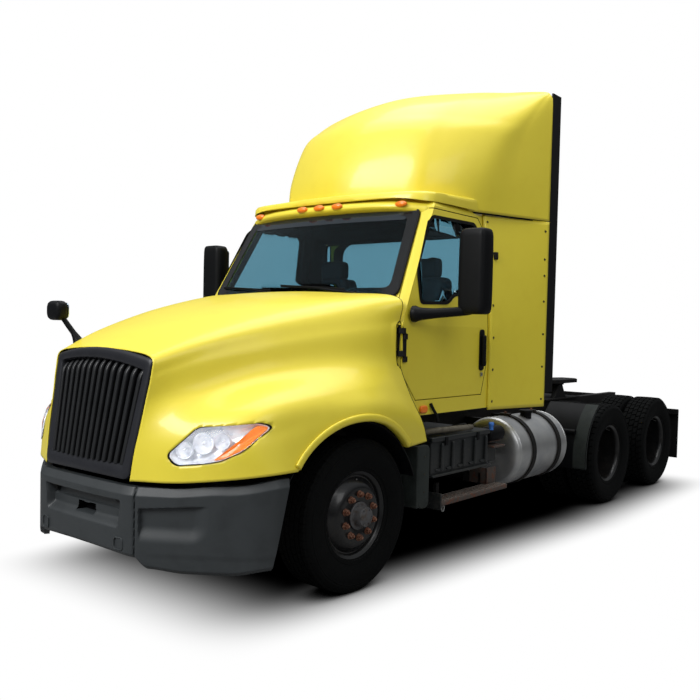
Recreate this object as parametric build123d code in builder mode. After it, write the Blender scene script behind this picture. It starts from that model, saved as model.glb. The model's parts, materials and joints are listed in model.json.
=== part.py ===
"""Highway tractor unit: 6x4 day cab with roof fairing, side extenders and fifth wheel.

Frame: X forward, Y to the driver's (left) side, Z up, millimetres.  The origin is on the
ground, midway between the front bumper and the end of the frame, on the centre plane.
Positions along the truck are given from the front axle through the function at().
"""
import os
from math import cos, radians, sin

from build123d import *

os.makedirs("parts", exist_ok=True)

# ---------------------------------------------------------------- driving dimensions
BUMPER_TO_AXLE = 1310.0
WHEELBASE = 4534.0            # front axle to the middle of the tandem
TANDEM_SPREAD = 1320.0
REAR_OVERHANG = 720.0         # rear drive axle to the end of the mudflaps
OVERALL_LENGTH = BUMPER_TO_AXLE + WHEELBASE + TANDEM_SPREAD / 2 + REAR_OVERHANG
FRONT_AXLE_X = OVERALL_LENGTH / 2 - BUMPER_TO_AXLE
DRIVE_AXLES = (-WHEELBASE + TANDEM_SPREAD / 2, -WHEELBASE - TANDEM_SPREAD / 2)
LEFT, RIGHT = 1, -1
SIDES = {"left": LEFT, "right": RIGHT}
RUN_GAP = 0.3                 # between curved faces that run or seat on each other

# tyres, rims and hubs
TYRE_R = 505.0
TYRE_HALF_W = 149.0
TREAD_HALF_W = 115.0
BEAD_R = 284.0
RIM_HALF_W = 118.0
RIM_WALL = 11.0
FLANGE_R = 303.0
DISC_T = 12.0
HUB_R = 118.0
HUB_CAP_R = 66.0
DRUM_R = 214.0
DRUM_T = 14.0
DRUM_W = 190.0
SPINDLE_R = 38.0
FRONT_HALF_TRACK = 990.0
FRONT_DISC_INSET = 135.0
KINGPIN_Y = 845.0
DUAL_CENTRE_Y = 920.0
DUAL_SPACING = 336.0
AXLE_TUBE_R = 62.0

# frame
FRAME_HALF_W = 432.0
FRAME_TOP = 990.0
RAIL_H = 270.0
RAIL_FLANGE = 85.0
RAIL_T = 8.0
FRAME_BOTTOM = FRAME_TOP - RAIL_H
RAIL_FRONT = 1110.0
FLAP_T = 12.0
HANGER_T = 50.0
RAIL_REAR = -WHEELBASE - TANDEM_SPREAD / 2 - REAR_OVERHANG + FLAP_T + HANGER_T

# cab
CAB_BOTTOM = 1110.0
FLOOR_T = 60.0
BELT_Z = 1760.0
COWL_Z = 1950.0
CANTRAIL_Z = 2665.0
ROOF_Z = 2760.0
CAB_HALF_W = 1080.0
COWL_HALF_W = 1068.0
CAB_TOP_HALF_W = 985.0
CAB_WALL = 60.0
FIREWALL_X = -455.0
CAB_BACK_X = -1700.0
DOOR_GAP = 7.0
DOOR_BOTTOM = 1226.0

# hood
HOOD_WALL = 18.0
HOOD_REAR_X = -440.0
HOOD_PIVOT = (1246.0, 700.0)
ARCH_R = 700.0
ARCH_X = 100.0
ARCH_Z = 444.0


def at(x):
    """Distance from the front axle to the model's own X."""
    return FRONT_AXLE_X + x


def block(x0, x1, y0, y1, z0, z1, mode=Mode.ADD):
    """A box between two corners, x from the front axle."""
    size = (abs(x1 - x0), abs(y1 - y0), abs(z1 - z0))
    with Locations((at((x0 + x1) / 2), (y0 + y1) / 2, (z0 + z1) / 2)):
        Box(*size, mode=mode)


def across(x, z, y0, y1, radius, mode=Mode.ADD):
    """A cylinder along Y between y0 and y1."""
    with Locations(Location((at(x), (y0 + y1) / 2, z), (90, 0, 0))):
        Cylinder(radius, abs(y1 - y0), mode=mode)


def along(x0, x1, y, z, radius, mode=Mode.ADD):
    """A cylinder along X between x0 and x1."""
    with Locations(Location((at((x0 + x1) / 2), y, z), (0, 90, 0))):
        Cylinder(radius, abs(x1 - x0), mode=mode)


def upright(x, y, z0, z1, radius, mode=Mode.ADD):
    """A cylinder along Z between z0 and z1."""
    with Locations((at(x), y, (z0 + z1) / 2)):
        Cylinder(radius, abs(z1 - z0), mode=mode)


def side_prism(points, y0, y1, mode=Mode.ADD):
    """A side-view outline of (x from the front axle, z), extruded from y0 to y1."""
    with BuildSketch(Plane.XZ.offset(-max(y0, y1))) as outline:
        with BuildLine():
            Polyline(*[(at(x), z) for x, z in points], close=True)
        make_face()
    extrude(outline.sketch, amount=abs(y1 - y0), mode=mode)


def front_prism(points, x0, x1, mode=Mode.ADD):
    """A front-view outline of (y, z), extruded from x0 to x1."""
    with BuildSketch(Plane.YZ.offset(at(min(x0, x1)))) as outline:
        with BuildLine():
            Polyline(*points, close=True)
        make_face()
    extrude(outline.sketch, amount=abs(x1 - x0), mode=mode)


def plan_prism(points, z0, z1, mode=Mode.ADD):
    """A plan outline of (x from the front axle, y), extruded from z0 to z1."""
    with BuildSketch(Plane.XY.offset(min(z0, z1))) as outline:
        with BuildLine():
            Polyline(*[(at(x), y) for x, y in points], close=True)
        make_face()
    extrude(outline.sketch, amount=abs(z1 - z0), mode=mode)


def spun(points, x, y, z, outward=1):
    """A profile of (radius, distance along the axle, outward positive) spun about Y."""
    plane = Plane((at(x), y, z), x_dir=(1, 0, 0), z_dir=(0, 0, 1))
    with BuildSketch(plane) as profile:
        with BuildLine():
            Polyline(*[(r, outward * w) for r, w in points], close=True)
        make_face()
    revolve(profile.sketch, axis=Axis((at(x), y, z), (0, 1, 0)))


def save(part, name):
    """Label a finished piece and write it as its node's STEP file."""
    part.label = name
    export_step(part, f"parts/{name}.step")


# ---------------------------------------------------------------- tyres and wheels
TYRE_PROFILE = (              # radius, distance from the tyre's middle
    (BEAD_R, -RIM_HALF_W + 12), (BEAD_R + 26, -RIM_HALF_W + 12), (BEAD_R + 60, -136),
    (402, -TYRE_HALF_W), (462, -140), (494, -TREAD_HALF_W - 6), (TYRE_R, -TREAD_HALF_W + 14),
    (TYRE_R, TREAD_HALF_W - 14), (494, TREAD_HALF_W + 6), (462, 140), (402, TYRE_HALF_W),
    (BEAD_R + 60, 136), (BEAD_R + 26, RIM_HALF_W - 12), (BEAD_R, RIM_HALF_W - 12),
)
RIM_PROFILE = (               # barrel with a flange at each edge
    (BEAD_R - RUN_GAP, -RIM_HALF_W + 12 + RUN_GAP), (BEAD_R - RUN_GAP, -RIM_HALF_W + 11),
    (FLANGE_R, -RIM_HALF_W + 11), (FLANGE_R, -RIM_HALF_W), (BEAD_R - RIM_WALL, -RIM_HALF_W),
    (BEAD_R - RIM_WALL, RIM_HALF_W), (FLANGE_R, RIM_HALF_W), (FLANGE_R, RIM_HALF_W - 11),
    (BEAD_R - RUN_GAP, RIM_HALF_W - 11),
)


def disc_profile(mid, face):
    """A dished disc from the barrel at mid out to the hub flange at face."""
    rim_r = BEAD_R - RIM_WALL + 2
    return (
        (rim_r, mid), (235, mid + 0.55 * (face - mid)), (190, face), (60, face),
        (60, face + DISC_T), (190 + 5, face + DISC_T),
        (235 + 8, mid + 0.55 * (face - mid) + DISC_T), (rim_r, mid + DISC_T + 6),
    )


def drum_profile(face):
    """A brake drum open inboard, with its web against the back of the disc at face."""
    return (
        (60, face), (DRUM_R, face), (DRUM_R, face - DRUM_W), (DRUM_R - DRUM_T, face - DRUM_W),
        (DRUM_R - DRUM_T, face - DRUM_T), (60, face - DRUM_T),
    )


for side, s in SIDES.items():
    with BuildPart() as tyre:
        spun(TYRE_PROFILE, 0, s * FRONT_HALF_TRACK, TYRE_R, s)
    save(tyre.part, f"front_tyre_{side}")

    with BuildPart() as wheel:
        spun(RIM_PROFILE, 0, s * FRONT_HALF_TRACK, TYRE_R, s)
        spun(disc_profile(30, FRONT_DISC_INSET), 0, s * FRONT_HALF_TRACK, TYRE_R, s)
        spun(drum_profile(FRONT_DISC_INSET), 0, s * FRONT_HALF_TRACK, TYRE_R, s)
        face = FRONT_HALF_TRACK + FRONT_DISC_INSET
        across(0, TYRE_R, s * (face - DRUM_W + 36), s * (face + DISC_T + 16), HUB_R - 20)
        across(0, TYRE_R, s * (face + DISC_T), s * (face + DISC_T + 62), HUB_CAP_R)
        across(0, TYRE_R, s * (face - DRUM_W), s * (face + 20), SPINDLE_R + RUN_GAP,
               Mode.SUBTRACT)
    save(wheel.part, f"front_wheel_{side}")

    for n, axle_x in enumerate(DRIVE_AXLES, start=1):
        with BuildPart() as tyres:
            for offset_y in (-DUAL_SPACING / 2, DUAL_SPACING / 2):
                spun(TYRE_PROFILE, axle_x, s * (DUAL_CENTRE_Y + offset_y), TYRE_R, s)
        save(tyres.part, f"drive_tyres_{n}_{side}")

        with BuildPart() as wheels:
            for offset_y in (-DUAL_SPACING / 2, DUAL_SPACING / 2):
                spun(RIM_PROFILE, axle_x, s * (DUAL_CENTRE_Y + offset_y), TYRE_R, s)
            inner_y = s * (DUAL_CENTRE_Y - DUAL_SPACING / 2)
            outer_y = s * (DUAL_CENTRE_Y + DUAL_SPACING / 2)
            inner_face = DUAL_SPACING / 2 - DISC_T
            spun(disc_profile(66, inner_face), axle_x, inner_y, TYRE_R, s)
            spun(disc_profile(66, inner_face), axle_x, outer_y, TYRE_R, -s)
            spun(drum_profile(inner_face), axle_x, inner_y, TYRE_R, s)
            hub_in = DUAL_CENTRE_Y - DISC_T - DRUM_W
            hub_out = DUAL_CENTRE_Y + DISC_T + 120
            across(axle_x, TYRE_R, s * (hub_in + 20), s * (DUAL_CENTRE_Y + 40), HUB_R)
            across(axle_x, TYRE_R, s * DUAL_CENTRE_Y, s * hub_out, HUB_R - 26)
            across(axle_x, TYRE_R, s * hub_in, s * (hub_out - 30), SPINDLE_R + RUN_GAP,
                   Mode.SUBTRACT)
        save(wheels.part, f"drive_wheels_{n}_{side}")

# ---------------------------------------------------------------- steering knuckles
BEAM_HALF_X = 45.0
BEAM_END_H = 90.0
BEAM_DROP = 105.0
PIN_R = 22.0
BOSS_R = 46.0
BOSS_GAP = 2.0
ARM_BACK = 170.0
ARM_W = 48.0
ARM_T = 26.0
ARM_Z = TYRE_R - BEAM_END_H / 2 - BOSS_GAP - 60
STUD_R = 11.0
TIE_ROD_R = 20.0
OPEN_PIVOT_R = STUD_R + 4
BOSS_H = 60.0
BRAKE_PLATE_Y = FRONT_HALF_TRACK + FRONT_DISC_INSET - DRUM_W + 16

for side, s in SIDES.items():
    with BuildPart() as knuckle:
        top = TYRE_R + BEAM_END_H / 2 + BOSS_GAP
        low = TYRE_R - BEAM_END_H / 2 - BOSS_GAP
        upright(0, s * KINGPIN_Y, top, top + BOSS_H, BOSS_R)
        upright(0, s * KINGPIN_Y, low - BOSS_H, low, BOSS_R)
        block(-BOSS_R, BOSS_R, s * (KINGPIN_Y + BOSS_R + 4), s * (KINGPIN_Y + BOSS_R + 34),
              low - BOSS_H, top + BOSS_H)
        block(-BOSS_R, BOSS_R, s * KINGPIN_Y, s * (KINGPIN_Y + BOSS_R + 10), top, top + BOSS_H)
        block(-BOSS_R, BOSS_R, s * KINGPIN_Y, s * (KINGPIN_Y + BOSS_R + 10), low - BOSS_H, low)
        across(0, TYRE_R, s * (KINGPIN_Y + BOSS_R + 10),
               s * (FRONT_HALF_TRACK + FRONT_DISC_INSET), SPINDLE_R)
        across(0, TYRE_R, s * BRAKE_PLATE_Y, s * (BRAKE_PLATE_Y + 10), DRUM_R - DRUM_T - 8)
        block(-ARM_BACK, 0, s * (KINGPIN_Y - ARM_W / 2), s * (KINGPIN_Y + ARM_W / 2),
              ARM_Z, ARM_Z + ARM_T)
        upright(-ARM_BACK, s * KINGPIN_Y, ARM_Z, ARM_Z + ARM_T, 34)
        upright(0, s * KINGPIN_Y, low - BOSS_H, top + BOSS_H, PIN_R + RUN_GAP, Mode.SUBTRACT)
        hole = STUD_R + RUN_GAP if side == "left" else OPEN_PIVOT_R
        upright(-ARM_BACK, s * KINGPIN_Y, ARM_Z, ARM_Z + ARM_T, hole, Mode.SUBTRACT)
    save(knuckle.part, f"steering_knuckle_{side}")

TIE_ROD_Z = ARM_Z - 10 - TIE_ROD_R
with BuildPart() as tie_rod:
    across(-ARM_BACK, TIE_ROD_Z, -KINGPIN_Y, KINGPIN_Y, TIE_ROD_R)
    for s in SIDES.values():
        upright(-ARM_BACK, s * KINGPIN_Y, TIE_ROD_Z - 26, TIE_ROD_Z + 26, 30)
        upright(-ARM_BACK, s * KINGPIN_Y, TIE_ROD_Z, ARM_Z + ARM_T, STUD_R)
save(tie_rod.part, "tie_rod")

# ---------------------------------------------------------------- front axle and springs
SPRING_Y = 435.0
SPRING_W = 80.0
LEAF_T = 34.0
SPRING_SEAT_Z = TYRE_R - BEAM_DROP + BEAM_END_H / 2 + 14

with BuildPart() as front_axle:
    mid_z = TYRE_R - BEAM_DROP
    h = BEAM_END_H / 2
    knee_in, knee_out = 560.0, 760.0
    front_prism(
        [(-KINGPIN_Y, TYRE_R + h), (-knee_out, TYRE_R + h), (-knee_in, mid_z + h),
         (knee_in, mid_z + h), (knee_out, TYRE_R + h), (KINGPIN_Y, TYRE_R + h),
         (KINGPIN_Y, TYRE_R - h), (knee_out, TYRE_R - h), (knee_in, mid_z - h),
         (-knee_in, mid_z - h), (-knee_out, TYRE_R - h), (-KINGPIN_Y, TYRE_R - h)],
        -BEAM_HALF_X, BEAM_HALF_X)
    for s in SIDES.values():
        upright(0, s * KINGPIN_Y, TYRE_R - h, TYRE_R + h, BEAM_HALF_X)
        reach = h + BOSS_GAP + BOSS_H
        upright(0, s * KINGPIN_Y, TYRE_R - reach, TYRE_R + reach, PIN_R)
        block(-70, 70, s * (SPRING_Y - 50), s * (SPRING_Y + 50), mid_z + h - 10, SPRING_SEAT_Z)
save(front_axle.part, "front_axle")

SPRING_FRONT, SPRING_REAR, SPRING_RISE = 640.0, -640.0, 90.0
with BuildPart() as front_springs:
    for s in SIDES.values():
        seat = SPRING_SEAT_Z
        with BuildSketch(Plane.XZ.offset(-s * SPRING_Y + SPRING_W / 2 - SPRING_W)):
            with BuildLine():
                ThreePointArc((at(SPRING_REAR), seat + SPRING_RISE), (at(0), seat),
                              (at(SPRING_FRONT), seat + SPRING_RISE))
                Line((at(SPRING_FRONT), seat + SPRING_RISE),
                     (at(SPRING_FRONT), seat + SPRING_RISE + LEAF_T))
                ThreePointArc((at(SPRING_FRONT), seat + SPRING_RISE + LEAF_T),
                              (at(0), seat + LEAF_T),
                              (at(SPRING_REAR), seat + SPRING_RISE + LEAF_T))
                Line((at(SPRING_REAR), seat + SPRING_RISE + LEAF_T),
                     (at(SPRING_REAR), seat + SPRING_RISE))
            make_face()
        extrude(amount=SPRING_W)
        for x in (SPRING_REAR + 30, SPRING_FRONT - 30):
            block(x - 38, x + 38, s * (SPRING_Y - SPRING_W / 2), s * (SPRING_Y + SPRING_W / 2),
                  seat + SPRING_RISE, FRAME_BOTTOM)
        block(-60, 60, s * (SPRING_Y - SPRING_W / 2), s * (SPRING_Y + SPRING_W / 2),
              seat, seat + LEAF_T + 30)
save(front_springs.part, "front_springs")

# ---------------------------------------------------------------- frame
CROSSMEMBERS = (RAIL_FRONT - 45, -1400.0, -2350.0, -3200.0, -WHEELBASE, RAIL_REAR + 60)
CROSS_LOW, CROSS_HIGH, CROSS_T = 840.0, 960.0, 70.0
PIN_SPAN = (340.0, 432.0)
HORN_T = 24.0
HOOD_BOSS_R = 20.0
HOOD_PIN_R = 12.0

with BuildPart() as frame_rails:
    for s in SIDES.values():
        outer, web = s * FRAME_HALF_W, s * (FRAME_HALF_W - RAIL_T)
        inner = s * (FRAME_HALF_W - RAIL_FLANGE)
        front_prism(
            [(outer, FRAME_BOTTOM), (outer, FRAME_TOP), (inner, FRAME_TOP),
             (inner, FRAME_TOP - RAIL_T), (web, FRAME_TOP - RAIL_T),
             (web, FRAME_BOTTOM + RAIL_T), (inner, FRAME_BOTTOM + RAIL_T),
             (inner, FRAME_BOTTOM)],
            RAIL_REAR, RAIL_FRONT)
        px, pz = HOOD_PIVOT
        side_prism(
            [(RAIL_FRONT - 90, FRAME_BOTTOM), (RAIL_FRONT - 90, FRAME_BOTTOM + 60),
             (RAIL_FRONT, FRAME_BOTTOM + 60), (px + HOOD_BOSS_R, pz + HOOD_BOSS_R),
             (px + HOOD_BOSS_R, pz - HOOD_BOSS_R), (px - 60, pz - HOOD_BOSS_R)],
            s * (PIN_SPAN[1] - HORN_T), s * PIN_SPAN[1])
        across(px, pz, s * PIN_SPAN[0], s * PIN_SPAN[1], HOOD_PIN_R)
save(frame_rails.part, "frame_rails")

with BuildPart() as crossmembers:
    half = FRAME_HALF_W - RAIL_T
    for x in CROSSMEMBERS:
        block(x - CROSS_T / 2, x + CROSS_T / 2, -half, half, CROSS_LOW, CROSS_HIGH)
save(crossmembers.part, "crossmembers")

# ---------------------------------------------------------------- engine and radiator
ENGINE_FRONT, ENGINE_REAR = 800.0, -360.0
ENGINE_HALF_W, ENGINE_LOW, ENGINE_HIGH = 300.0, 640.0, 1500.0
GEARBOX_REAR, GEARBOX_HALF_W, GEARBOX_HIGH = -1250.0, 240.0, 1060.0
with BuildPart() as engine:
    block(ENGINE_REAR, ENGINE_FRONT, -ENGINE_HALF_W, ENGINE_HALF_W, ENGINE_LOW, ENGINE_HIGH)
    block(GEARBOX_REAR, ENGINE_REAR, -GEARBOX_HALF_W, GEARBOX_HALF_W, ENGINE_LOW, GEARBOX_HIGH)
    for s in SIDES.values():
        for x in (420.0, -300.0):
            block(x - 60, x + 60, s * (ENGINE_HALF_W - 5), s * (FRAME_HALF_W - RAIL_T),
                  FRAME_BOTTOM + 60, FRAME_BOTTOM + 140)
save(engine.part, "engine")

RADIATOR_X = (940.0, 1020.0)
RADIATOR_HALF_W, RADIATOR_TOP = 430.0, 1450.0
with BuildPart() as radiator:
    block(*RADIATOR_X, -RADIATOR_HALF_W, RADIATOR_HALF_W, FRAME_TOP, RADIATOR_TOP)
    neck = FRAME_HALF_W - RAIL_FLANGE - 8
    block(*RADIATOR_X, -neck, neck, FRAME_BOTTOM + 30, FRAME_TOP)
save(radiator.part, "radiator")

# ---------------------------------------------------------------- drive axles
BOWL_R, BOWL_HALF_W = 205.0, 130.0
NOSE_R, NOSE_LEN = 120.0, 330.0
SHAFT_R = 45.0
with BuildPart() as drive_axles:
    for x in DRIVE_AXLES:
        across(x, TYRE_R, -690, 690, AXLE_TUBE_R)
        across(x, TYRE_R, -(DUAL_CENTRE_Y + 100), DUAL_CENTRE_Y + 100, SPINDLE_R)
        across(x, TYRE_R, -BOWL_HALF_W, BOWL_HALF_W, BOWL_R)
        along(x, x + NOSE_LEN, 0, TYRE_R + 30, NOSE_R)
    first, second = DRIVE_AXLES
    along(second + NOSE_LEN - 10, first - BOWL_R + 40, 0, TYRE_R + 30, SHAFT_R)
    with BuildSketch(Plane(origin=(at(first + NOSE_LEN - 10), 0, TYRE_R + 30),
                           x_dir=(0, 1, 0),
                           z_dir=(GEARBOX_REAR - first - NOSE_LEN, 0, 760 - TYRE_R - 30))):
        Circle(SHAFT_R)
    extrude(amount=GEARBOX_REAR - first - NOSE_LEN + 2)
save(drive_axles.part, "drive_axles")

HANGER_X, BAG_X = 430.0, -380.0
BEAM_Z = (360.0, 430.0)
BAG_R = 115.0
SUSP_HALF_W = 42.0
with BuildPart() as rear_suspension:
    for x in DRIVE_AXLES:
        for s in SIDES.values():
            y0, y1 = s * (FRAME_HALF_W - SUSP_HALF_W), s * (FRAME_HALF_W + SUSP_HALF_W)
            side_prism(
                [(x + HANGER_X + 50, FRAME_BOTTOM), (x + HANGER_X - 70, FRAME_BOTTOM),
                 (x + HANGER_X - 40, BEAM_Z[1]), (x + BAG_X - 60, BEAM_Z[1]),
                 (x + BAG_X - 60, BEAM_Z[0]), (x + HANGER_X + 30, BEAM_Z[0])], y0, y1)
            block(x - 95, x + 95, y0, y1, BEAM_Z[1] - 5, TYRE_R + 85)
            across(x, TYRE_R, y0, y1, AXLE_TUBE_R + RUN_GAP, Mode.SUBTRACT)
            upright(x + BAG_X, s * FRAME_HALF_W, BEAM_Z[1] - 2, BEAM_Z[1] + 60, BAG_R - 30)
            upright(x + BAG_X, s * FRAME_HALF_W, BEAM_Z[1] + 50, FRAME_BOTTOM, BAG_R)
save(rear_suspension.part, "rear_suspension")

# ---------------------------------------------------------------- cab
CAB_SECTIONS = (              # height, half width, side start x, front corner x and y, nose x
    (CAB_BOTTOM, CAB_HALF_W, FIREWALL_X - 23, FIREWALL_X - 7, 1058.0, FIREWALL_X),
    (BELT_Z, CAB_HALF_W, FIREWALL_X - 23, FIREWALL_X - 7, 1058.0, FIREWALL_X),
    (COWL_Z, COWL_HALF_W, -560.0, -540.0, 1030.0, -478.0),
    (CANTRAIL_Z, CAB_TOP_HALF_W, -960.0, -925.0, 925.0, -835.0),
)


def cab_section(z, half_w, side_x, corner_x, corner_y, nose_x, inset):
    """One horizontal cab outline with a bowed front, drawn in by inset."""
    with BuildSketch(Plane.XY.offset(z)) as section:
        with BuildLine():
            y, cy = half_w - inset, corner_y - inset
            cx, nx, back = at(corner_x - inset), at(nose_x - inset), at(CAB_BACK_X + inset)
            door_x = at(side_x - inset)
            ThreePointArc((cx, -cy), (nx, 0), (cx, cy))
            Line((cx, cy), (door_x, y))
            Line((door_x, y), (back, y))
            Line((back, y), (back, -y))
            Line((back, -y), (door_x, -y))
            Line((door_x, -y), (cx, -cy))
        make_face()
    return section.sketch


def cab_solid(inset, z_low, z_high, mode):
    """The cab's outer form drawn in by inset, between two heights."""
    with BuildPart(mode=Mode.PRIVATE) as form:
        for low, high in zip(CAB_SECTIONS[:-1], CAB_SECTIONS[1:]):
            with BuildPart(mode=Mode.PRIVATE) as storey:
                loft([cab_section(*low, inset), cab_section(*high, inset)], ruled=True)
            add(storey.part)
        block(-3000, 1000, -2000, 2000, z_low, z_high, Mode.INTERSECT)
    add(form.part, mode=mode)


DOOR_TOP = CANTRAIL_Z - 25
DOOR_FRONT_X, DOOR_REAR_X = -478.0, -1612.0
DOOR_OUTLINE = (              # x from the front axle, z
    (DOOR_FRONT_X, 1430.0), (DOOR_FRONT_X, COWL_Z + 5), (-600.0, 2165.0), (-850.0, DOOR_TOP),
    (DOOR_REAR_X + 50, DOOR_TOP), (DOOR_REAR_X, DOOR_TOP - 60), (DOOR_REAR_X, 1500.0),
    (DOOR_REAR_X + 80, DOOR_BOTTOM), (-650.0, DOOR_BOTTOM),
)
WINDOW_OUTLINE = (
    (-700.0, 1925.0), (-683.0, 2165.0), (-880.0, 2540.0), (-920.0, 2577.0),
    (-1495.0, 2585.0), (-1535.0, 2545.0), (-1535.0, 2015.0), (-1175.0, 2011.0),
    (-1045.0, 1932.0),
)
GLASS_T = 8.0
GLASS_INSET = 22.0


def grown(points, amount):
    """A side-view outline moved outwards by amount, for the gap around a panel."""
    with BuildSketch(mode=Mode.PRIVATE) as outline:
        with BuildLine():
            Polyline(*points, close=True)
        make_face()
        offset(amount=amount, kind=Kind.INTERSECTION)
    return outline.sketch


def outline_cut(sketch, y0, y1, mode):
    """Extrude a side-view sketch of (x from the front axle, z) from y0 to y1."""
    with BuildSketch(Plane.XZ.offset(-max(y0, y1))) as outline:
        with Locations((at(0), 0)):
            add(sketch)
    extrude(outline.sketch, amount=abs(y1 - y0), mode=mode)


FAR_Y = 1400.0
LEAF_Y = ((1000.0, 1000.0), (1000.0, COWL_Z), (905.0, CANTRAIL_Z + 10))
door_opening = grown(DOOR_OUTLINE, DOOR_GAP)
window_hole = grown(WINDOW_OUTLINE, 0)


def side_zone(s, widen):
    """The space outboard of a door's inner limit on one side, widened inwards."""
    edge = [(s * (y - widen), z) for y, z in LEAF_Y]
    front_prism(edge + [(s * FAR_Y, LEAF_Y[-1][1]), (s * FAR_Y, LEAF_Y[0][1])], -2000, 0)


def leaf_prism(sketch, s, widen=0.0, mode=Mode.ADD):
    """A side-view sketch pushed through one side of the cab only."""
    with BuildPart(mode=Mode.PRIVATE) as prism:
        side_zone(s, widen)
        outline_cut(sketch, -FAR_Y, FAR_Y, Mode.INTERSECT)
    add(prism.part, mode=mode)


def cut_door_openings():
    """Cut both door openings, with the gap all round, from the cab being built."""
    for s in SIDES.values():
        leaf_prism(door_opening, s, DOOR_GAP, Mode.SUBTRACT)


HINGE_X = -490.0
HINGE_R, HINGE_PIN_R, HINGE_H = 10.0, 4.0, 40.0
HINGE_Y = CAB_HALF_W + HINGE_R + 1
HINGES_Z = (1500.0, 1660.0)


def door_knuckle(s, z):
    """The door's half of a hinge, with its pin, standing on z."""
    upright(HINGE_X, s * HINGE_Y, z, z + HINGE_H, HINGE_R)
    block(HINGE_X - 40, HINGE_X, s * (HINGE_Y - 12), s * HINGE_Y, z, z + HINGE_H)
    upright(HINGE_X, s * HINGE_Y, z, z + 2 * HINGE_H, HINGE_PIN_R)


def pillar_knuckle(s, z):
    """The pillar's half of a hinge, above the door's half, bored for the pin."""
    low = z + HINGE_H + RUN_GAP
    upright(HINGE_X, s * HINGE_Y, low, low + HINGE_H, HINGE_R)
    plan_prism(
        [(HINGE_X, s * (HINGE_Y - 1)), (HINGE_X, s * (HINGE_Y + HINGE_R)),
         (HINGE_X + 20, s * (HINGE_Y + 9)), (HINGE_X + 42, s * (HINGE_Y - 16)),
         (HINGE_X + 42, s * (HINGE_Y - 60)), (HINGE_X + 24, s * (HINGE_Y - 40)),
         (HINGE_X + 22, s * (HINGE_Y - 8)), (HINGE_X + 12, s * (HINGE_Y - 1))],
        low, low + HINGE_H)
    upright(HINGE_X, s * HINGE_Y, low, low + HINGE_H, HINGE_PIN_R + RUN_GAP, Mode.SUBTRACT)


WINDSCREEN = ((-905.0, 1990.0), (905.0, 1990.0), (822.0, 2612.0), (-822.0, 2612.0))
REAR_WINDOW = ((-800.0, 2040.0), (800.0, 2040.0), (800.0, 2520.0), (-800.0, 2520.0))
FLOOR_TOP = CAB_BOTTOM + FLOOR_T
SILL_TOP = DOOR_BOTTOM - DOOR_GAP

with BuildPart() as cab_floor:
    cab_solid(0, CAB_BOTTOM, SILL_TOP, Mode.ADD)
    cab_solid(CAB_WALL, FLOOR_TOP, SILL_TOP, Mode.SUBTRACT)
    cut_door_openings()
save(cab_floor.part, "cab_floor")

with BuildPart() as cab_front:
    cab_solid(0, SILL_TOP, CANTRAIL_Z, Mode.ADD)
    cab_solid(CAB_WALL, SILL_TOP, CANTRAIL_Z, Mode.SUBTRACT)
    block(-3000, -1100, -2000, 2000, SILL_TOP, CANTRAIL_Z, Mode.SUBTRACT)
    cut_door_openings()
    front_prism(WINDSCREEN, -1050, 0, Mode.SUBTRACT)
    for s in SIDES.values():
        for z in HINGES_Z:
            pillar_knuckle(s, z)
save(cab_front.part, "cab_front")

with BuildPart() as cab_back:
    cab_solid(0, SILL_TOP, CANTRAIL_Z, Mode.ADD)
    cab_solid(CAB_WALL, SILL_TOP, CANTRAIL_Z, Mode.SUBTRACT)
    block(-1100, 1000, -2000, 2000, SILL_TOP, CANTRAIL_Z, Mode.SUBTRACT)
    cut_door_openings()
    front_prism(REAR_WINDOW, CAB_BACK_X - 100, CAB_BACK_X + 200, Mode.SUBTRACT)
save(cab_back.part, "cab_back")

ROOF_INSET = 60.0
with BuildPart() as cab_roof:
    top = CAB_SECTIONS[-1]
    loft([cab_section(*top, 0), cab_section(ROOF_Z, *top[1:], ROOF_INSET)], ruled=True)
    with BuildPart(mode=Mode.PRIVATE) as roof_hollow:
        loft([cab_section(*top, CAB_WALL),
              cab_section(ROOF_Z - CAB_WALL, *top[1:], CAB_WALL + ROOF_INSET)], ruled=True)
    add(roof_hollow.part, mode=Mode.SUBTRACT)
save(cab_roof.part, "cab_roof")

with BuildPart() as cab_glass:
    cab_solid(GLASS_INSET, BELT_Z, CANTRAIL_Z, Mode.ADD)
    cab_solid(GLASS_INSET + GLASS_T, BELT_Z, CANTRAIL_Z, Mode.SUBTRACT)
    with BuildPart(mode=Mode.PRIVATE) as panes:
        front_prism(WINDSCREEN, -1050, 0)
        front_prism(REAR_WINDOW, CAB_BACK_X, CAB_BACK_X + 100)
    add(panes.part, mode=Mode.INTERSECT)
save(cab_glass.part, "cab_glass")

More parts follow.
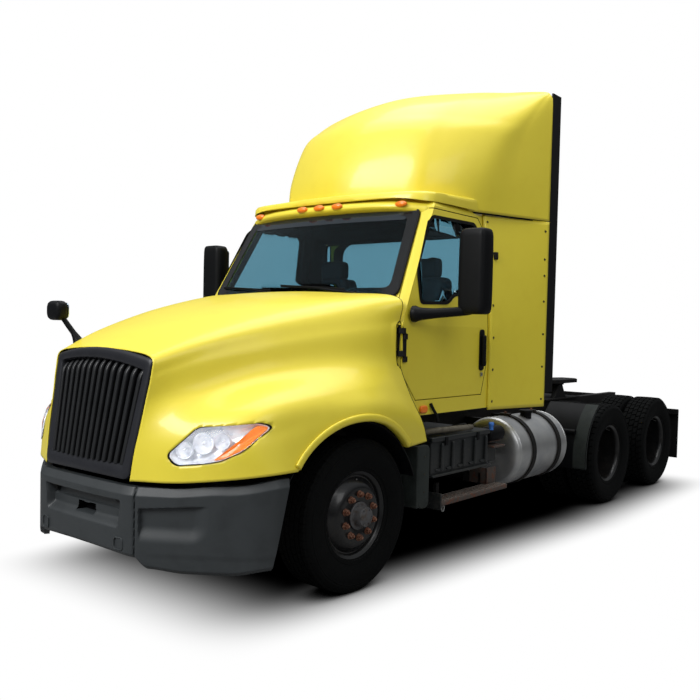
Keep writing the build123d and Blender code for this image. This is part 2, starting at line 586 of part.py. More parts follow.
# ---------------------------------------------------------------- doors and mirrors
ARM_X, ARM_Y0, MIRROR_ARM_Z = -580.0, CAB_HALF_W, 1850.0
MIRROR_X, MIRROR_Y, MIRROR_LOW, MIRROR_HIGH = -870.0, (1290.0, 1540.0), 1890.0, 2420.0
MIRROR_DEPTH = 150.0
for side, s in SIDES.items():
    with BuildPart() as door:
        cab_solid(0, DOOR_BOTTOM, CANTRAIL_Z, Mode.ADD)
        cab_solid(CAB_WALL, DOOR_BOTTOM, CANTRAIL_Z, Mode.SUBTRACT)
        leaf_prism(grown(DOOR_OUTLINE, 0), s, mode=Mode.INTERSECT)
        leaf_prism(window_hole, s, mode=Mode.SUBTRACT)
        for z in HINGES_Z:
            door_knuckle(s, z)
    save(door.part, f"door_{side}")

    with BuildPart() as door_glass:
        cab_solid(GLASS_INSET, BELT_Z, CANTRAIL_Z, Mode.ADD)
        cab_solid(GLASS_INSET + GLASS_T, BELT_Z, CANTRAIL_Z, Mode.SUBTRACT)
        leaf_prism(window_hole, s, mode=Mode.INTERSECT)
    save(door_glass.part, f"door_glass_{side}")

    with BuildPart() as mirror:
        block(MIRROR_X - MIRROR_DEPTH / 2, MIRROR_X + MIRROR_DEPTH / 2,
              s * MIRROR_Y[0], s * MIRROR_Y[1], MIRROR_LOW, MIRROR_HIGH)
        fillet(mirror.edges().filter_by(Axis.Z), radius=45)
        fillet(mirror.edges().group_by(Axis.Z)[-1], radius=25)
        plan_prism(
            [(ARM_X + 50, s * (ARM_Y0 - 30)), (ARM_X - 50, s * (ARM_Y0 - 30)),
             (ARM_X - 90, s * (ARM_Y0 + 60)),
             (MIRROR_X - 40, s * (MIRROR_Y[0] + 60)), (MIRROR_X + 50, s * (MIRROR_Y[0] + 60)),
             (ARM_X + 10, s * (ARM_Y0 + 70))],
            MIRROR_ARM_Z - 35, MIRROR_ARM_Z + 45)
        cab_solid(0, CAB_BOTTOM, CANTRAIL_Z, Mode.SUBTRACT)
    save(mirror.part, f"mirror_{side}")

# ---------------------------------------------------------------- hood
HOOD_STATIONS = (             # x, then (y, z) of centre, shoulder, crease, valley, fender,
    # side and lower edge
    (HOOD_REAR_X, (0, 2005), (932, 1948), (1044, 1757), (1068, 1592), (1145, 1290),
     (1212, 1130), (1206, 925)),
    (-100.0, (0, 1966), (858, 1896), (965, 1722), (1015, 1528), (1158, 1335),
     (1232, 1178), (1217, 910)),
    (250.0, (0, 1899), (766, 1820), (868, 1677), (938, 1470), (1150, 1322),
     (1222, 1160), (1218, 895)),
    (600.0, (0, 1806), (668, 1730), (748, 1604), (822, 1411), (1095, 1290),
     (1175, 1120), (1195, 885)),
    (850.0, (0, 1720), (600, 1655), (660, 1540), (712, 1352), (985, 1235),
     (1092, 1080), (1118, 870)),
    (1000.0, (0, 1660), (553, 1600), (598, 1488), (632, 1318), (830, 1180),
     (925, 1045), (955, 850)),
    (1100.0, (0, 1616), (522, 1560), (555, 1450), (568, 1296), (690, 1140),
     (780, 1020), (810, 832)),
    (1165.0, (0, 1586), (500, 1530), (524, 1423), (523, 1282), (592, 1120),
     (650, 1003), (690, 822)),
    (1275.0, (0, 1530), (470, 1470), (490, 1380), (485, 1262), (480, 1090),
     (476, 985), (470, 815)),
)
GRILLE_FOOT = (1268.0, 815.0)
GRILLE_LEAN = 0.1594          # back for each unit up
GRILLE_SEAT = -14.0           # back face of the surround, along the leaning normal
GRILLE_BOW = 30.0


def hood_section(row, inset):
    """One cross-section of the hood's outer form, or of its inside when inset."""
    x, *points = row
    right = []
    for n, (y, z) in enumerate(points):
        low = n == len(points) - 1
        right.append((max(y - inset, 0), z - (2 * inset if low else inset)))
    left = [(-y, z) for y, z in reversed(right[1:])]
    with BuildSketch(Plane.YZ.offset(at(x))) as section:
        with BuildLine():
            Polyline(*(right + left), close=True)
        make_face()
    return section.sketch


def hood_form(inset, mode=Mode.ADD):
    """The hood's form drawn in by inset, from its rear edge to ahead of the grille."""
    sections = [hood_section(row, inset) for row in HOOD_STATIONS]
    with BuildPart(mode=Mode.PRIVATE) as form:
        for rear, front in zip(sections[:-1], sections[1:]):
            loft([rear, front], ruled=True)
    add(form.part, mode=mode)


def grille_plane(forward):
    """The leaning plane of the grille, moved forward along its normal; X is across."""
    normal = Vector(1, 0, GRILLE_LEAN).normalized()
    foot = Vector(at(GRILLE_FOOT[0]), 0, GRILLE_FOOT[1])
    return Plane(origin=foot + normal * forward, x_dir=(0, 1, 0), z_dir=normal)


def behind_grille():
    """Keep only what lies behind the surround's seat from the solid being built."""
    with BuildSketch(grille_plane(GRILLE_SEAT)) as face:
        Rectangle(4000, 6000)
    extrude(face.sketch, amount=-3000, mode=Mode.INTERSECT)


LAMP_START, LAMP_END = (1200.0, 620.0), (800.0, 1160.0)
LAMP_OUTLINE = (              # along the front corner from LAMP_START, height
    (49.0, 978.0), (107.0, 922.0), (284.0, 941.0), (382.0, 961.0), (509.0, 1022.0),
    (656.0, 1152.0), (596.0, 1178.0), (225.0, 1143.0),
)
LAMP_DEPTH = 90.0


def lamp_prism(side_sign, mode=Mode.ADD):
    """The headlamp's outline pushed through the hood's front corner."""
    x0, y0 = LAMP_START
    x1, y1 = LAMP_END
    outward = Vector(y1 - y0, side_sign * (x0 - x1), 0).normalized()
    corner = Vector(at(x0), side_sign * y0, 0)
    run = Vector(x1 - x0, side_sign * (y1 - y0), 0).normalized()
    plane = Plane(origin=corner - outward * LAMP_DEPTH, x_dir=run, z_dir=outward * side_sign)
    with BuildSketch(plane) as outline:
        with BuildLine():
            Polyline(*[(u, z) if plane.y_dir.Z > 0 else (u, -z) for u, z in LAMP_OUTLINE],
                     close=True)
        make_face()
    extrude(outline.sketch, amount=side_sign * 300, mode=mode)


SEAT_GAP = 0.2                # between the hood's skin and what is fastened inside it
TAIL_FRONT_X = HOOD_REAR_X - SEAT_GAP
FENDER_TAIL = (               # x, z of the fender's rear tip behind the hood's rear edge
    (TAIL_FRONT_X, 1380.0), (-460.0, 1380.0), (-500.0, 1300.0), (-560.0, 1200.0),
    (-600.0, 1060.0), (-640.0, 940.0), (-640.0, 925.0), (TAIL_FRONT_X, 925.0),
)
FENDER_TAIL_Y = (1186.0, 1206.0)
FLANGE_Y, FLANGE_Z = (1140.0, 1170.0), (960.0, 1168.5)   # fastened inside the skin
LINER_T = 10.0
LINER_Y = (700.0, 1190.0)
HOOD_ARM_T = 50.0
TIE_BAR_X, TIE_BAR_Z, TIE_BAR_R = 1147.0, 850.0, 14.0
with BuildPart() as hood:
    hood_form(0)
    hood_form(HOOD_WALL, Mode.SUBTRACT)
    behind_grille()
    for s in SIDES.values():
        lamp_prism(s, Mode.SUBTRACT)
        across(ARCH_X, ARCH_Z, s * LINER_Y[0], s * 1400, ARCH_R, Mode.SUBTRACT)
        px, pz = HOOD_PIVOT
        y0, y1 = s * PIN_SPAN[0], s * (PIN_SPAN[0] + HOOD_ARM_T)
        across(px, pz, y0, y1, HOOD_BOSS_R)
        side_prism(
            [(px, pz - 15), (px, pz + 15), (TIE_BAR_X + 18, pz + 15),
             (TIE_BAR_X + 18, TIE_BAR_Z), (TIE_BAR_X - 18, TIE_BAR_Z), (TIE_BAR_X - 18, pz - 15)],
            y0, y1)
        across(px, pz, y0, y1, HOOD_PIN_R + RUN_GAP, Mode.SUBTRACT)
    with BuildPart(mode=Mode.PRIVATE) as tie_bar:
        across(TIE_BAR_X, TIE_BAR_Z, -1000, 1000, TIE_BAR_R)
        hood_form(HOOD_WALL / 2, Mode.INTERSECT)
    add(tie_bar.part)
save(hood.part, "hood")

with BuildPart() as fender_liners:
    for s in SIDES.values():
        across(ARCH_X, ARCH_Z, s * LINER_Y[0], s * LINER_Y[1], ARCH_R + LINER_T)
        across(ARCH_X, ARCH_Z, s * (LINER_Y[0] - 5), s * (LINER_Y[1] + 5), ARCH_R,
               Mode.SUBTRACT)
    block(-420, 1400, -LINER_Y[1], LINER_Y[1], 900, 2000, Mode.INTERSECT)
    hood_form(HOOD_WALL + SEAT_GAP, Mode.INTERSECT)
save(fender_liners.part, "fender_liners")

with BuildPart() as fender_ends:
    for s in SIDES.values():
        side_prism(FENDER_TAIL, s * FENDER_TAIL_Y[0], s * FENDER_TAIL_Y[1])
        block(TAIL_FRONT_X - 20, TAIL_FRONT_X, s * FLANGE_Y[0], s * (FENDER_TAIL_Y[0] + 4),
              *FLANGE_Z)
        block(TAIL_FRONT_X, TAIL_FRONT_X + 40, s * FLANGE_Y[0], s * FLANGE_Y[1], *FLANGE_Z)
save(fender_ends.part, "fender_ends")

# ---------------------------------------------------------------- grille and lamps
SURROUND_LOW, SURROUND_TOP = 459.0, 520.0
SURROUND_SIDE_H, SURROUND_CENTRE_H = 712.0, 768.0
SURROUND_W = 72.0
SURROUND_R = 55.0
SLATS, SLAT_W, SLAT_DEPTH = 14, 26.0, 34.0
with BuildPart() as grille:
    with BuildSketch(grille_plane(GRILLE_SEAT)) as surround:
        with BuildLine():
            Polyline((-SURROUND_TOP, SURROUND_SIDE_H), (-SURROUND_LOW, 0), (SURROUND_LOW, 0),
                     (SURROUND_TOP, SURROUND_SIDE_H))
            ThreePointArc((SURROUND_TOP, SURROUND_SIDE_H), (0, SURROUND_CENTRE_H),
                          (-SURROUND_TOP, SURROUND_SIDE_H))
        make_face()
        fillet(surround.vertices(), radius=SURROUND_R)
        offset(amount=-SURROUND_W, mode=Mode.SUBTRACT)
    extrude(surround.sketch, amount=GRILLE_BOW - GRILLE_SEAT)
    pitch = 2 * (SURROUND_LOW - SURROUND_W / 2) / SLATS
    with BuildSketch(grille_plane(GRILLE_SEAT)) as slats:
        for n in range(SLATS):
            y = (n - (SLATS - 1) / 2) * pitch
            with Locations((y, SURROUND_CENTRE_H / 2 - 6)):
                Rectangle(SLAT_W, SURROUND_CENTRE_H - 1.55 * SURROUND_W)
    extrude(slats.sketch, amount=SLAT_DEPTH)
    with BuildSketch(grille_plane(GRILLE_SEAT)) as bar:
        with Locations((0, SURROUND_CENTRE_H / 2)):
            Rectangle(2 * SURROUND_LOW - SURROUND_W, 30)
    extrude(bar.sketch, amount=10)
    lean = Vector(-GRILLE_LEAN, 0, 1).normalized()
    foot = Vector(at(GRILLE_FOOT[0]), 0, GRILLE_FOOT[1]) - lean * 100
    with BuildSketch(Plane(origin=foot, x_dir=(0, 1, 0), z_dir=lean)) as bow:
        with BuildLine():
            ThreePointArc((-SURROUND_TOP - 10, 0), (0, -GRILLE_BOW), (SURROUND_TOP + 10, 0))
            Polyline((SURROUND_TOP + 10, 0), (SURROUND_TOP + 10, 200),
                     (-SURROUND_TOP - 10, 200), (-SURROUND_TOP - 10, 0))
        make_face()
    extrude(bow.sketch, amount=SURROUND_CENTRE_H + 300, mode=Mode.INTERSECT)
save(grille.part, "grille")

for side, s in SIDES.items():
    with BuildPart() as headlamp:
        lamp_prism(s)
        hood_form(0, Mode.INTERSECT)
        behind_grille()
    save(headlamp.part, f"headlamp_{side}")

# ---------------------------------------------------------------- bumper
BUMPER_PLAN = (               # x, y of the outer face, centre to rear end
    (BUMPER_TO_AXLE, 0.0), (1305.0, 300.0), (1290.0, 480.0), (1238.0, 590.0), (1120.0, 790.0),
    (1000.0, 970.0), (900.0, 1100.0), (800.0, 1180.0), (700.0, 1205.0),
)
BUMPER_LOW, BUMPER_HIGH, BUMPER_END_HIGH = 300.0, 785.0, 850.0
BUMPER_WALL = 16.0
SEAM_W, SEAM_Y = 8.0, 510.0
RECESS_HALF_W, RECESS_Z, RECESS_DEPTH = 405.0, (540.0, 690.0), 10.0
SLOT_HALF_W, SLOT_Z = 95.0, (552.0, 620.0)
TOW_Y, TOW_Z, TOW_R = 400.0, 447.0, 38.0
STAY_Y = (FRAME_HALF_W, FRAME_HALF_W + 38)


def bumper_outline(inset):
    """Plan of the bumper's outer face moved in by inset, both sides, closed behind."""
    half = []
    for (xa, ya), (xb, yb) in zip(BUMPER_PLAN[:-1], BUMPER_PLAN[1:]):
        run = Vector(xb - xa, yb - ya, 0).normalized()
        half.append((xa - inset * run.Y, ya + inset * run.X if ya else 0.0))
    xb, yb = BUMPER_PLAN[-1]
    half.append((xb - (1 if inset else 0), yb - inset))
    return half + [(x, -y) for x, y in reversed(half[1:])]


with BuildPart() as bumper:
    plan_prism(bumper_outline(0), BUMPER_LOW, BUMPER_END_HIGH)
    plan_prism(bumper_outline(BUMPER_WALL), BUMPER_LOW - 10, BUMPER_END_HIGH + 10, Mode.SUBTRACT)
    side_prism(
        [(1500, BUMPER_HIGH), (1180, BUMPER_HIGH), (1000, BUMPER_HIGH + 25),
         (760, BUMPER_END_HIGH), (690, BUMPER_END_HIGH), (690, 1000), (1500, 1000)],
        -1300, 1300, Mode.SUBTRACT)
    side_prism(
        [(1500, BUMPER_LOW), (1500, BUMPER_LOW + 30), (1200, BUMPER_LOW + 30),
         (1150, BUMPER_LOW)], -420, 420, Mode.SUBTRACT)
    block(BUMPER_TO_AXLE - RECESS_DEPTH, 1400, -RECESS_HALF_W, RECESS_HALF_W, *RECESS_Z,
          Mode.SUBTRACT)
    block(1200, 1400, -SLOT_HALF_W, SLOT_HALF_W, *SLOT_Z, Mode.SUBTRACT)
    for s in SIDES.values():
        along(1200, 1400, s * TOW_Y, TOW_Z, TOW_R, Mode.SUBTRACT)
        block(1200, 1400, s * (SEAM_Y - SEAM_W / 2), s * (SEAM_Y + SEAM_W / 2),
              BUMPER_LOW, BUMPER_END_HIGH, Mode.SUBTRACT)
    with BuildPart(mode=Mode.PRIVATE) as stays:
        for s in SIDES.values():
            block(980, 1400, s * STAY_Y[0], s * STAY_Y[1], 560, FRAME_BOTTOM + 60)
            block(1230, 1400, s * (TOW_Y - 60), s * (TOW_Y - 45), 400, 535)
            block(1200, 1400, s * (SEAM_Y - 40), s * (SEAM_Y + 40), BUMPER_LOW + 40,
                  BUMPER_HIGH - 60)
        plan_prism(bumper_outline(BUMPER_WALL - 4), 0, 1000, Mode.INTERSECT)
    add(stays.part)
save(bumper.part, "bumper")

# ---------------------------------------------------------------- interior
DASH_X = (-545.0, -800.0)
DASH_Z = (1400.0, 1730.0)
DASH_HALF_W = CAB_HALF_W - CAB_WALL - 40
STEER_CENTRE = (-915.0, 1775.0)
STEER_Y = 520.0
STEER_R, STEER_GRIP_R = 225.0, 16.0
STEER_RAKE = 42.0             # degrees from upright that the column's line leans back
COLUMN_R = 32.0
column_line = Vector(-sin(radians(STEER_RAKE)), 0, cos(radians(STEER_RAKE)))
steer_centre = Vector(at(STEER_CENTRE[0]), STEER_Y, STEER_CENTRE[1])
column_plane = Plane(origin=steer_centre, x_dir=(0, 1, 0), z_dir=column_line)
WHEEL_DROP = 60.0
with BuildPart() as dashboard:
    side_prism(
        [(0, DASH_Z[0] - 150), (0, DASH_Z[1] + 60), (DASH_X[0] - 60, DASH_Z[1] + 60),
         (DASH_X[1], DASH_Z[1] - 40), (DASH_X[1] - 15, DASH_Z[1] - 90), (DASH_X[1] + 30, DASH_Z[0]),
         (DASH_X[1] + 150, DASH_Z[0] - 150)], -DASH_HALF_W, DASH_HALF_W)
    with BuildSketch(column_plane.offset(-WHEEL_DROP - RUN_GAP)) as column:
        Circle(COLUMN_R)
    extrude(column.sketch, amount=-190)
    cab_solid(CAB_WALL + RUN_GAP, CAB_BOTTOM, CANTRAIL_Z, Mode.INTERSECT)
save(dashboard.part, "dashboard")

with BuildPart() as steering_wheel:
    with BuildSketch(Plane(origin=steer_centre, x_dir=column_line,
                           z_dir=(0, 1, 0))) as grip:
        with Locations((0, STEER_R)):
            Circle(STEER_GRIP_R)
    revolve(grip.sketch, axis=Axis(steer_centre, column_line))
    with BuildSketch(column_plane.offset(-WHEEL_DROP)) as hub:
        Circle(COLUMN_R + 30)
    extrude(hub.sketch, amount=WHEEL_DROP - 10)
    with BuildSketch(column_plane.offset(-22)) as spokes:
        with PolarLocations(0, 3, start_angle=90):
            with Locations((STEER_R / 2, 0)):
                Rectangle(STEER_R, 40)
    extrude(spokes.sketch, amount=14)
save(steering_wheel.part, "steering_wheel")

SEAT_X = (-1590.0, -1080.0)
SEAT_HALF_W, SEAT_TOP, SEAT_BACK_TOP = 250.0, 1540.0, 2230.0
with BuildPart() as seats:
    for s in SIDES.values():
        y0, y1 = s * (STEER_Y - SEAT_HALF_W), s * (STEER_Y + SEAT_HALF_W)
        block(SEAT_X[0] + 60, SEAT_X[1] - 60, y0 + s * 60, y1 - s * 60, FLOOR_TOP,
              SEAT_TOP - 130)
        block(SEAT_X[0] + 20, SEAT_X[1], y0, y1, SEAT_TOP - 140, SEAT_TOP)
        side_prism(
            [(SEAT_X[0] + 130, SEAT_TOP - 60), (SEAT_X[0] + 10, SEAT_TOP - 60),
             (SEAT_X[0] - 30, SEAT_BACK_TOP), (SEAT_X[0] + 50, SEAT_BACK_TOP)], y0, y1)
save(seats.part, "seats")

# ---------------------------------------------------------------- roof fairing
FAIRING_LOW, FAIRING_REAR_X, FAIRING_HALF_W = 2690.0, -2290.0, 1262.0
FAIRING_WALL = 26.0
FAIRING_SECTIONS = (          # z, nose x, then (x, y) of two front corners and the side's start
    (FAIRING_LOW, -900.0, (-1045.0, 584.0), (-1180.0, 780.0), (-1480.0, 975.0)),
    (2990.0, -935.0, (-1080.0, 584.0), (-1215.0, 800.0), (-1540.0, 1010.0)),
    (3340.0, -1080.0, (-1200.0, 570.0), (-1370.0, 800.0), (-1720.0, 1060.0)),
    (3500.0, -1230.0, (-1370.0, 560.0), (-1550.0, 800.0), (-1880.0, 1090.0)),
    (3660.0, -1480.0, (-1630.0, 560.0), (-1800.0, 800.0), (-2060.0, 1130.0)),
    (3800.0, -1900.0, (-2010.0, 560.0), (-2110.0, 800.0), (-2200.0, 1150.0)),
)
FAIRING_TOP = 3900.0


def fairing_section(row, inset, lower=0.0):
    """One plan section of the fairing drawn in by inset; its rear stays open when inset."""
    z, nose, corner_a, corner_b, side_start = row
    half = [(nose - inset, 0.0)]
    for x, y in (corner_a, corner_b, side_start):
        half.append((x - 0.8 * inset, y - 0.8 * inset))
    half.append((FAIRING_REAR_X - (40 if inset else 0), FAIRING_HALF_W - inset))
    points = half + [(x, -y) for x, y in reversed(half[1:])]
    with BuildSketch(Plane.XY.offset(z - lower)) as section:
        with BuildLine():
            Polyline(*[(at(x), y) for x, y in points], close=True)
        make_face()
    return section.sketch


def fairing_form(inset, mode=Mode.ADD):
    """The fairing's form drawn in by inset, capped by a low crown."""
    rows = list(FAIRING_SECTIONS)
    drop = inset
    with BuildPart(mode=Mode.PRIVATE) as form:
        for low, high in zip(rows[:-1], rows[1:]):
            loft([fairing_section(low, inset, drop), fairing_section(high, inset, drop)],
                 ruled=True)
        last = rows[-1]
        with BuildSketch(Plane.YZ.offset(at(FAIRING_REAR_X - (40 if inset else 0)))) as back:
            with BuildLine():
                z0 = last[0] - drop
                Polyline((-FAIRING_HALF_W + inset, z0), (FAIRING_HALF_W - inset, z0),
                         (620, FAIRING_TOP - drop - 20), (0, FAIRING_TOP - drop),
                         (-620, FAIRING_TOP - drop - 20), close=True)
            make_face()
        with BuildSketch(Plane.YZ.offset(at(-1950 - inset))) as fore:
            with BuildLine():
                Polyline((-400, z0 - 10), (400, z0 - 10), (200, z0 + 2), (0, z0 + 4),
                         (-200, z0 + 2), close=True)
            make_face()
        loft([back.sketch, fore.sketch], ruled=True)
    add(form.part, mode=mode)


ROOF_CLEAR_X = CAB_BACK_X - 10
with BuildPart() as roof_fairing:
    fairing_form(0)
    fairing_form(FAIRING_WALL, Mode.SUBTRACT)
    block(ROOF_CLEAR_X, 0, -2000, 2000, 2000, ROOF_Z, Mode.SUBTRACT)
save(roof_fairing.part, "roof_fairing")

# ---------------------------------------------------------------- side extenders
EXTENDER_T = 24.0
EXTENDER_FRONT_X, EXTENDER_LOW = -1625.0, 1090.0
EXTENDER_SECTIONS = (         # z, y of the inner face at the front edge
    (EXTENDER_LOW, CAB_HALF_W), (BELT_Z, CAB_HALF_W), (COWL_Z, COWL_HALF_W),
    (CANTRAIL_Z, CAB_TOP_HALF_W), (FAIRING_LOW - 3, CAB_TOP_HALF_W),
)
EXTENDER_BRACKETS = ((1350.0, 1108.0), (2350.0, 1062.0))   # height, y reached in its skin


def extender_section(z, y_front, s):
    """Plan section of one side extender, front edge against the cab's side."""
    rear = FAIRING_HALF_W
    points = [(EXTENDER_FRONT_X, y_front), (EXTENDER_FRONT_X, y_front + EXTENDER_T),
              (FAIRING_REAR_X, rear), (FAIRING_REAR_X, rear - EXTENDER_T)]
    with BuildSketch(Plane.XY.offset(z)) as section:
        with BuildLine():
            Polyline(*[(at(x), s * y) for x, y in points], close=True)
        make_face()
    return section.sketch


with BuildPart() as side_extenders:
    for s in SIDES.values():
        for low, high in zip(EXTENDER_SECTIONS[:-1], EXTENDER_SECTIONS[1:]):
            loft([extender_section(*low, s), extender_section(*high, s)], ruled=True)
        for z, reach in EXTENDER_BRACKETS:
            block(CAB_BACK_X, CAB_BACK_X - 30, s * 950, s * reach, z - 25, z + 25)
save(side_extenders.part, "side_extenders")

SEAL_T, SEAL_REACH, SEAL_LOW, SEAL_HIGH = 14.0, 150.0, 1210.0, 3780.0
with BuildPart() as edge_seals:
    for s in SIDES.values():
        y = FAIRING_HALF_W - EXTENDER_T / 2
        block(FAIRING_REAR_X - SEAL_REACH, FAIRING_REAR_X, s * (y - SEAL_T / 2),
              s * (y + SEAL_T / 2), SEAL_LOW, SEAL_HIGH)
save(edge_seals.part, "edge_seals")

# ---------------------------------------------------------------- tanks, boxes and steps
TANK_R, TANK_Z = 308.0, 672.0
TANK_Y = 1160.0 - TANK_R
TANK_X = (-3030.0, -2060.0)
STRAP_T, STRAP_W = 6.0, 60.0
STRAPS_X = (-2335.0, -2815.0)
with BuildPart() as fuel_tanks:
    for s in SIDES.values():
        along(*TANK_X, s * TANK_Y, TANK_Z, TANK_R)
    fillet(fuel_tanks.edges().filter_by(GeomType.CIRCLE), radius=28)
save(fuel_tanks.part, "fuel_tanks")

with BuildPart() as tank_brackets:
    for s in SIDES.values():
        for x in STRAPS_X:
            along(x - STRAP_W / 2, x + STRAP_W / 2, s * TANK_Y, TANK_Z, TANK_R + STRAP_T)
            side_y = s * (TANK_Y - 40)
            block(x - 26, x + 26, s * FRAME_HALF_W, side_y, TANK_Z - TANK_R - STRAP_T - 30,
                  FRAME_TOP - 60)
            along(x - STRAP_W, x + STRAP_W, s * TANK_Y, TANK_Z, TANK_R + RUN_GAP, Mode.SUBTRACT)
save(tank_brackets.part, "tank_brackets")

BOX_X, BOX_Y, BOX_Z = (-1620.0, -790.0), 1150.0, (640.0, 950.0)
with BuildPart() as side_boxes:
    for s in SIDES.values():
        block(*BOX_X, s * (FRAME_HALF_W + 60), s * BOX_Y, *BOX_Z)
        block(*BOX_X, s * FRAME_HALF_W, s * (FRAME_HALF_W + 61), FRAME_BOTTOM, BOX_Z[1])
    fillet(side_boxes.edges().filter_by(Axis.X), radius=18)
save(side_boxes.part, "side_boxes")

STEP_X, STEP_Z, STEP_Y = (-1860.0, -900.0), (420.0, 465.0), (1010.0, 1165.0)
with BuildPart() as steps:
    for s in SIDES.values():
        block(*STEP_X, s * STEP_Y[0], s * STEP_Y[1], *STEP_Z)
        for x in (-1000.0, -1540.0):
            block(x - 20, x + 20, s * (STEP_Y[0] + 20), s * (STEP_Y[1] - 40), STEP_Z[1],
                  BOX_Z[0])
save(steps.part, "steps")

GUARD_X, GUARD_Y, GUARD_Z = (-760.0, -600.0), (650.0, 1150.0), (430.0, 905.0)
GUARD_T = 20.0
with BuildPart() as splash_panels:
    for s in SIDES.values():
        block(GUARD_X[1] - GUARD_T, GUARD_X[1], s * GUARD_Y[0], s * GUARD_Y[1], *GUARD_Z)
        block(*GUARD_X, s * (GUARD_Y[1] - GUARD_T), s * GUARD_Y[1], *GUARD_Z)
        block(BOX_X[1], GUARD_X[1] - 1, s * (GUARD_Y[0] + 100), s * (GUARD_Y[0] + 130), 800, 840)
save(splash_panels.part, "splash_panels")

FENDER_R, FENDER_T, FENDER_ARC = 620.0, 10.0, (-9.0, 56.0)
FENDER_Y = (700.0, 1230.0)
STUB_R = 24.0
with BuildPart() as quarter_fenders:
    x0 = DRIVE_AXLES[0]
    low, high = (radians(a) for a in FENDER_ARC)
    mid = (low + high) / 2
    for s in SIDES.values():
        with BuildSketch(Plane.XZ.offset(-max(s * FENDER_Y[0], s * FENDER_Y[1]))) as band:
            with BuildLine():
                inside, outside = (
                    [(at(x0 + r * cos(a)), TYRE_R + r * sin(a)) for a in (low, mid, high)]
                    for r in (FENDER_R, FENDER_R + FENDER_T))
                ThreePointArc(*inside)
                Line(inside[2], outside[2])
                ThreePointArc(*reversed(outside))
                Line(outside[0], inside[0])
            make_face()
        extrude(band.sketch, amount=FENDER_Y[1] - FENDER_Y[0])
        r = FENDER_R + FENDER_T + STUB_R - 4
        across(x0 + r * cos(mid), TYRE_R + r * sin(mid), s * FRAME_HALF_W, s * 1100, STUB_R)
save(quarter_fenders.part, "quarter_fenders")

FLAP_Z = (230.0, 800.0)
with BuildPart() as mudflaps:
    front = RAIL_REAR - HANGER_T
    block(front, RAIL_REAR, -1230, 1230, FLAP_Z[1] - 30, FLAP_Z[1] + 30)
    for s in SIDES.values():
        block(front - FLAP_T, front, s * 700, s * 1230, FLAP_Z[0], FLAP_Z[1] + 20)
save(mudflaps.part, "mudflaps")

LAMP_R = 52.0
with BuildPart() as tail_lamps:
    block(RAIL_REAR - 26, RAIL_REAR, -FRAME_HALF_W, FRAME_HALF_W, FRAME_BOTTOM - 90,
          FRAME_BOTTOM + 40)
    for s in SIDES.values():
        for y in (190.0, 330.0):
            along(RAIL_REAR - 44, RAIL_REAR - 20, s * y, FRAME_BOTTOM - 28, LAMP_R)
save(tail_lamps.part, "tail_lamps")

DECK_X, DECK_T = (-2560.0, -1760.0), 12.0
with BuildPart() as deck:
    block(*DECK_X, -(FRAME_HALF_W + 60), FRAME_HALF_W + 60, FRAME_TOP, FRAME_TOP + DECK_T)
save(deck.part, "deck")

CAB_MOUNTS_X = (-620.0, -1540.0)
with BuildPart() as cab_mounts:
    for x in CAB_MOUNTS_X:
        for s in SIDES.values():
            block(x - 60, x + 60, s * (FRAME_HALF_W - RAIL_FLANGE), s * FRAME_HALF_W, FRAME_TOP,
                  CAB_BOTTOM)
save(cab_mounts.part, "cab_mounts")

# ---------------------------------------------------------------- fifth wheel
JAW_X = -WHEELBASE + 250
PLATE_TOP, PLATE_T = 1205.0, 40.0
PLATE_HALF_W, PLATE_FORE, PLATE_AFT = 460.0, 360.0, 480.0
JAW_R = 25.7
TRUNNION_Z, TRUNNION_R = 1118.0, 28.0
TRUNNION_Y = (300.0, 372.0)
STAND_Y = (376.0, 430.0)
MOUTH_HALF_W = 210.0
with BuildPart() as fifth_wheel:
    with BuildSketch(Plane.XY.offset(PLATE_TOP)) as plate:
        with BuildLine():
            x = at(JAW_X)
            ThreePointArc((x + 40, -PLATE_HALF_W), (x + PLATE_FORE, 0), (x + 40, PLATE_HALF_W))
            Line((x + 40, PLATE_HALF_W), (x - PLATE_AFT + 120, PLATE_HALF_W))
            Line((x - PLATE_AFT + 120, PLATE_HALF_W), (x - PLATE_AFT, PLATE_HALF_W - 90))
            Line((x - PLATE_AFT, PLATE_HALF_W - 90), (x - PLATE_AFT, MOUTH_HALF_W))
            Line((x - PLATE_AFT, MOUTH_HALF_W), (x - 70, 30))
            Line((x - 70, 30), (x - 70, -30))
            Line((x - 70, -30), (x - PLATE_AFT, -MOUTH_HALF_W))
            Line((x - PLATE_AFT, -MOUTH_HALF_W), (x - PLATE_AFT, -PLATE_HALF_W + 90))
            Line((x - PLATE_AFT, -PLATE_HALF_W + 90), (x - PLATE_AFT + 120, -PLATE_HALF_W))
            Line((x - PLATE_AFT + 120, -PLATE_HALF_W), (x + 40, -PLATE_HALF_W))
        make_face()
    extrude(plate.sketch, amount=-PLATE_T)
    upright(JAW_X, 0, PLATE_TOP - 82, PLATE_TOP - 2, 80)
    upright(JAW_X, 0, PLATE_TOP - 90, PLATE_TOP + 10, JAW_R, Mode.SUBTRACT)
    for s in SIDES.values():
        block(JAW_X - 45, JAW_X + 45, s * TRUNNION_Y[0], s * TRUNNION_Y[1], TRUNNION_Z - 45,
              PLATE_TOP - PLATE_T + 5)
        block(JAW_X - 260, JAW_X + 220, s * 330, s * 342, PLATE_TOP - PLATE_T - 30,
              PLATE_TOP - PLATE_T + 5)
        across(JAW_X, TRUNNION_Z, s * TRUNNION_Y[0], s * TRUNNION_Y[1], TRUNNION_R + RUN_GAP,
               Mode.SUBTRACT)
save(fifth_wheel.part, "fifth_wheel")

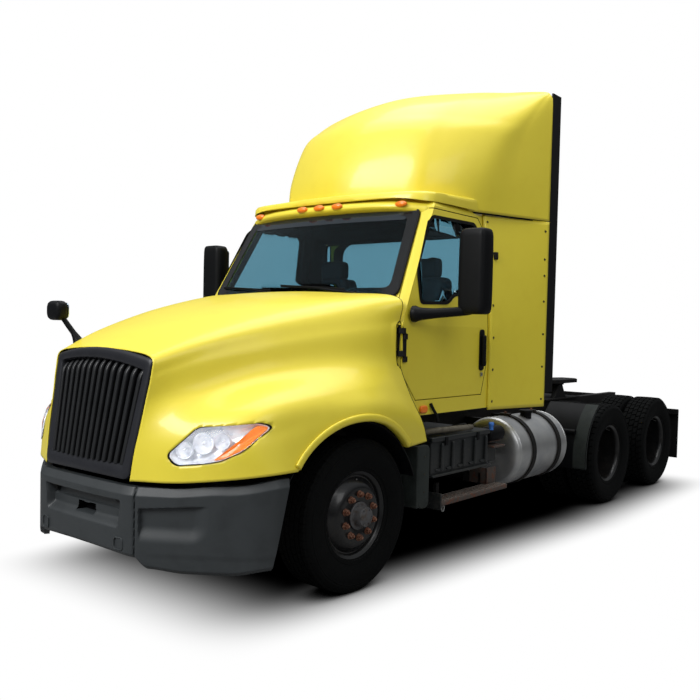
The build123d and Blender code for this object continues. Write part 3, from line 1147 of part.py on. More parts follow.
with BuildPart() as fifth_wheel_base:
    block(JAW_X - 420, JAW_X + 420, -(FRAME_HALF_W + 40), FRAME_HALF_W + 40, FRAME_TOP,
          FRAME_TOP + 14)
    for s in SIDES.values():
        side_prism(
            [(JAW_X - 140, FRAME_TOP + 10), (JAW_X - 45, TRUNNION_Z + 30),
             (JAW_X + 45, TRUNNION_Z + 30), (JAW_X + 140, FRAME_TOP + 10)],
            s * STAND_Y[0], s * STAND_Y[1])
        across(JAW_X, TRUNNION_Z, s * TRUNNION_Y[0], s * STAND_Y[1], TRUNNION_R)
save(fifth_wheel_base.part, "fifth_wheel_base")

# ---------------------------------------------------------------- hood mirror
HOOD_MIRROR_FOOT = (1000.0, -545.0, 1590.0)   # on the passenger's side only
with BuildPart() as hood_mirror:
    fx, fy, fz = HOOD_MIRROR_FOOT
    with BuildSketch(Plane(origin=(at(fx), fy, fz), z_dir=(60, -90, 190))) as stalk:
        Circle(16)
    extrude(stalk.sketch, amount=225)
    with Locations((at(fx + 70), fy - 105, fz + 215)):
        Box(95, 190, 150)
    hood_form(0, Mode.SUBTRACT)
save(hood_mirror.part, "hood_mirror")
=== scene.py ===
"""Highway tractor unit: the surfaces, finishes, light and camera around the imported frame.

Lengths are metres.  Each class works in the truck's own side view, with x measured from the
front axle, y to the driver's side and z up from the ground; Piece.build() shifts x to the frame.
A sub-assembly's class holds its sizes as fields, and its build() makes and dresses its pieces.
"""
import json
import logging
from dataclasses import dataclass, field
from enum import Enum
from functools import cached_property
from typing import Callable, Iterable, Sequence

import bpy
import numpy as np
from mathutils import Matrix, Vector
from mathutils.geometry import delaunay_2d_cdt


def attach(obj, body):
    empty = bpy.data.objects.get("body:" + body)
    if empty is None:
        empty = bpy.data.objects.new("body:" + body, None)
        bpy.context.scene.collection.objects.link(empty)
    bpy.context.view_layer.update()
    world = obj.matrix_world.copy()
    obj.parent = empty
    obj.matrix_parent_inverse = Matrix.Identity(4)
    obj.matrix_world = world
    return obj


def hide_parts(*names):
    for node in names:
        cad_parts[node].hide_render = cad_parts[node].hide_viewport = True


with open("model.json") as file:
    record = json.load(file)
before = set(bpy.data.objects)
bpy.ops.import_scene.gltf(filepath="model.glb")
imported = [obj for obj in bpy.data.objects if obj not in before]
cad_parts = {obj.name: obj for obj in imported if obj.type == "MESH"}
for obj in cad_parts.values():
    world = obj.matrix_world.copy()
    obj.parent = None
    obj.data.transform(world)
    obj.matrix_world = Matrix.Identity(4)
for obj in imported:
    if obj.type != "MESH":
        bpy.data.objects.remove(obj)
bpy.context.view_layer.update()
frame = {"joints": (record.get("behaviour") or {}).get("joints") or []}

logging.basicConfig(level=logging.INFO, format="%(message)s")
LOG = logging.getLogger("tractor")

Array = np.ndarray
Pair = tuple[float, float]
Triple = tuple[float, float, float]
Profile = Sequence[Sequence[float]]
Tree, Node, Socket = bpy.types.NodeTree, bpy.types.Node, bpy.types.NodeSocket
SIDES = {"left": 1.0, "right": -1.0}
JOINTS = {joint["name"]: joint for joint in frame["joints"]}
AXLE_X = JOINTS["steer_left"]["pos_m"][0]
WHEEL_Z = JOINTS["steer_left"]["pos_m"][2]


# ------------------------------------------------------------------ surfaces
@dataclass
class Surface:
    """A mesh fragment: points (n, 3) and faces as lists of indices."""

    points: Array
    faces: list

    def moved(self, offset: Sequence[float]) -> "Surface":
        """The same fragment shifted by offset."""
        return Surface(self.points + np.asarray(offset, float), self.faces)

    def mirrored(self) -> "Surface":
        """The fragment reflected across the centre plane, with its faces turned back out."""
        return Surface(self.points * np.array([1.0, -1.0, 1.0]),
                       [list(face)[::-1] for face in self.faces])

    def flipped(self) -> "Surface":
        """The fragment with its faces turned over."""
        return Surface(self.points, [list(face)[::-1] for face in self.faces])

    def on_side(self, side: float) -> "Surface":
        """The fragment on the left for +1, or mirrored to the right for -1."""
        return self if side > 0 else self.mirrored()


def joined(parts: Iterable[Surface]) -> Surface:
    """Several fragments as one.

    Args:
        parts: the fragments, in order.

    Returns:
        One fragment, its indices shifted to suit.
    """
    points, faces, start = [], [], 0
    for part in parts:
        points.append(part.points)
        faces.extend([[i + start for i in face] for face in part.faces])
        start += len(part.points)
    return Surface(np.vstack(points), faces)


def lattice(grid: Array, close_u: bool = False, close_v: bool = False) -> Surface:
    """Quads over a grid of points.

    Quad (i, j) joins grid points (i, j), (i+1, j), (i+1, j+1) and (i, j+1); a closed
    direction wraps its index.

    Args:
        grid: points of shape (nu, nv, 3).
        close_u: join the last row to the first.
        close_v: join the last column to the first.

    Returns:
        The fragment, facing the way u cross v points.
    """
    nu, nv = grid.shape[:2]
    index = np.arange(nu * nv).reshape(nu, nv)
    if close_u:
        index = np.vstack([index, index[:1]])
    if close_v:
        index = np.hstack([index, index[:, :1]])
    quads = np.stack([index[:-1, :-1], index[1:, :-1], index[1:, 1:], index[:-1, 1:]], -1)
    return Surface(grid.reshape(-1, 3), quads.reshape(-1, 4).tolist())


def faced(surface: Surface, direction: Sequence[float]) -> Surface:
    """The fragment turned so that its faces look along a direction on the whole.

    Args:
        surface: the fragment.
        direction: where its faces should look.

    Returns:
        The fragment, flipped if need be.
    """
    total = np.zeros(3)
    for face in surface.faces[:: max(1, len(surface.faces) // 400)]:
        a, b, c = surface.points[face[0]], surface.points[face[1]], surface.points[face[2]]
        total += np.cross(b - a, c - a)
    return surface if total @ np.asarray(direction) >= 0 else surface.flipped()


def outward(surface: Surface) -> Surface:
    """A closed fragment turned so that it encloses a positive volume.

    Args:
        surface: the closed fragment.

    Returns:
        The fragment, flipped if need be.
    """
    total = 0.0
    middle = surface.points.mean(0)
    for face in surface.faces:
        p = surface.points[face] - middle
        for i in range(1, len(face) - 1):
            total += float(np.dot(p[0], np.cross(p[i], p[i + 1])))
    return surface if total >= 0 else surface.flipped()


def smoothstep(value: Array, low: float, high: float) -> Array:
    """The cubic 3t^2 - 2t^3 of the clipped share of value between low and high."""
    t = np.clip((value - low) / (high - low), 0, 1)
    return t * t * (3 - 2 * t)


def smooth_curve(points: Profile, params: Array) -> Array:
    """Catmull-Rom curve through control points.

    Between two control points the cubic uses half the difference of their neighbours as
    tangents.

    Args:
        points: the control points, or rows of them.
        params: shares of the way, 0 at the first point and 1 at the last.

    Returns:
        One point, or one row, for each param.
    """
    control = np.asarray(points, float)
    count = len(control) - 1
    padded = np.concatenate([2 * control[:1] - control[1:2], control,
                             2 * control[-1:] - control[-2:-1]])
    span = np.clip(np.asarray(params) * count, 0, count - 1e-9)
    step = span.astype(int)
    f = (span - step).reshape(span.shape + (1,) * (control.ndim - 1))
    a, b, c, d = (padded[step + k] for k in range(4))
    return 0.5 * (2 * b + (c - a) * f + (2 * a - 5 * b + 4 * c - d) * f**2
                  + (3 * b - a - 3 * c + d) * f**3)


def both_halves(half: Array) -> Array:
    """A grid from the centre plane to the left, widened by its mirror image to the right."""
    return np.concatenate([(half * (1, -1, 1))[:, :0:-1], half], 1)


def across_centre(rails: Sequence[Profile]) -> list:
    """Rails from the centre outwards, led by the mirror image of the second one.

    The leading rail makes a curve across the rails level where it meets the centre plane.
    """
    return [[(x, -y, z) for x, y, z in rails[1]], *rails]


def rail_grid(rails: Sequence[Profile], along: Array, across: Array) -> Array:
    """A surface through rails: each rail is a smooth curve, and so is each line across them."""
    rows = np.stack([smooth_curve(rail, along) for rail in rails])
    return smooth_curve(rows, across).transpose(1, 0, 2)


def arc(centre: Sequence[float], radius: float, start: float, end: float, count: int) -> Array:
    """Points (n, 2) on a circle from start to end degrees, counter-clockwise when end > start."""
    angle = np.radians(np.linspace(start, end, count))
    return np.stack([centre[0] + radius * np.cos(angle), centre[1] + radius * np.sin(angle)], -1)


def turns(count: int) -> Array:
    """Angles evenly spaced round a circle, in radians."""
    return np.linspace(0, 2 * np.pi, count, endpoint=False)


def closed_line(loop: Array) -> Array:
    """A loop's points with the first one again at the end."""
    return np.concatenate([loop, loop[:1]])


def rounded(outline: Profile, radius: float, steps: int = 6) -> Array:
    """A closed outline (n, 2) with each corner replaced by a quadratic arc.

    The arc starts and ends at radius from the corner, or at 45% of the shorter side, and
    follows (1-t)^2 A + 2 t (1-t) corner + t^2 B.

    Args:
        outline: the corners, in order.
        radius: where each arc starts, from its corner.
        steps: points on each arc.

    Returns:
        The rounded outline.
    """
    corner = np.asarray(outline, float)
    before, after = np.roll(corner, 1, 0) - corner, np.roll(corner, -1, 0) - corner
    reach_a = np.linalg.norm(before, axis=1, keepdims=True)
    reach_b = np.linalg.norm(after, axis=1, keepdims=True)
    cut = np.minimum(radius, 0.45 * np.minimum(reach_a, reach_b))
    first, last = corner + before / reach_a * cut, corner + after / reach_b * cut
    t = np.linspace(0, 1, steps)[None, :, None]
    bend = ((1 - t) ** 2 * first[:, None] + 2 * t * (1 - t) * corner[:, None]
            + t**2 * last[:, None])
    return bend.reshape(-1, 2)


class Plane(Enum):
    """The plane an outline is drawn on: which two axes it uses, and which one is its depth."""

    SIDE = (0, 2, 1)
    FRONT = (1, 2, 0)
    PLAN = (0, 1, 2)


def slab(outline: Array, low: float, high: float, plane: Plane) -> Surface:
    """An outline extruded between two depths, with flat ends.

    Args:
        outline: points (n, 2), in either order.
        low: one depth.
        high: the other depth.
        plane: the plane the outline is drawn on.

    Returns:
        A closed fragment that faces outwards.
    """
    flat = np.asarray(outline, float)
    a, b, depth = plane.value
    n = len(flat)
    points = np.zeros((2 * n, 3))
    for k, level in enumerate((min(low, high), max(low, high))):
        points[k * n:(k + 1) * n, a] = flat[:, 0]
        points[k * n:(k + 1) * n, b] = flat[:, 1]
        points[k * n:(k + 1) * n, depth] = level
    ring = np.arange(n)
    following = np.roll(ring, -1)
    faces = np.stack([ring, following, following + n, ring + n], -1).tolist()
    faces += [ring[::-1].tolist(), (ring + n).tolist()]
    x, y = flat[:, 0], flat[:, 1]
    area = np.sum(x * np.roll(y, -1) - np.roll(x, -1) * y)
    surface = Surface(points, faces)
    turned = plane is Plane.SIDE
    return surface.flipped() if (area < 0) != turned else surface


def spun(profile: Profile, centre: Sequence[float], axis: int = 1,
         count: int = 64, closed: bool = False, sign: float = 1.0) -> Surface:
    """A profile of (radius, distance along the axis) turned about an axis.

    Point (i, j) is the centre plus radius_j * (cos a_i, sin a_i) in the plane across the
    axis, plus distance_j along it.

    Args:
        profile: radius and distance pairs, in order.
        centre: a point on the axis.
        axis: 0, 1 or 2 for X, Y or Z.
        count: steps round the axis.
        closed: join the profile's last point to its first.
        sign: +1, or -1 to lay the distances the other way.

    Returns:
        The turned fragment.
    """
    r, w = np.asarray(profile, float).T
    angle = turns(count)[:, None]
    grid = np.zeros((count, len(r), 3))
    first, second = [k for k in range(3) if k != axis]
    grid[..., first], grid[..., second] = r * np.cos(angle), r * np.sin(angle)
    grid[..., axis] = sign * w
    surface = lattice(grid + np.asarray(centre, float), close_u=True, close_v=closed)
    return surface.flipped() if (axis == 1) != (sign < 0) else surface


def turned(profile: Profile, centre: Array, axes: Sequence[Array], count: int,
           closed: bool = False) -> Surface:
    """A profile of (radius r, distance d) turned about a free axis.

    Point (i, j) is centre + r_j (cos a_i u + sin a_i v) + d_j w.

    Args:
        profile: radius and distance pairs, in order.
        centre: the point where the distance is 0.
        axes: the directions u and v across the axis, and w along it.
        count: steps round the axis.
        closed: join the profile's last point to its first.

    Returns:
        The turned fragment.
    """
    u, v, w = axes
    angle = turns(count)[:, None]
    r, d = np.array(profile, float).T
    grid = (centre + (r * np.cos(angle))[..., None] * u + (r * np.sin(angle))[..., None] * v
            + d[None, :, None] * w)
    return lattice(grid, close_u=True, close_v=closed)


def tube(path: Array, radius: float | Array, sides: int = 12, caps: bool = True) -> Surface:
    """A round tube along a path.

    Each ring is the path point plus radius times (cos a) n + (sin a) b, where n is the part
    of a fixed reference across the path's tangent and b completes the frame.

    Args:
        path: points (n, 3).
        radius: one radius, or one for each point.
        sides: points round the tube.
        caps: close both ends.

    Returns:
        The tube, facing outwards.
    """
    line = np.asarray(path, float)
    tangent = np.gradient(line, axis=0)
    tangent /= np.linalg.norm(tangent, axis=1, keepdims=True)
    reference = np.eye(3)[int(np.argmin(np.abs(tangent).mean(0)))]
    normal = reference - tangent * (tangent @ reference)[:, None]
    normal /= np.linalg.norm(normal, axis=1, keepdims=True)
    binormal = np.cross(tangent, normal)
    angle = turns(sides)
    reach = np.broadcast_to(np.asarray(radius, float), (len(line),))[:, None, None]
    grid = (line[:, None] + reach * (np.cos(angle)[None, :, None] * normal[:, None]
                                     + np.sin(angle)[None, :, None] * binormal[:, None]))
    surface = lattice(grid, close_v=True).flipped()
    if caps:
        last = (len(line) - 1) * sides
        surface.faces += [list(range(sides))[::-1], [last + i for i in range(sides)]]
    return surface


def inside(points: Array, outline: Array) -> Array:
    """Which points (n, 2) lie inside a closed outline, by counting edges crossed to the right.

    Args:
        points: the points to test.
        outline: the corners (m, 2), in order.

    Returns:
        One flag for each point.
    """
    x, y = points[:, 0:1], points[:, 1:2]
    ax, ay = outline[:, 0], outline[:, 1]
    bx, by = np.roll(ax, -1), np.roll(ay, -1)
    straddles = (ay > y) != (by > y)
    slope = (bx - ax) / np.where(by == ay, 1e-12, by - ay)
    crossed = straddles & (x < ax + slope * (y - ay))
    return crossed.sum(1) % 2 == 1


def within(points: Array, loops: Sequence[Array]) -> Array:
    """Which points (n, 2) lie inside the first loop and outside the others.

    Args:
        points: the points to test.
        loops: closed outlines; the first is the outer one.

    Returns:
        One flag for each point.
    """
    keep = inside(points, loops[0])
    for hole in loops[1:]:
        keep &= ~inside(points, hole)
    return keep


def panel(outline: Array, holes: Sequence[Array], lift: Callable[[Array], Array],
          spacing: float) -> Surface:
    """A sheet with holes, laid flat as triangles and lifted onto a curved surface.

    A square grid of points at the given spacing fills the outline outside the holes; the
    constrained Delaunay triangles whose centres lie in that region are kept.

    Args:
        outline: the sheet's edge (n, 2).
        holes: edges of its holes.
        lift: maps flat points (n, 2) to points in space (n, 3).
        spacing: distance between inner points.

    Returns:
        The lifted fragment.
    """
    loops = [densified(loop, spacing) for loop in (outline, *holes)]
    low, high = loops[0].min(0), loops[0].max(0)
    gx, gy = np.meshgrid(np.arange(low[0], high[0], spacing), np.arange(low[1], high[1], spacing))
    inner = np.stack([gx.ravel(), gy.ravel()], -1) + 0.37 * spacing
    inner = inner[within(inner, loops)]
    edge_points = np.vstack(loops)
    near = np.min(np.linalg.norm(inner[:, None] - edge_points[None], axis=2), axis=1)
    inner = inner[near > 0.4 * spacing]
    points = [Vector(p) for p in np.vstack([edge_points, inner])]
    edges, start = [], 0
    for loop in loops:
        ring = np.arange(len(loop)) + start
        edges += np.stack([ring, np.roll(ring, -1)], -1).tolist()
        start += len(loop)
    found, _, faces, *_ = delaunay_2d_cdt(points, edges, [], 0, 1e-6)
    flat = np.array([tuple(p) for p in found])
    keep = within(flat[np.array(faces)].mean(1), loops)
    return Surface(lift(flat), [face for face, good in zip(faces, keep) if good])


def densified(loop: Array, spacing: float) -> Array:
    """A closed outline with points added so that no side is longer than the spacing.

    Args:
        loop: the corners (n, 2), in order.
        spacing: the longest side wanted.

    Returns:
        The points (m, 2).
    """
    parts = []
    for a, b in zip(loop, np.roll(loop, -1, 0)):
        steps = max(1, int(np.ceil(np.linalg.norm(b - a) / spacing)))
        parts.append(a + (b - a) * np.linspace(0, 1, steps, endpoint=False)[:, None])
    return np.vstack(parts)


def pebble(outline: Array, low: float, high: float, plane: Plane, edge: float,
           steps: int = 5) -> Surface:
    """An outline extruded between two depths with rounded rims.

    Ring k of each rim lies at depth edge (1 - sin a) from the end and is drawn in by
    edge (1 - cos a), as a share of the outline's own half size, for a from 0 to 90 degrees.

    Args:
        outline: points (n, 2), in either order.
        low: one depth.
        high: the other depth.
        plane: the plane the outline is drawn on.
        edge: radius of the rims.
        steps: rings on each rim.

    Returns:
        A closed fragment that faces outwards.
    """
    flat = np.asarray(outline, float)
    middle = (flat.max(0) + flat.min(0)) / 2
    half = (flat.max(0) - flat.min(0)) / 2
    low, high = min(low, high), max(low, high)
    a, b, depth = plane.value
    angle = np.radians(np.linspace(0, 90, steps))
    pull, level = edge * (1 - np.cos(angle)), edge * (1 - np.sin(angle))
    rows = []
    for cut, at in [*zip(pull[::-1], low + level[::-1]), *zip(pull, high - level)]:
        ring = np.zeros((len(flat), 3))
        ring[:, [a, b]] = middle + (flat - middle) * (1 - cut / half)
        ring[:, depth] = at
        rows.append(ring)
    surface = lattice(np.stack(rows), close_v=True)
    n, last = len(flat), (len(rows) - 1) * len(flat)
    surface.faces += [list(range(n)), [last + i for i in range(n)][::-1]]
    x, y = flat[:, 0], flat[:, 1]
    area = np.sum(x * np.roll(y, -1) - np.roll(x, -1) * y)
    return surface if (area < 0) != (plane is Plane.SIDE) else surface.flipped()


def soft_box(low: Sequence[float], high: Sequence[float], edge: float,
             plane: Plane = Plane.PLAN, corner: float | None = None) -> Surface:
    """A box with rounded corners and rims.

    Args:
        low: one corner.
        high: the opposite corner.
        edge: radius of the rims.
        plane: the plane whose outline has the rounded corners.
        corner: their radius, or None for one that follows the rims.

    Returns:
        A closed fragment that faces outwards.
    """
    a, b, depth = plane.value
    outline = [(low[a], low[b]), (high[a], low[b]), (high[a], high[b]), (low[a], high[b])]
    flat = rounded(outline, edge if corner is None else corner)
    return pebble(flat, low[depth], high[depth], plane, edge)


def bolt(place: Sequence[float], axis: Sequence[float], radius: float, height: float,
         washer: float = 0.0) -> Surface:
    """A hexagon bolt head on its washer, facing along an axis.

    Args:
        place: centre of its foot.
        axis: where it points.
        radius: radius of the hexagon.
        height: height of the head.
        washer: radius of the washer, or 0 for none.

    Returns:
        The fragment.
    """
    w = np.asarray(axis, float) / np.linalg.norm(axis)
    u = np.cross(w, (0, 0, 1.0) if abs(w[2]) < 0.9 else (1.0, 0, 0))
    u /= np.linalg.norm(u)
    v = np.cross(w, u)
    parts = []
    for sides, profile in ((24, ((washer, 0), (washer, .18 * height), (0, .18 * height))),
                           (6, ((radius, .18 * height), (radius, .9 * height),
                                (.82 * radius, height), (0, height)))):
        if profile[0][0] <= 0:
            continue
        parts.append(turned(profile, np.asarray(place, float), (u, v, w), sides))
    return joined(parts)


# ------------------------------------------------------------------ shader groups
FLOAT = "NodeSocketFloat"


class Effect(Enum):
    """The shader groups that finishes share."""

    EDGE_WEAR = "edge_wear"
    ROAD_DUST = "road_dust"
    GRAIN = "grain"


def new_group(name: str, inputs: dict, outputs: dict) -> tuple:
    """A shader node group with float, colour or vector sockets.

    Args:
        name: the group's name.
        inputs: socket name to (kind, default).
        outputs: socket name to kind.

    Returns:
        The group, its input node and its output node.
    """
    group = bpy.data.node_groups.new(name, "ShaderNodeTree")
    for label, (kind, value) in inputs.items():
        socket = group.interface.new_socket(label, in_out="INPUT", socket_type=kind)
        if value is not None:
            socket.default_value = value
    for label, kind in outputs.items():
        group.interface.new_socket(label, in_out="OUTPUT", socket_type=kind)
    return group, group.nodes.new("NodeGroupInput"), group.nodes.new("NodeGroupOutput")


def node(tree: Tree, kind: str, **settings: object) -> Node:
    """A node with its plain settings made.

    Args:
        tree: where the node goes.
        kind: the node's type name.
        settings: attributes by name.

    Returns:
        The new node.
    """
    made = tree.nodes.new(kind)
    for key, value in settings.items():
        setattr(made, key, value)
    return made


def math(tree: Tree, operation: str, *values: Socket | float) -> Socket:
    """A Math node fed by sockets or numbers; returns its output socket.

    Args:
        tree: where the node goes.
        operation: what it works out.
        values: its inputs, in order.

    Returns:
        Its output.
    """
    made = node(tree, "ShaderNodeMath", operation=operation)
    for slot_index, value in enumerate(values):
        if isinstance(value, Socket):
            tree.links.new(value, made.inputs[slot_index])
        else:
            made.inputs[slot_index].default_value = value
    return made.outputs[0]


def ramp(tree: Tree, source: Socket, low: float, high: float) -> Socket:
    """A smooth 0 to 1 step of a value between low and high.

    Args:
        tree: where the node goes.
        source: the value.
        low: where the step starts.
        high: where it ends.

    Returns:
        Its output.
    """
    made = node(tree, "ShaderNodeMapRange", interpolation_type="SMOOTHSTEP")
    tree.links.new(source, made.inputs["Value"])
    made.inputs["From Min"].default_value = low
    made.inputs["From Max"].default_value = high
    return made.outputs["Result"]


def noise(tree: Tree, coordinates: Socket, scale: Socket | float, detail: float = 3,
          roughness: float = 0.55) -> Socket:
    """A noise texture's value on the given coordinates; scale is a number or a socket.

    Args:
        tree: where the node goes.
        coordinates: where it is read.
        scale: how fine it is.
        detail: its octaves.
        roughness: how strong the finer ones are.

    Returns:
        Its value.
    """
    made = node(tree, "ShaderNodeTexNoise")
    tree.links.new(coordinates, made.inputs["Vector"])
    if isinstance(scale, Socket):
        tree.links.new(scale, made.inputs["Scale"])
    else:
        made.inputs["Scale"].default_value = scale
    made.inputs["Detail"].default_value = detail
    made.inputs["Roughness"].default_value = roughness
    return made.outputs["Fac"]


def edge_wear_group() -> Tree:
    """Mask of worn edges: the surface's pointiness, broken up by noise.

    Returns:
        The group.
    """
    group, given, result = new_group(
        Effect.EDGE_WEAR.value, {"Amount": (FLOAT, 0.5), "Scale": (FLOAT, 30.0)}, {"Mask": FLOAT})
    place = node(group, "ShaderNodeTexCoord").outputs["Object"]
    point = node(group, "ShaderNodeNewGeometry").outputs["Pointiness"]
    edge = ramp(group, point, 0.52, 0.6)
    broken = ramp(group, noise(group, place, given.outputs["Scale"], 5), 0.42, 0.62)
    mask = math(group, "MULTIPLY", math(group, "MULTIPLY", edge, broken), given.outputs["Amount"])
    group.links.new(mask, result.inputs["Mask"])
    return group


def road_dust_group() -> Tree:
    """Mask of road dust: strong near the ground, in soft patches.

    mask = (1 - step(z / Top)) step(slow noise) step(fine noise) Amount.

    Returns:
        The group.
    """
    group, given, result = new_group(
        Effect.ROAD_DUST.value,
        {"Amount": (FLOAT, 0.3), "Top": (FLOAT, 1.4), "Patch": (FLOAT, 3.0)}, {"Mask": FLOAT})
    coordinates = node(group, "ShaderNodeTexCoord").outputs["Object"]
    split = node(group, "ShaderNodeSeparateXYZ")
    group.links.new(coordinates, split.inputs[0])
    height = math(group, "DIVIDE", split.outputs["Z"], given.outputs["Top"])
    low = math(group, "SUBTRACT", 1.0, ramp(group, height, 0.0, 1.0))
    patch = ramp(group, noise(group, coordinates, given.outputs["Patch"], 6, 0.65), 0.3, 0.75)
    fine = ramp(group, noise(group, coordinates, 60.0, 3), 0.3, 0.8)
    mask = math(group, "MULTIPLY", math(group, "MULTIPLY", low, patch), fine)
    mask = math(group, "MULTIPLY", mask, given.outputs["Amount"])
    group.links.new(mask, result.inputs["Mask"])
    return group


def grain_group() -> Tree:
    """Height of a moulded or cast grain: fine cells over a slow unevenness.

    Returns:
        The group.
    """
    group, given, result = new_group(
        Effect.GRAIN.value,
        {"Scale": (FLOAT, 300.0), "Slow": (FLOAT, 4.0), "Slow Share": (FLOAT, 0.3)},
        {"Height": FLOAT})
    coordinates = node(group, "ShaderNodeTexCoord").outputs["Object"]
    fine = noise(group, coordinates, given.outputs["Scale"], 2)
    slow = noise(group, coordinates, given.outputs["Slow"], 2)
    total = math(group, "ADD", fine, math(group, "MULTIPLY", slow, given.outputs["Slow Share"]))
    group.links.new(total, result.inputs["Height"])
    return group


GROUP_MAKERS = {Effect.EDGE_WEAR: edge_wear_group, Effect.ROAD_DUST: road_dust_group,
                Effect.GRAIN: grain_group}
GROUPS: dict[Effect, Tree] = {}


def group_node(tree: Tree, effect: Effect, **values: float | Triple) -> Node:
    """A placed shader group, built on first use, with its inputs set.

    Args:
        tree: where the group goes.
        effect: which group.
        values: its inputs by name.

    Returns:
        The placed group.
    """
    if effect not in GROUPS:
        GROUPS[effect] = GROUP_MAKERS[effect]()
    made = node(tree, "ShaderNodeGroup", node_tree=GROUPS[effect])
    for label, value in values.items():
        made.inputs[label.replace("_", " ")].default_value = value
    return made


# ------------------------------------------------------------------ finishes
def linear(red: int, green: int, blue: int) -> Triple:
    """A screen colour, 0 to 255, as linear light."""
    c = np.array([red, green, blue]) / 255.0
    return tuple(np.where(c <= 0.04045, c / 12.92, ((c + 0.055) / 1.055) ** 2.4).tolist())


@dataclass(frozen=True)
class Finish:
    """A surface finish: base colour and gloss, with grain, dust and edge wear laid over it."""

    name: str
    colour: Triple
    roughness: float = 0.5
    metallic: float = 0.0
    coat: float = 0.0
    coat_roughness: float = 0.12
    second: Triple | None = None
    second_scale: float = 8.0
    second_range: Pair = (0.45, 0.75)
    grain: float = 0.0
    grain_scale: float = 300.0
    slow_share: float = 0.3
    dust: float = 0.0
    dust_top: float = 1.4
    dust_colour: Triple = (0.3, 0.26, 0.21)
    wear: float = 0.0
    wear_colour: Triple = (0.35, 0.33, 0.3)
    roughness_swing: float = 0.12
    transmission: float = 0.0
    ior: float = 1.5
    specular: float = 0.5

    def material(self) -> bpy.types.Material:
        """The finish as a node material, built once.

        Returns:
            The material, shared by every piece in this finish.
        """
        if self.name in bpy.data.materials:
            return bpy.data.materials[self.name]
        made = bpy.data.materials.new(self.name)
        made.use_nodes = True
        tree = made.node_tree
        shader = tree.nodes["Principled BSDF"]
        made.diffuse_color = (*self.colour, 1)
        shader.inputs["Metallic"].default_value = self.metallic
        shader.inputs["IOR"].default_value = self.ior
        shader.inputs["Coat Weight"].default_value = self.coat
        shader.inputs["Specular IOR Level"].default_value = self.specular
        shader.inputs["Coat Roughness"].default_value = self.coat_roughness
        shader.inputs["Transmission Weight"].default_value = self.transmission
        tree.links.new(self._colour_socket(tree), shader.inputs["Base Color"])
        tree.links.new(self._roughness_socket(tree), shader.inputs["Roughness"])
        if self.grain:
            height = group_node(tree, Effect.GRAIN, Scale=self.grain_scale,
                                Slow_Share=self.slow_share).outputs["Height"]
            bump = node(tree, "ShaderNodeBump")
            bump.inputs["Strength"].default_value = 1.0
            bump.inputs["Distance"].default_value = self.grain
            tree.links.new(height, bump.inputs["Height"])
            tree.links.new(bump.outputs["Normal"], shader.inputs["Normal"])
        return made

    def _mix(self, tree: Tree, mask: Socket, under: Socket | Triple,
             over: Triple) -> Socket:
        """One colour laid over another where the mask is 1.

        Args:
            tree: the material's nodes.
            mask: 0 to 1.
            under: the lower colour.
            over: the upper colour.

        Returns:
            The mixed colour.
        """
        made = node(tree, "ShaderNodeMix", data_type="RGBA")
        tree.links.new(mask, made.inputs[0])
        if isinstance(under, Socket):
            tree.links.new(under, made.inputs[6])
        else:
            made.inputs[6].default_value = (*under, 1)
        made.inputs[7].default_value = (*over, 1)
        return made.outputs[2]

    def _colour_socket(self, tree: Tree) -> Socket:
        """Base colour, its second tone, then dust, then wear.

        Args:
            tree: the material's nodes.

        Returns:
            The colour.
        """
        place = node(tree, "ShaderNodeTexCoord").outputs["Object"]
        tone = self.second or tuple(0.93 * c for c in self.colour)
        patch = ramp(tree, noise(tree, place, self.second_scale, 5), *self.second_range)
        colour = self._mix(tree, patch, self.colour, tone)
        if self.dust:
            dust = group_node(tree, Effect.ROAD_DUST, Amount=self.dust, Top=self.dust_top)
            colour = self._mix(tree, dust.outputs["Mask"], colour, self.dust_colour)
        if self.wear:
            worn = group_node(tree, Effect.EDGE_WEAR, Amount=self.wear)
            colour = self._mix(tree, worn.outputs["Mask"], colour, self.wear_colour)
        return colour

    def _roughness_socket(self, tree: Tree) -> Socket:
        """Roughness that drifts slowly about its value, and rises with dust.

        Args:
            tree: the material's nodes.

        Returns:
            The roughness.
        """
        place = node(tree, "ShaderNodeTexCoord").outputs["Object"]
        drift = math(tree, "SUBTRACT", noise(tree, place, 6.0, 4), 0.5)
        value = math(tree, "MULTIPLY_ADD", drift, self.roughness_swing, self.roughness)
        if self.dust:
            dust = group_node(tree, Effect.ROAD_DUST, Amount=self.dust, Top=self.dust_top)
            value = math(tree, "MULTIPLY_ADD", dust.outputs["Mask"], 0.4, value)
        return math(tree, "MINIMUM", math(tree, "MAXIMUM", value, 0.0), 1.0)


YELLOW = Finish("lemon_gloss_paint", linear(238, 219, 62), roughness=0.42, coat=0.3,
                second=linear(236, 216, 60), grain=0.00012, grain_scale=220, slow_share=6.0,
                dust=0.1, dust_top=1.3, dust_colour=(0.36, 0.33, 0.2), roughness_swing=0.05)
BLACK_PLASTIC = Finish("black_satin_plastic", linear(13, 14, 16), roughness=0.46, grain=0.0003,
                       grain_scale=500, second=linear(15, 16, 18), specular=0.14)
GRILLE_GREY = Finish("grille_satin_grey", linear(32, 33, 38), roughness=0.42, grain=0.0002,
                     grain_scale=600, second=linear(27, 28, 33), specular=0.35)
SLAT_BLACK = Finish("slat_black", linear(26, 27, 29), roughness=0.4, second=linear(21, 22, 24),
                    specular=0.4)
# Near-black, matt and without reflection: painted shade for openings, gaps and the space behind the
# grille and bumper.
PAINTED_SHADE_BLACK = Finish("deep_shade", linear(6, 6, 7), roughness=0.9, specular=0.05)
TYRE = Finish("tyre_black", linear(11, 12, 12), roughness=0.8, grain=0.0006, grain_scale=260,
              dust=0.06, dust_top=1.2, dust_colour=linear(36, 35, 32), second=linear(8, 9, 9),
              specular=0.1)
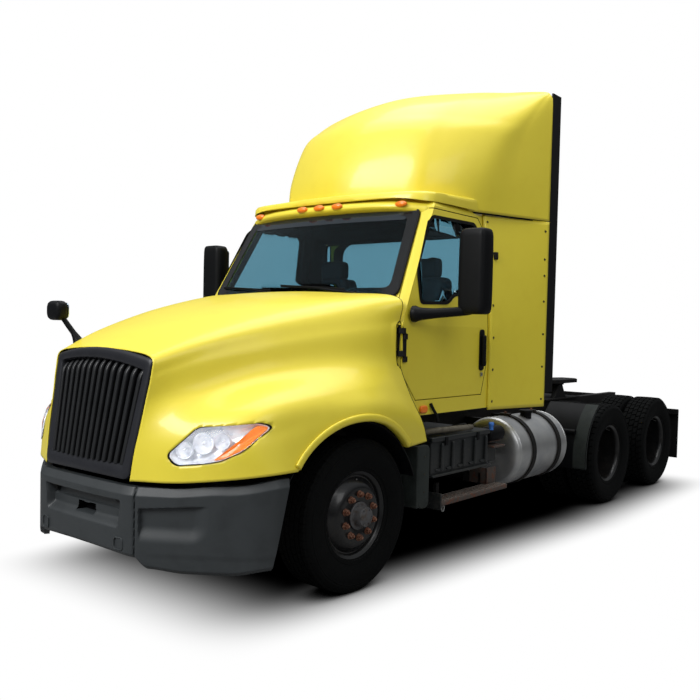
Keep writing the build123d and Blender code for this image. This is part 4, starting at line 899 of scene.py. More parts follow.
WHEEL_BLACK = Finish("wheel_black_enamel", linear(12, 13, 15), roughness=0.3, coat=0.3,
                     second=linear(24, 20, 18), second_scale=14, second_range=(0.5, 0.8),
                     dust=0.08, dust_top=1.1, wear=0.35, wear_colour=linear(92, 60, 42),
                     specular=0.35)
RUSTY_NUT = Finish("rusty_nut", linear(150, 112, 92), roughness=0.72, metallic=0.15,
                   second=linear(104, 56, 34), second_scale=70, second_range=(0.35, 0.62),
                   grain=0.0008, grain_scale=400)
BRIGHT_STEEL = Finish("bright_steel", linear(190, 190, 188), roughness=0.28, metallic=1.0,
                      second=linear(140, 136, 130), second_scale=40)
REFLECTOR = Finish("lamp_reflector", linear(246, 248, 252), roughness=0.3, metallic=0.35,
                   second=linear(206, 212, 222), second_scale=26)
CHASSIS = Finish("chassis_black", linear(15, 16, 17), roughness=0.6, dust=0.1, dust_top=1.2,
                 second=linear(24, 21, 19), second_scale=9, second_range=(0.5, 0.85), wear=0.12,
                 wear_colour=linear(66, 48, 38), grain=0.0006, grain_scale=160, specular=0.25)
RUBBER = Finish("edge_rubber", linear(12, 12, 13), roughness=0.6, grain=0.0004, specular=0.2)
GLASS = Finish("tinted_glass", (0.295, 0.483, 0.555), roughness=0.0, transmission=1.0, ior=1.18,
               roughness_swing=0.0, second=(0.295, 0.483, 0.555))
CLEAR_LENS = Finish("clear_lens", (0.97, 0.98, 1.0), roughness=0.02, transmission=1.0,
                    ior=1.12, roughness_swing=0.0, second=(0.96, 0.97, 1.0))
AMBER = Finish("amber_lens", linear(255, 132, 20), roughness=0.3, coat=0.3,
               second=linear(245, 112, 15), second_scale=120)
RED_LENS = Finish("red_lens", linear(190, 18, 14), roughness=0.25, coat=0.5,
                  second=linear(160, 12, 10), second_scale=120)
FRIT = Finish("windscreen_frit", linear(10, 12, 14), roughness=0.22, coat=0.2, specular=0.3)
BUMPER_PLASTIC = Finish("bumper_grained_plastic", linear(46, 50, 52), roughness=0.5,
                        grain=0.0004, grain_scale=520, second=linear(38, 42, 44),
                        second_scale=5, dust=0.12, dust_top=.7, dust_colour=(.05, .05, .048),
                        wear=0.12, wear_colour=linear(84, 88, 88))
HUB_GREY = Finish("hub_grey", linear(92, 92, 94), roughness=0.5, metallic=0.4,
                  second=linear(70, 58, 50), second_scale=30, grain=0.0004, grain_scale=300,
                  dust=0.3, dust_top=1.1)
SMALL_BOLT = Finish("small_dark_bolt", linear(70, 66, 50), roughness=0.45, metallic=0.6,
                    second=linear(50, 44, 34), second_scale=90)
SHADE_BAND = Finish("shade_band", linear(18, 30, 40), roughness=0.15, coat=0.4)
MIRROR_GLASS = Finish("mirror_glass", linear(150, 165, 175), roughness=0.03, metallic=1.0)
TANK = Finish("tank_brushed", linear(200, 200, 198), roughness=0.36, metallic=0.85,
              second=linear(168, 170, 174), second_scale=5, second_range=(.3, .8),
              grain=0.00025, grain_scale=180, roughness_swing=0.16, dust=0.15, dust_top=.9)
STRAP = Finish("strap_black", linear(30, 28, 27), roughness=0.6, second=linear(60, 46, 38),
               second_scale=20)
BOX_BLACK = Finish("battery_box_black", linear(26, 30, 31), roughness=0.42, grain=0.0003,
                   second=linear(20, 24, 26), dust=0.25, dust_top=1.2)
HOSE = Finish("corrugated_hose", linear(104, 98, 84), roughness=0.6, second=linear(78, 72, 60),
              second_scale=18)
BLUE_CAP = Finish("blue_cap", linear(60, 120, 205), roughness=0.35)
RUSTY_STEEL = Finish("rusty_steel", linear(84, 76, 70), roughness=0.78, metallic=0.2,
                     second=linear(112, 66, 46), second_scale=26, second_range=(.45, .75),
                     grain=0.0007, grain_scale=240)
WORN_TREAD = Finish("worn_tread", linear(176, 168, 158), roughness=0.45, metallic=0.7,
                    second=linear(120, 98, 84), second_scale=60)
SPLASH_GREY = Finish("splash_grey", linear(48, 53, 51), roughness=0.62, grain=0.0004,
                     second=linear(38, 43, 41), dust=0.15, dust_top=.9, specular=0.2)
LINING = Finish("cab_lining_grey", linear(16, 19, 22), roughness=0.85, grain=0.0004,
                second=linear(13, 16, 19), specular=0.15)
SEAT_CLOTH = Finish("seat_weave", linear(46, 48, 54), roughness=0.9, grain=0.0006,
                    grain_scale=900, second=linear(38, 40, 46), second_scale=120)
WHEEL_GREY = Finish("wheel_grip_grey", linear(118, 112, 110), roughness=0.5,
                    second=linear(104, 100, 98))


# ------------------------------------------------------------------ pieces
def round_edges(made: bpy.types.Object, width: float) -> None:
    """Round the edges of an object that turn by more than 40 degrees.

    Args:
        made: the object.
        width: width of each rounded edge.
    """
    edge = made.modifiers.new("edges", "BEVEL")
    edge.width, edge.segments, edge.limit_method = width, 2, "ANGLE"
    edge.angle_limit = np.radians(40)


@dataclass
class Piece:
    """A visible piece under construction: fragments with their finishes, joined into one mesh."""

    name: str
    body: str
    slot: str
    stands_for: tuple[str, ...] = ()
    parts: list = field(default_factory=list)

    def add(self, surface: Surface, finish: Finish) -> "Piece":
        """Add a fragment in one finish."""
        self.parts.append((surface, finish))
        return self

    def add_pair(self, surface: Surface, finish: Finish) -> "Piece":
        """Add a left-hand fragment in one finish, and its mirror image on the right.

        Args:
            surface: the left-hand fragment.
            finish: their finish.

        Returns:
            The piece itself.
        """
        for side in SIDES.values():
            self.add(surface.on_side(side), finish)
        return self

    def build(self, smooth: float = 35.0, bevel: float = 0.0,
              wall: float = 0.0) -> bpy.types.Object:
        """Make the mesh object and fasten it to its body.

        Args:
            smooth: angle in degrees above which an edge stays sharp.
            bevel: width of rounded edges.
            wall: thickness given to sheets, inwards.

        Returns:
            The finished object.
        """
        surface = joined([part for part, _ in self.parts])
        finishes = list(dict.fromkeys(finish for _, finish in self.parts))
        mesh = bpy.data.meshes.new(self.name)
        points = surface.points + np.array([AXLE_X, 0.0, 0.0])
        mesh.from_pydata(points.tolist(), [], surface.faces)
        counts = [len(part.faces) for part, _ in self.parts]
        slots = [finishes.index(finish) for _, finish in self.parts]
        mesh.polygons.foreach_set("material_index", np.repeat(slots, counts).astype(np.int32))
        for finish in finishes:
            mesh.materials.append(finish.material())
        mesh.polygons.foreach_set("use_smooth", np.ones(len(mesh.polygons), bool))
        mesh.validate()
        mesh.set_sharp_from_angle(angle=np.radians(smooth))
        made = bpy.data.objects.new(self.name, mesh)
        bpy.context.scene.collection.objects.link(made)
        if wall:
            shell = made.modifiers.new("wall", "SOLIDIFY")
            shell.thickness, shell.offset = wall, -1.0
        if bevel:
            round_edges(made, bevel)
        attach(made, self.body)
        if self.stands_for:
            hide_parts(*self.stands_for)
        LOG.info("%s: %d faces", self.name, len(surface.faces))
        return made


# ------------------------------------------------------------------ hood and nose
def nearest_mean(samples: Array, keys: Array, wanted: Array, count: int, soft: float) -> Array:
    """Samples averaged about each wanted key, weighted by 1 / (squared distance + soft).

    Args:
        samples: values (n, 3).
        keys: where each sample lies (n, 2).
        wanted: where values are wanted (m, 2).
        count: how many of the nearest samples are averaged.
        soft: keeps a weight finite.

    Returns:
        Values (m, 3).
    """
    gap = (keys[:, 0] - wanted[:, :1]) ** 2 + (keys[:, 1] - wanted[:, 1:]) ** 2
    pick = np.argpartition(gap, count, axis=1)[:, :count]
    weight = 1 / (np.take_along_axis(gap, pick, 1) + soft)
    return (samples[pick] * weight[..., None]).sum(1) / weight.sum(1, keepdims=True)


@dataclass(frozen=True)
class HoodSkin:
    """The hood's outer form: rails from the crown down to the sill, and the wheel arch."""

    rails: tuple = (
        ((1.17, .0, 1.575), (.85, .0, 1.72), (.45, .0, 1.85), (.0, .0, 1.95),
         (-.3, .0, 1.99), (-.444, .0, 2.003)),
        ((1.165, .3, 1.565), (.85, .36, 1.7), (.45, .42, 1.835), (.0, .5, 1.935),
         (-.3, .54, 1.975), (-.444, .56, 1.988)),
        ((1.16, .5, 1.53), (.85, .6, 1.655), (.45, .71, 1.77), (.0, .83, 1.87),
         (-.28, .93, 1.93), (-.458, 1.05, 1.952)),
        ((1.175, .52, 1.42), (.85, .66, 1.54), (.45, .8, 1.635), (.0, .94, 1.71),
         (-.27, 1.02, 1.745), (-.46, 1.066, 1.76)),
        ((1.2, .505, 1.27), (.95, .66, 1.33), (.55, .84, 1.42), (.05, .99, 1.5),
         (-.27, 1.055, 1.52), (-.466, 1.072, 1.5)),
        ((1.23, .49, 1.1), (1.05, .78, 1.16), (.75, 1.06, 1.27), (.1, 1.16, 1.33),
         (-.3, 1.15, 1.33), (-.5, 1.142, 1.28)),
        ((1.25, .475, .98), (1.1, .8, 1.02), (.85, 1.1, 1.08), (.12, 1.235, 1.18),
         (-.34, 1.22, 1.16), (-.578, 1.2, 1.085)),
        ((1.268, .46, .815), (1.12, .8, .83), (.8, 1.17, .88), (.12, 1.22, .9),
         (-.36, 1.21, .92), (-.64, 1.2, .94)),
    )
    arch_centre: Pair = (0.1, 0.444)
    arch_radius: float = 0.7
    hinge_heights: Pair = (1.455, 1.785)
    hinge_blend: float = 0.025
    hinge_room: float = 0.034

    def grid(self, count_u: int, count_v: int) -> Array:
        """The left half as a grid, its rear edge drawn forward where the door hinges are.

        Args:
            count_u: points from the grille back.
            count_v: points from the crown down.

        Returns:
            Points (count_u, count_v, 3).
        """
        u = np.linspace(0, 1, count_u)
        v = np.linspace(1 / len(self.rails), 1, count_v)
        grid = rail_grid(across_centre(self.rails), u, v)
        z, (low, high), blend = grid[..., 2], self.hinge_heights, self.hinge_blend
        level = smoothstep(z, low, low + blend) * smoothstep(-z, -high, blend - high)
        near = smoothstep(u, .9, 1)[:, None] * (grid[..., 1] > .9)
        grid[..., 0] += self.hinge_room * level * near
        return grid

    def arch_line(self, start: float, end: float, count: int) -> Array:
        """The skin's points on the arch circle between two angles in degrees, left side.

        Args:
            start: the first angle.
            end: the last angle.
            count: how many points.

        Returns:
            Points (count, 3).
        """
        flat = arc(self.arch_centre, self.arch_radius, start, end, count)
        samples = self.grid(400, 400)[:, 200:].reshape(-1, 3)
        found = nearest_mean(samples, samples[:, ::2], flat, 6, 1e-8)
        return np.stack([flat[:, 0], found[:, 1], flat[:, 1]], -1)


SKIN = HoodSkin()


@dataclass(frozen=True)
class Headlamp:
    """Headlamps let into the hood: gasket, reflector bowls, amber corner and a clear cover.

    An outline point is (distance along the lamp's line in plan, height).  Each ring of the
    gasket, reflector and cover is (share drawn towards the middle, distance proud of the skin).
    """

    line: tuple = ((1.185, .615), (.785, 1.155))
    outline: tuple = ((.049, .978), (.107, .922), (.284, .941), (.382, .961), (.509, 1.022),
                      (.656, 1.152), (.596, 1.178), (.225, 1.143))
    middle: Pair = (.33, 1.045)
    outwards: Triple = (.8, .6, 0.0)
    gasket: tuple = ((-.005, -.004), (-.005, .003), (.022, .005), (.04, -.004))
    reflector: tuple = ((.04, -.004), (.12, -.03), (.3, -.058), (.6, -.07), (.98, -.072))
    cover: tuple = ((.03, .003), (.2, .006), (.55, .007), (.97, .007))
    amber: tuple = ((.33, .962), (.4, .978), (.51, 1.034), (.63, 1.15), (.56, 1.16),
                    (.47, 1.075), (.38, 1.0))
    bowls: tuple = ((.155, 1.01, .05), (.265, 1.052, .06), (.375, 1.07, .048))
    bowl_depth: float = .052
    bowl_profile: tuple = ((1.06, .022), (1.0, .03), (.93, .024), (.8, .004), (.55, -.01),
                           (.3, -.014), (.16, -.014), (.15, .02), (.08, .03), (.005, .032))

    @cached_property
    def samples(self) -> Array:
        """The hood skin's points about the lamp."""
        return SKIN.grid(300, 300)[:150, 120:].reshape(-1, 3)

    def flattened(self, points: Array) -> Array:
        """Points in space as (distance along the lamp's line, height).

        Args:
            points: points (..., 3).

        Returns:
            Points (..., 2).
        """
        start, end = np.array(self.line)
        way = (end - start) / np.linalg.norm(end - start)
        return np.stack([(points[:, :2] - start) @ way, points[:, 2]], -1)

    def on_skin(self, flat: Array) -> Array:
        """The hood skin's points for lamp points (along, height)."""
        return nearest_mean(self.samples, self.flattened(self.samples), flat, 8, 1e-7)

    def drawn(self, inset: float) -> Array:
        """The outline, rounded and drawn towards its middle by a share."""
        return self.middle + (rounded(self.outline, .035, 6) - self.middle) * (1 - inset)

    def opening(self, grid: Array) -> tuple[Array, Array]:
        """Skin points near the outline moved onto it, and which points lie on or in it.

        Args:
            grid: the hood's half as (u, v, 3) points.

        Returns:
            The grid with a clean edge along the outline, and one flag for each point.
        """
        points = grid.reshape(-1, 3).copy()
        flat = self.flattened(points)
        edge = densified(self.drawn(0.0), .004)
        hidden = np.zeros(len(points), bool)
        front = np.where((points[:, 0] > .55) & (points[:, 2] > .86) & (points[:, 2] < 1.24)
                         & (flat[:, 0] > 0) & (flat[:, 0] < .72))[0]
        gaps = np.linalg.norm(flat[front, None] - edge[None], axis=2)
        hidden[front] = inside(flat[front], edge)
        pitch = np.linalg.norm(np.diff(grid[40:60, 50:70], axis=0), axis=2)
        near = gaps.min(1) < .6 * float(np.median(pitch))
        snap = front[near]
        points[snap] = self.on_skin(edge[gaps[near].argmin(1)])
        hidden[snap] = True
        return points.reshape(grid.shape), hidden

    def rings(self, steps: Profile) -> Surface:
        """A band through copies of the outline, each drawn in and set proud of the skin.

        Args:
            steps: (inset, distance proud) of each copy.

        Returns:
            The band.
        """
        rows = [self.on_skin(self.drawn(inset)) + proud * np.array(self.outwards)
                for inset, proud in steps]
        return lattice(np.stack(rows), close_v=True).flipped()

    def corner(self) -> Surface:
        """The amber corner: a low pad on the skin behind the cover.

        Returns:
            The pad.
        """
        out = np.array(self.outwards)
        skin = self.on_skin(rounded(self.amber, .02, 4))
        centre = skin.mean(0)
        rows = [skin - .04 * out, skin - .012 * out, centre + (skin - centre) * .8 - .008 * out,
                centre + (skin - centre) * .05 - .006 * out]
        return lattice(np.stack(rows), close_v=True).flipped()

    def bowl(self, along: float, height: float, radius: float) -> Surface:
        """A reflector bowl with a bulb in its middle, facing outwards.

        Args:
            along: its centre along the lamp's line.
            height: height of its centre.
            radius: radius of its rim.

        Returns:
            The bowl and the bulb.
        """
        w = np.array(self.outwards) / np.linalg.norm(self.outwards)
        u = np.cross((0, 0, 1.0), w)
        u /= np.linalg.norm(u)
        centre = self.on_skin(np.array([(along, height)]))[0] - self.bowl_depth * w
        profile = [(radius * r, d) for r, d in self.bowl_profile]
        return turned(profile, centre, (u, np.cross(w, u), w), 28)

    def build(self) -> None:
        """Both headlamps."""
        parts = [(self.rings(self.gasket), BLACK_PLASTIC), (self.rings(self.reflector), REFLECTOR),
                 (self.rings(self.cover), CLEAR_LENS), (self.corner(), AMBER)]
        parts += [(self.bowl(*place), REFLECTOR) for place in self.bowls]
        for name, side in SIDES.items():
            lamp = Piece(f"headlamp_unit_{name}", "hood", "lamp_lens", (f"headlamp_{name}",))
            for surface, finish in parts:
                lamp.add(surface.on_side(side), finish)
            lamp.build(smooth=40)


@dataclass(frozen=True)
class Hood:
    """The tilting hood: skin, arch lips, rear seal, fender linings, tilt arms and cross bar."""

    lip_angles: Pair = (40.3, 136.8)
    lip: tuple = ((0.046, 0.0), (0.042, 0.007), (0.03, 0.01), (0.012, 0.012),
                  (0.002, 0.009), (-0.004, 0.0), (-0.005, -0.015), (-0.004, -0.045))
    liner: tuple = ((.004, 1.165), (.004, .7), (.014, .7), (.014, 1.165))
    liner_foot: float = .7
    arm: tuple = ((1.25, .64), (1.262, .7), (1.19, .8), (.62, .9), (.6, .86),
                  (1.1, .76), (1.19, .66))
    arm_y: Pair = (.345, .385)
    pivot: Triple = (1.246, 0, .7)

    def shell(self, count_u: int = 150, count_v: int = 90) -> Surface:
        """The hood's skin, cut along the wheel arches and round the headlamps.

        Each grid column runs from the crown to the sill.  Where it crosses the arch circle
        (x - cx)^2 + (z - cz)^2 = R^2 the column ends on it, and its points close up.

        Args:
            count_u: columns from the grille back.
            count_v: points down each column.

        Returns:
            Both halves as one fragment.
        """
        fine = np.linspace(0, 1, 700)
        grid = np.zeros((count_u, count_v, 3))
        for i, column in enumerate(SKIN.grid(count_u, len(fine))):
            reach = np.hypot(column[:, 0] - SKIN.arch_centre[0], column[:, 2] - SKIN.arch_centre[1])
            below = (reach < SKIN.arch_radius) & (column[:, 2] < 1.4)
            end = fine[np.argmax(below)] if below.any() else 1.0
            at = np.linspace(0, 1, count_v) * end
            for axis in range(3):
                grid[i, :, axis] = np.interp(at, fine, column[:, axis])
        half, hidden = Headlamp().opening(grid)
        hidden = hidden.reshape(count_u, count_v)
        hidden = np.concatenate([hidden[:, :0:-1], hidden], 1).reshape(-1)
        shell = lattice(both_halves(half))
        shell.faces = [face for face in shell.faces if not hidden[face].all()]
        return shell

    def arch_lip(self) -> Surface:
        """The rolled lip round the left arch: a flat band, a rounded turn and a return.

        Returns:
            The lip.
        """
        rim = SKIN.arch_line(*self.lip_angles, 90)
        away = arc((0, 0), 1.0, *self.lip_angles, 90)
        radial = np.stack([away[:, 0], 0 * away[:, 0], away[:, 1]], -1)
        out = np.array([0.0, 1.0, 0.0])
        return lattice(np.stack([rim + r * radial + w * out for r, w in self.lip], 1)).flipped()

    def fender_lining(self) -> Surface:
        """The lining over the left wheel: a thin arc across, cut level at its foot.

        Returns:
            The lining.
        """
        rows = []
        for inset, y in self.liner:
            line = arc(SKIN.arch_centre, SKIN.arch_radius - inset, 20, 158, 60)
            rows.append(np.stack([line[:, 0], np.full(60, y), line[:, 1]], -1))
        liner = lattice(np.stack(rows, 1), close_v=True).flipped()
        liner.points[:, 2] = np.maximum(liner.points[:, 2], self.liner_foot)
        return liner

    def build(self) -> None:
        """The panel, the seal along its rear edge, and what hangs under it."""
        panel_piece = Piece("hood_panel", "hood", "body_paint", ("hood", "fender_ends"))
        panel_piece.add(faced(self.shell(), (0, 0, 1)), YELLOW).add_pair(self.arch_lip(), YELLOW)
        panel_piece.build(smooth=50, wall=0.006)
        seal = Piece("hood_edge_seal", "hood", "black_rubber")
        edge = SKIN.grid(40, 400)[-1]
        edge = edge[edge[:, 1] > .98][::6] + (-.003, -.004, 0)
        seal.add_pair(tube(edge, .0045, 8), RUBBER).build(smooth=50)
        trim = Piece("hood_underside", "hood", "dark_plastic", ("fender_liners",))
        trim.add_pair(self.fender_lining(), BLACK_PLASTIC)
        trim.add_pair(slab(rounded(self.arm, .03), *self.arm_y, Plane.SIDE), CHASSIS)
        trim.add_pair(spun([(0, .328), (.03, .328), (.03, .4), (0, .4)], self.pivot,
                           count=24), CHASSIS)
        bar = np.array([(1.147, y, .85) for y in np.linspace(-.39, .39, 9)])
        trim.add(tube(bar, .014), CHASSIS).build(smooth=40, bevel=0.002)


@dataclass(frozen=True)
class Grille:
    """The grille: crowned surround, slats whose tops curve in, cross bar, and a near-black sheet
    behind them as painted shade in the grille's depth.
    """

    foot: Pair = (1.262, 0.815)
    lean: float = 0.1594
    bow: float = 0.03
    half_bow: float = 0.52
    half_low: float = .452
    half_top: float = .512
    side_height: float = .712
    crown_height: float = .766
    section: tuple = ((0.0, -0.03), (0.0, 0.002), (0.006, 0.009), (0.02, 0.012),
                      (0.05, 0.01), (0.064, 0.004), (0.07, -0.01), (0.072, -0.06))
    slats: int = 14
    slat_pitch: float = .0575
    slat_spread: float = 1.135
    slat_half: Pair = (.0155, .017)

    def face(self, across: Array, up: Array, proud: Array | float = 0.0) -> Array:
        """Points on the grille's face, which leans back and bows forward at the middle.

        x = foot + out cos(lean) - up sin(lean) and z = foot + up cos(lean) + out sin(lean),
        with out = bow (1 - (across / half_bow)^2) + proud.

        Args:
            across: distance to the left.
            up: distance up the face.
            proud: distance in front of it.

        Returns:
            Points (..., 3).
        """
        out = self.bow * (1 - (across / self.half_bow) ** 2) + proud
        x = self.foot[0] + out * np.cos(self.lean) - up * np.sin(self.lean)
        z = self.foot[1] + up * np.cos(self.lean) + out * np.sin(self.lean)
        return np.stack([x, np.broadcast_to(across, np.shape(x)), z], -1)

    def edge(self, inset: float) -> Array:
        """The surround's outline (across, up), drawn in by inset, counter-clockwise.

        Args:
            inset: distance inside the surround.

        Returns:
            Points (n, 2).
        """
        rise = self.crown_height - self.side_height
        top = [(self.half_top - inset - k,
                self.side_height + rise * (1 - ((self.half_top - k) / self.half_top) ** 2) - inset)
               for k in np.linspace(0, 2 * (self.half_top - inset), 15)]
        half, low = self.half_low - inset, .004 + inset * 1.25
        return rounded([(-half, low), (half, low)] + top, max(.055 - .6 * inset, .02), 7)

    def slat(self, number: int) -> Surface:
        """One slat: a rounded bar up the face, fanned out, whose last stretch curves in.

        Args:
            number: its place in the row.

        Returns:
            The slat.
        """
        steps = np.linspace(0, 1, 26)
        low_y = (number - (self.slats - 1) / 2) * self.slat_pitch
        top_y = low_y * self.slat_spread
        top = .7 - .054 * (abs(top_y) / self.half_bow) ** 2
        up = .085 + (top - .085) * steps
        across = low_y + (top_y - low_y) * steps
        proud = -.008 - .034 * np.clip((steps - .88) / .12, 0, 1) ** 2
        angle = turns(14)
        wide, deep = (np.sign(c) * np.abs(c) ** .55 * half for c, half in
                      zip((np.cos(angle), np.sin(angle)), self.slat_half))
        rows = [self.face(across + s, up, proud + d) for s, d in zip(wide, deep)]
        return lattice(np.stack(rows, 1), close_v=True)

    def build(self) -> None:
        """The grille as one piece on the hood."""
        grille = Piece("grille_assembly", "hood", "dark_plastic", ("grille",))
        rows = [self.face(*self.edge(inset).T, proud) for inset, proud in self.section]
        grille.add(lattice(np.stack(rows), close_v=True).flipped(), GRILLE_GREY)
        # A flat near-black sheet behind the slats: painted shade in the grille's depth.
        back = self.face(*self.edge(.06).T, -.062)
        grille.add(Surface(back, [list(range(len(back)))]), PAINTED_SHADE_BLACK)
        for number in range(self.slats):
            grille.add(self.slat(number), SLAT_BLACK)
        bar = self.face(np.linspace(-.44, .44, 40), np.full(40, .36), -.05)
        grille.add(tube(bar, .01, 8), SLAT_BLACK).build(smooth=40)


@dataclass(frozen=True)
class Bumper:
    """The bumper: one skin with its recess, slot, seams and hollows, tow holes, and near-black
    boxes behind it; the slot, the backs of the tow holes and the boxes are painted shade.
    """

    plan: tuple = ((1.31, .0), (1.305, .3), (1.29, .48), (1.238, .59), (1.12, .79),
                   (1.0, .97), (.9, 1.1), (.8, 1.18), (.7, 1.205))
    end_slant: float = .115
    slot: Triple = (.095, .566, .622)
    tow_hole: Pair = (.4, .447)
    tow_rings: tuple = ((1.2, -.002), (1.16, .007), (1.02, .009), (.94, .002), (.9, -.04))
    painted_shade_boxes: tuple = (((1.0, .415, .7), (1.225, .6, .742)),
                      ((1.0, -.6, .7), (1.225, -.415, .742)),
                      ((.94, -.33, .7), (1.245, .33, .742)),
                      ((.94, -.6, .42), (.955, .6, .742)))

    def front(self, along: Array, height: Array, inset: Array | float = 0.0) -> Array:
        """Points on the bumper's front.

        Args:
            along: share of the plan curve, 0 at the middle and 1 at the rear end.
            height: z.
            inset: distance back along the plan's inward normal.

        Returns:
            Points (..., 3).
        """
        curve = [(x, y, 0) for x, y in self.plan]
        tangent = (smooth_curve(curve, np.minimum(along + .004, 1))
                   - smooth_curve(curve, np.maximum(along - .004, 0)))
        tangent /= np.linalg.norm(tangent, axis=-1, keepdims=True) + 1e-12
        inward = np.stack([-tangent[..., 1], tangent[..., 0], 0 * tangent[..., 0]], -1)
        shift = np.broadcast_to(inset, np.shape(along))[..., None]
        point = smooth_curve(curve, along) + inward * shift
        point[..., 2] = height
        return point

    def low_edge(self, y: Array) -> Array:
        """Height of the lower edge across the truck: raised between the side pieces.

        Args:
            y: distance from the centre plane.

        Returns:
            The height at each y.
        """
        centre = .388 - .05 * y ** 2
        side = .315 - .018 * smoothstep(y, .58, .78) + .03 * smoothstep(y, 1.0, 1.19)
        return centre + (side - centre) * smoothstep(y, .505, .59)

    def in_slot(self, y: Array, z: Array) -> Array:
        """Which points lie in the slot at the middle."""
        return (y < self.slot[0]) & (z > self.slot[1]) & (z < self.slot[2])

    def relief(self, s: Array, y: Array, z: Array, low: Array, top: Array) -> Array:
        """How far the skin lies behind its plan curve.

        Args:
            s: distance along the plan from the middle.
            y: distance from the centre plane.
            z: height.
            low: the lower edge there.
            top: the upper edge there.

        Returns:
            The sum of the rolled lower edge, the top bevel, the middle recess with its sloping
            floor, the slot, the seam and the D-shaped hollow of the side piece.
        """
        roll = .024 * (1 - smoothstep(z - low, 0, .03)) ** 2
        bevel = .024 * np.clip((z - top + .046) / .046, 0, 1)
        half = .412 - .12 * (.7 - z)
        recess = (smoothstep(half - y, 0, .022) * smoothstep(.702 - z, 0, .012)
                  * smoothstep(z, .528, .588))
        band = (smoothstep(half - .01 - y, 0, .012) * smoothstep(.692 - z, 0, .008)
                * smoothstep(z, .628, .64))
        seam = sum(deep * np.exp(-((s - .519) / wide) ** 2)
                   for deep, wide in ((.006, .011), (.012, .0028)))
        corner = .12
        across, down = s - (.969 - corner), (.47 + corner) - z
        gap = (np.hypot(np.maximum(across, 0), np.maximum(down, 0))
               + np.minimum(np.maximum(across, down), 0) - corner)
        hollow = (smoothstep(-gap, 0, .1) * smoothstep(s, .546, .556)
                  * smoothstep(.668 + .075 * (s - .54) - z, 0, .012))
        crease = .004 * smoothstep(.41 - z, -.01, .03) * smoothstep(s, .56, .66)
        return (roll + bevel + .052 * recess + .016 * band + .06 * self.in_slot(y, z) + seam
                + .026 * hollow + crease)

    def skin(self) -> tuple[Surface, Array]:
        """The left half of the skin with its returns.

        Returns:
            The fragment, and one flag for each face: whether it is the slot's, which is painted
                shade.
        """
        shares = np.linspace(0, 1, 400)
        plan = smooth_curve([(x, y, 0) for x, y in self.plan], shares)
        length = np.concatenate([[0], np.cumsum(np.linalg.norm(np.diff(plan, axis=0), axis=1))])
        t = np.linspace(0, 1, 96)[None, :]
        s = np.linspace(0, 1, 250)[:, None] * (length[-1] - self.end_slant * (1 - t))
        share = np.interp(s, length, shares)
        x, y, _ = np.moveaxis(self.front(share, np.zeros(s.shape)), -1, 0)
        top = .785 + .025 * smoothstep(1.31 - x, .13, .31) + .04 * smoothstep(1.31 - x, .31, .55)
        low = self.low_edge(y)
        z = low + (top - low) * t
        grid = self.front(share, z, self.relief(s, y, z, low, top) + .003)
        under = self.front(share[:, :1], z[:, :1], .06)
        back = self.front(share[:, -1:], z[:, -1:], .075)
        skin = lattice(np.concatenate([under, grid, back, back - (0, 0, .03)], 1))
        dark = np.zeros((len(s) - 1, t.size + 2), bool)
        dark[:, 1:t.size] = self.in_slot(y, z)[:-1, :-1]
        return skin, dark.reshape(-1)

    def build(self) -> None:
        """The bumper as one piece on the frame."""
        bumper = Piece("bumper_shell", "root", "dark_plastic", ("bumper",))
        skin, dark = self.skin()
        # The slot's faces take the near-black finish as painted shade in the opening; the rest is
        # grained plastic.
        for finish, wanted in ((BUMPER_PLASTIC, False), (PAINTED_SHADE_BLACK, True)):
            faces = [face for face, flag in zip(skin.faces, dark) if flag == wanted]
            bumper.add_pair(Surface(skin.points, faces).flipped(), finish)
        hole = rounded([(-.034, -.034), (.034, -.034), (.034, .034), (-.034, .034)], .022)
        rows = []
        for grow, depth in self.tow_rings:
            y, z = (np.array(self.tow_hole) + hole * grow).T
            rows.append(np.stack([1.2955 + depth - (y - self.tow_hole[0]) * .12, y, z], -1))
        bumper.add_pair(lattice(np.stack(rows), close_v=True).flipped(), BUMPER_PLASTIC)
        # A near-black disc at the back of each tow hole: painted shade in the hole.
        plug = rows[-1] + (.034, 0, 0)
        bumper.add_pair(Surface(plug, [list(range(len(plug)))]), PAINTED_SHADE_BLACK)
        # Near-black boxes behind the bumper: painted shade in the gaps behind it.
        for low, high in self.painted_shade_boxes:
            bumper.add(soft_box(low, high, .006), PAINTED_SHADE_BLACK)
        bumper.build(smooth=36)


# ------------------------------------------------------------------ wheels
@dataclass(frozen=True)
class Disc:
    """One kind of wheel disc: section, seat, hub and cap bolts, as (radius, distance out)."""

    section: tuple
    centre: float
    face: float
    hub: tuple
    cap_bolts: int
    cap_circle: float
    cap_face: float
    inner: float | None = None


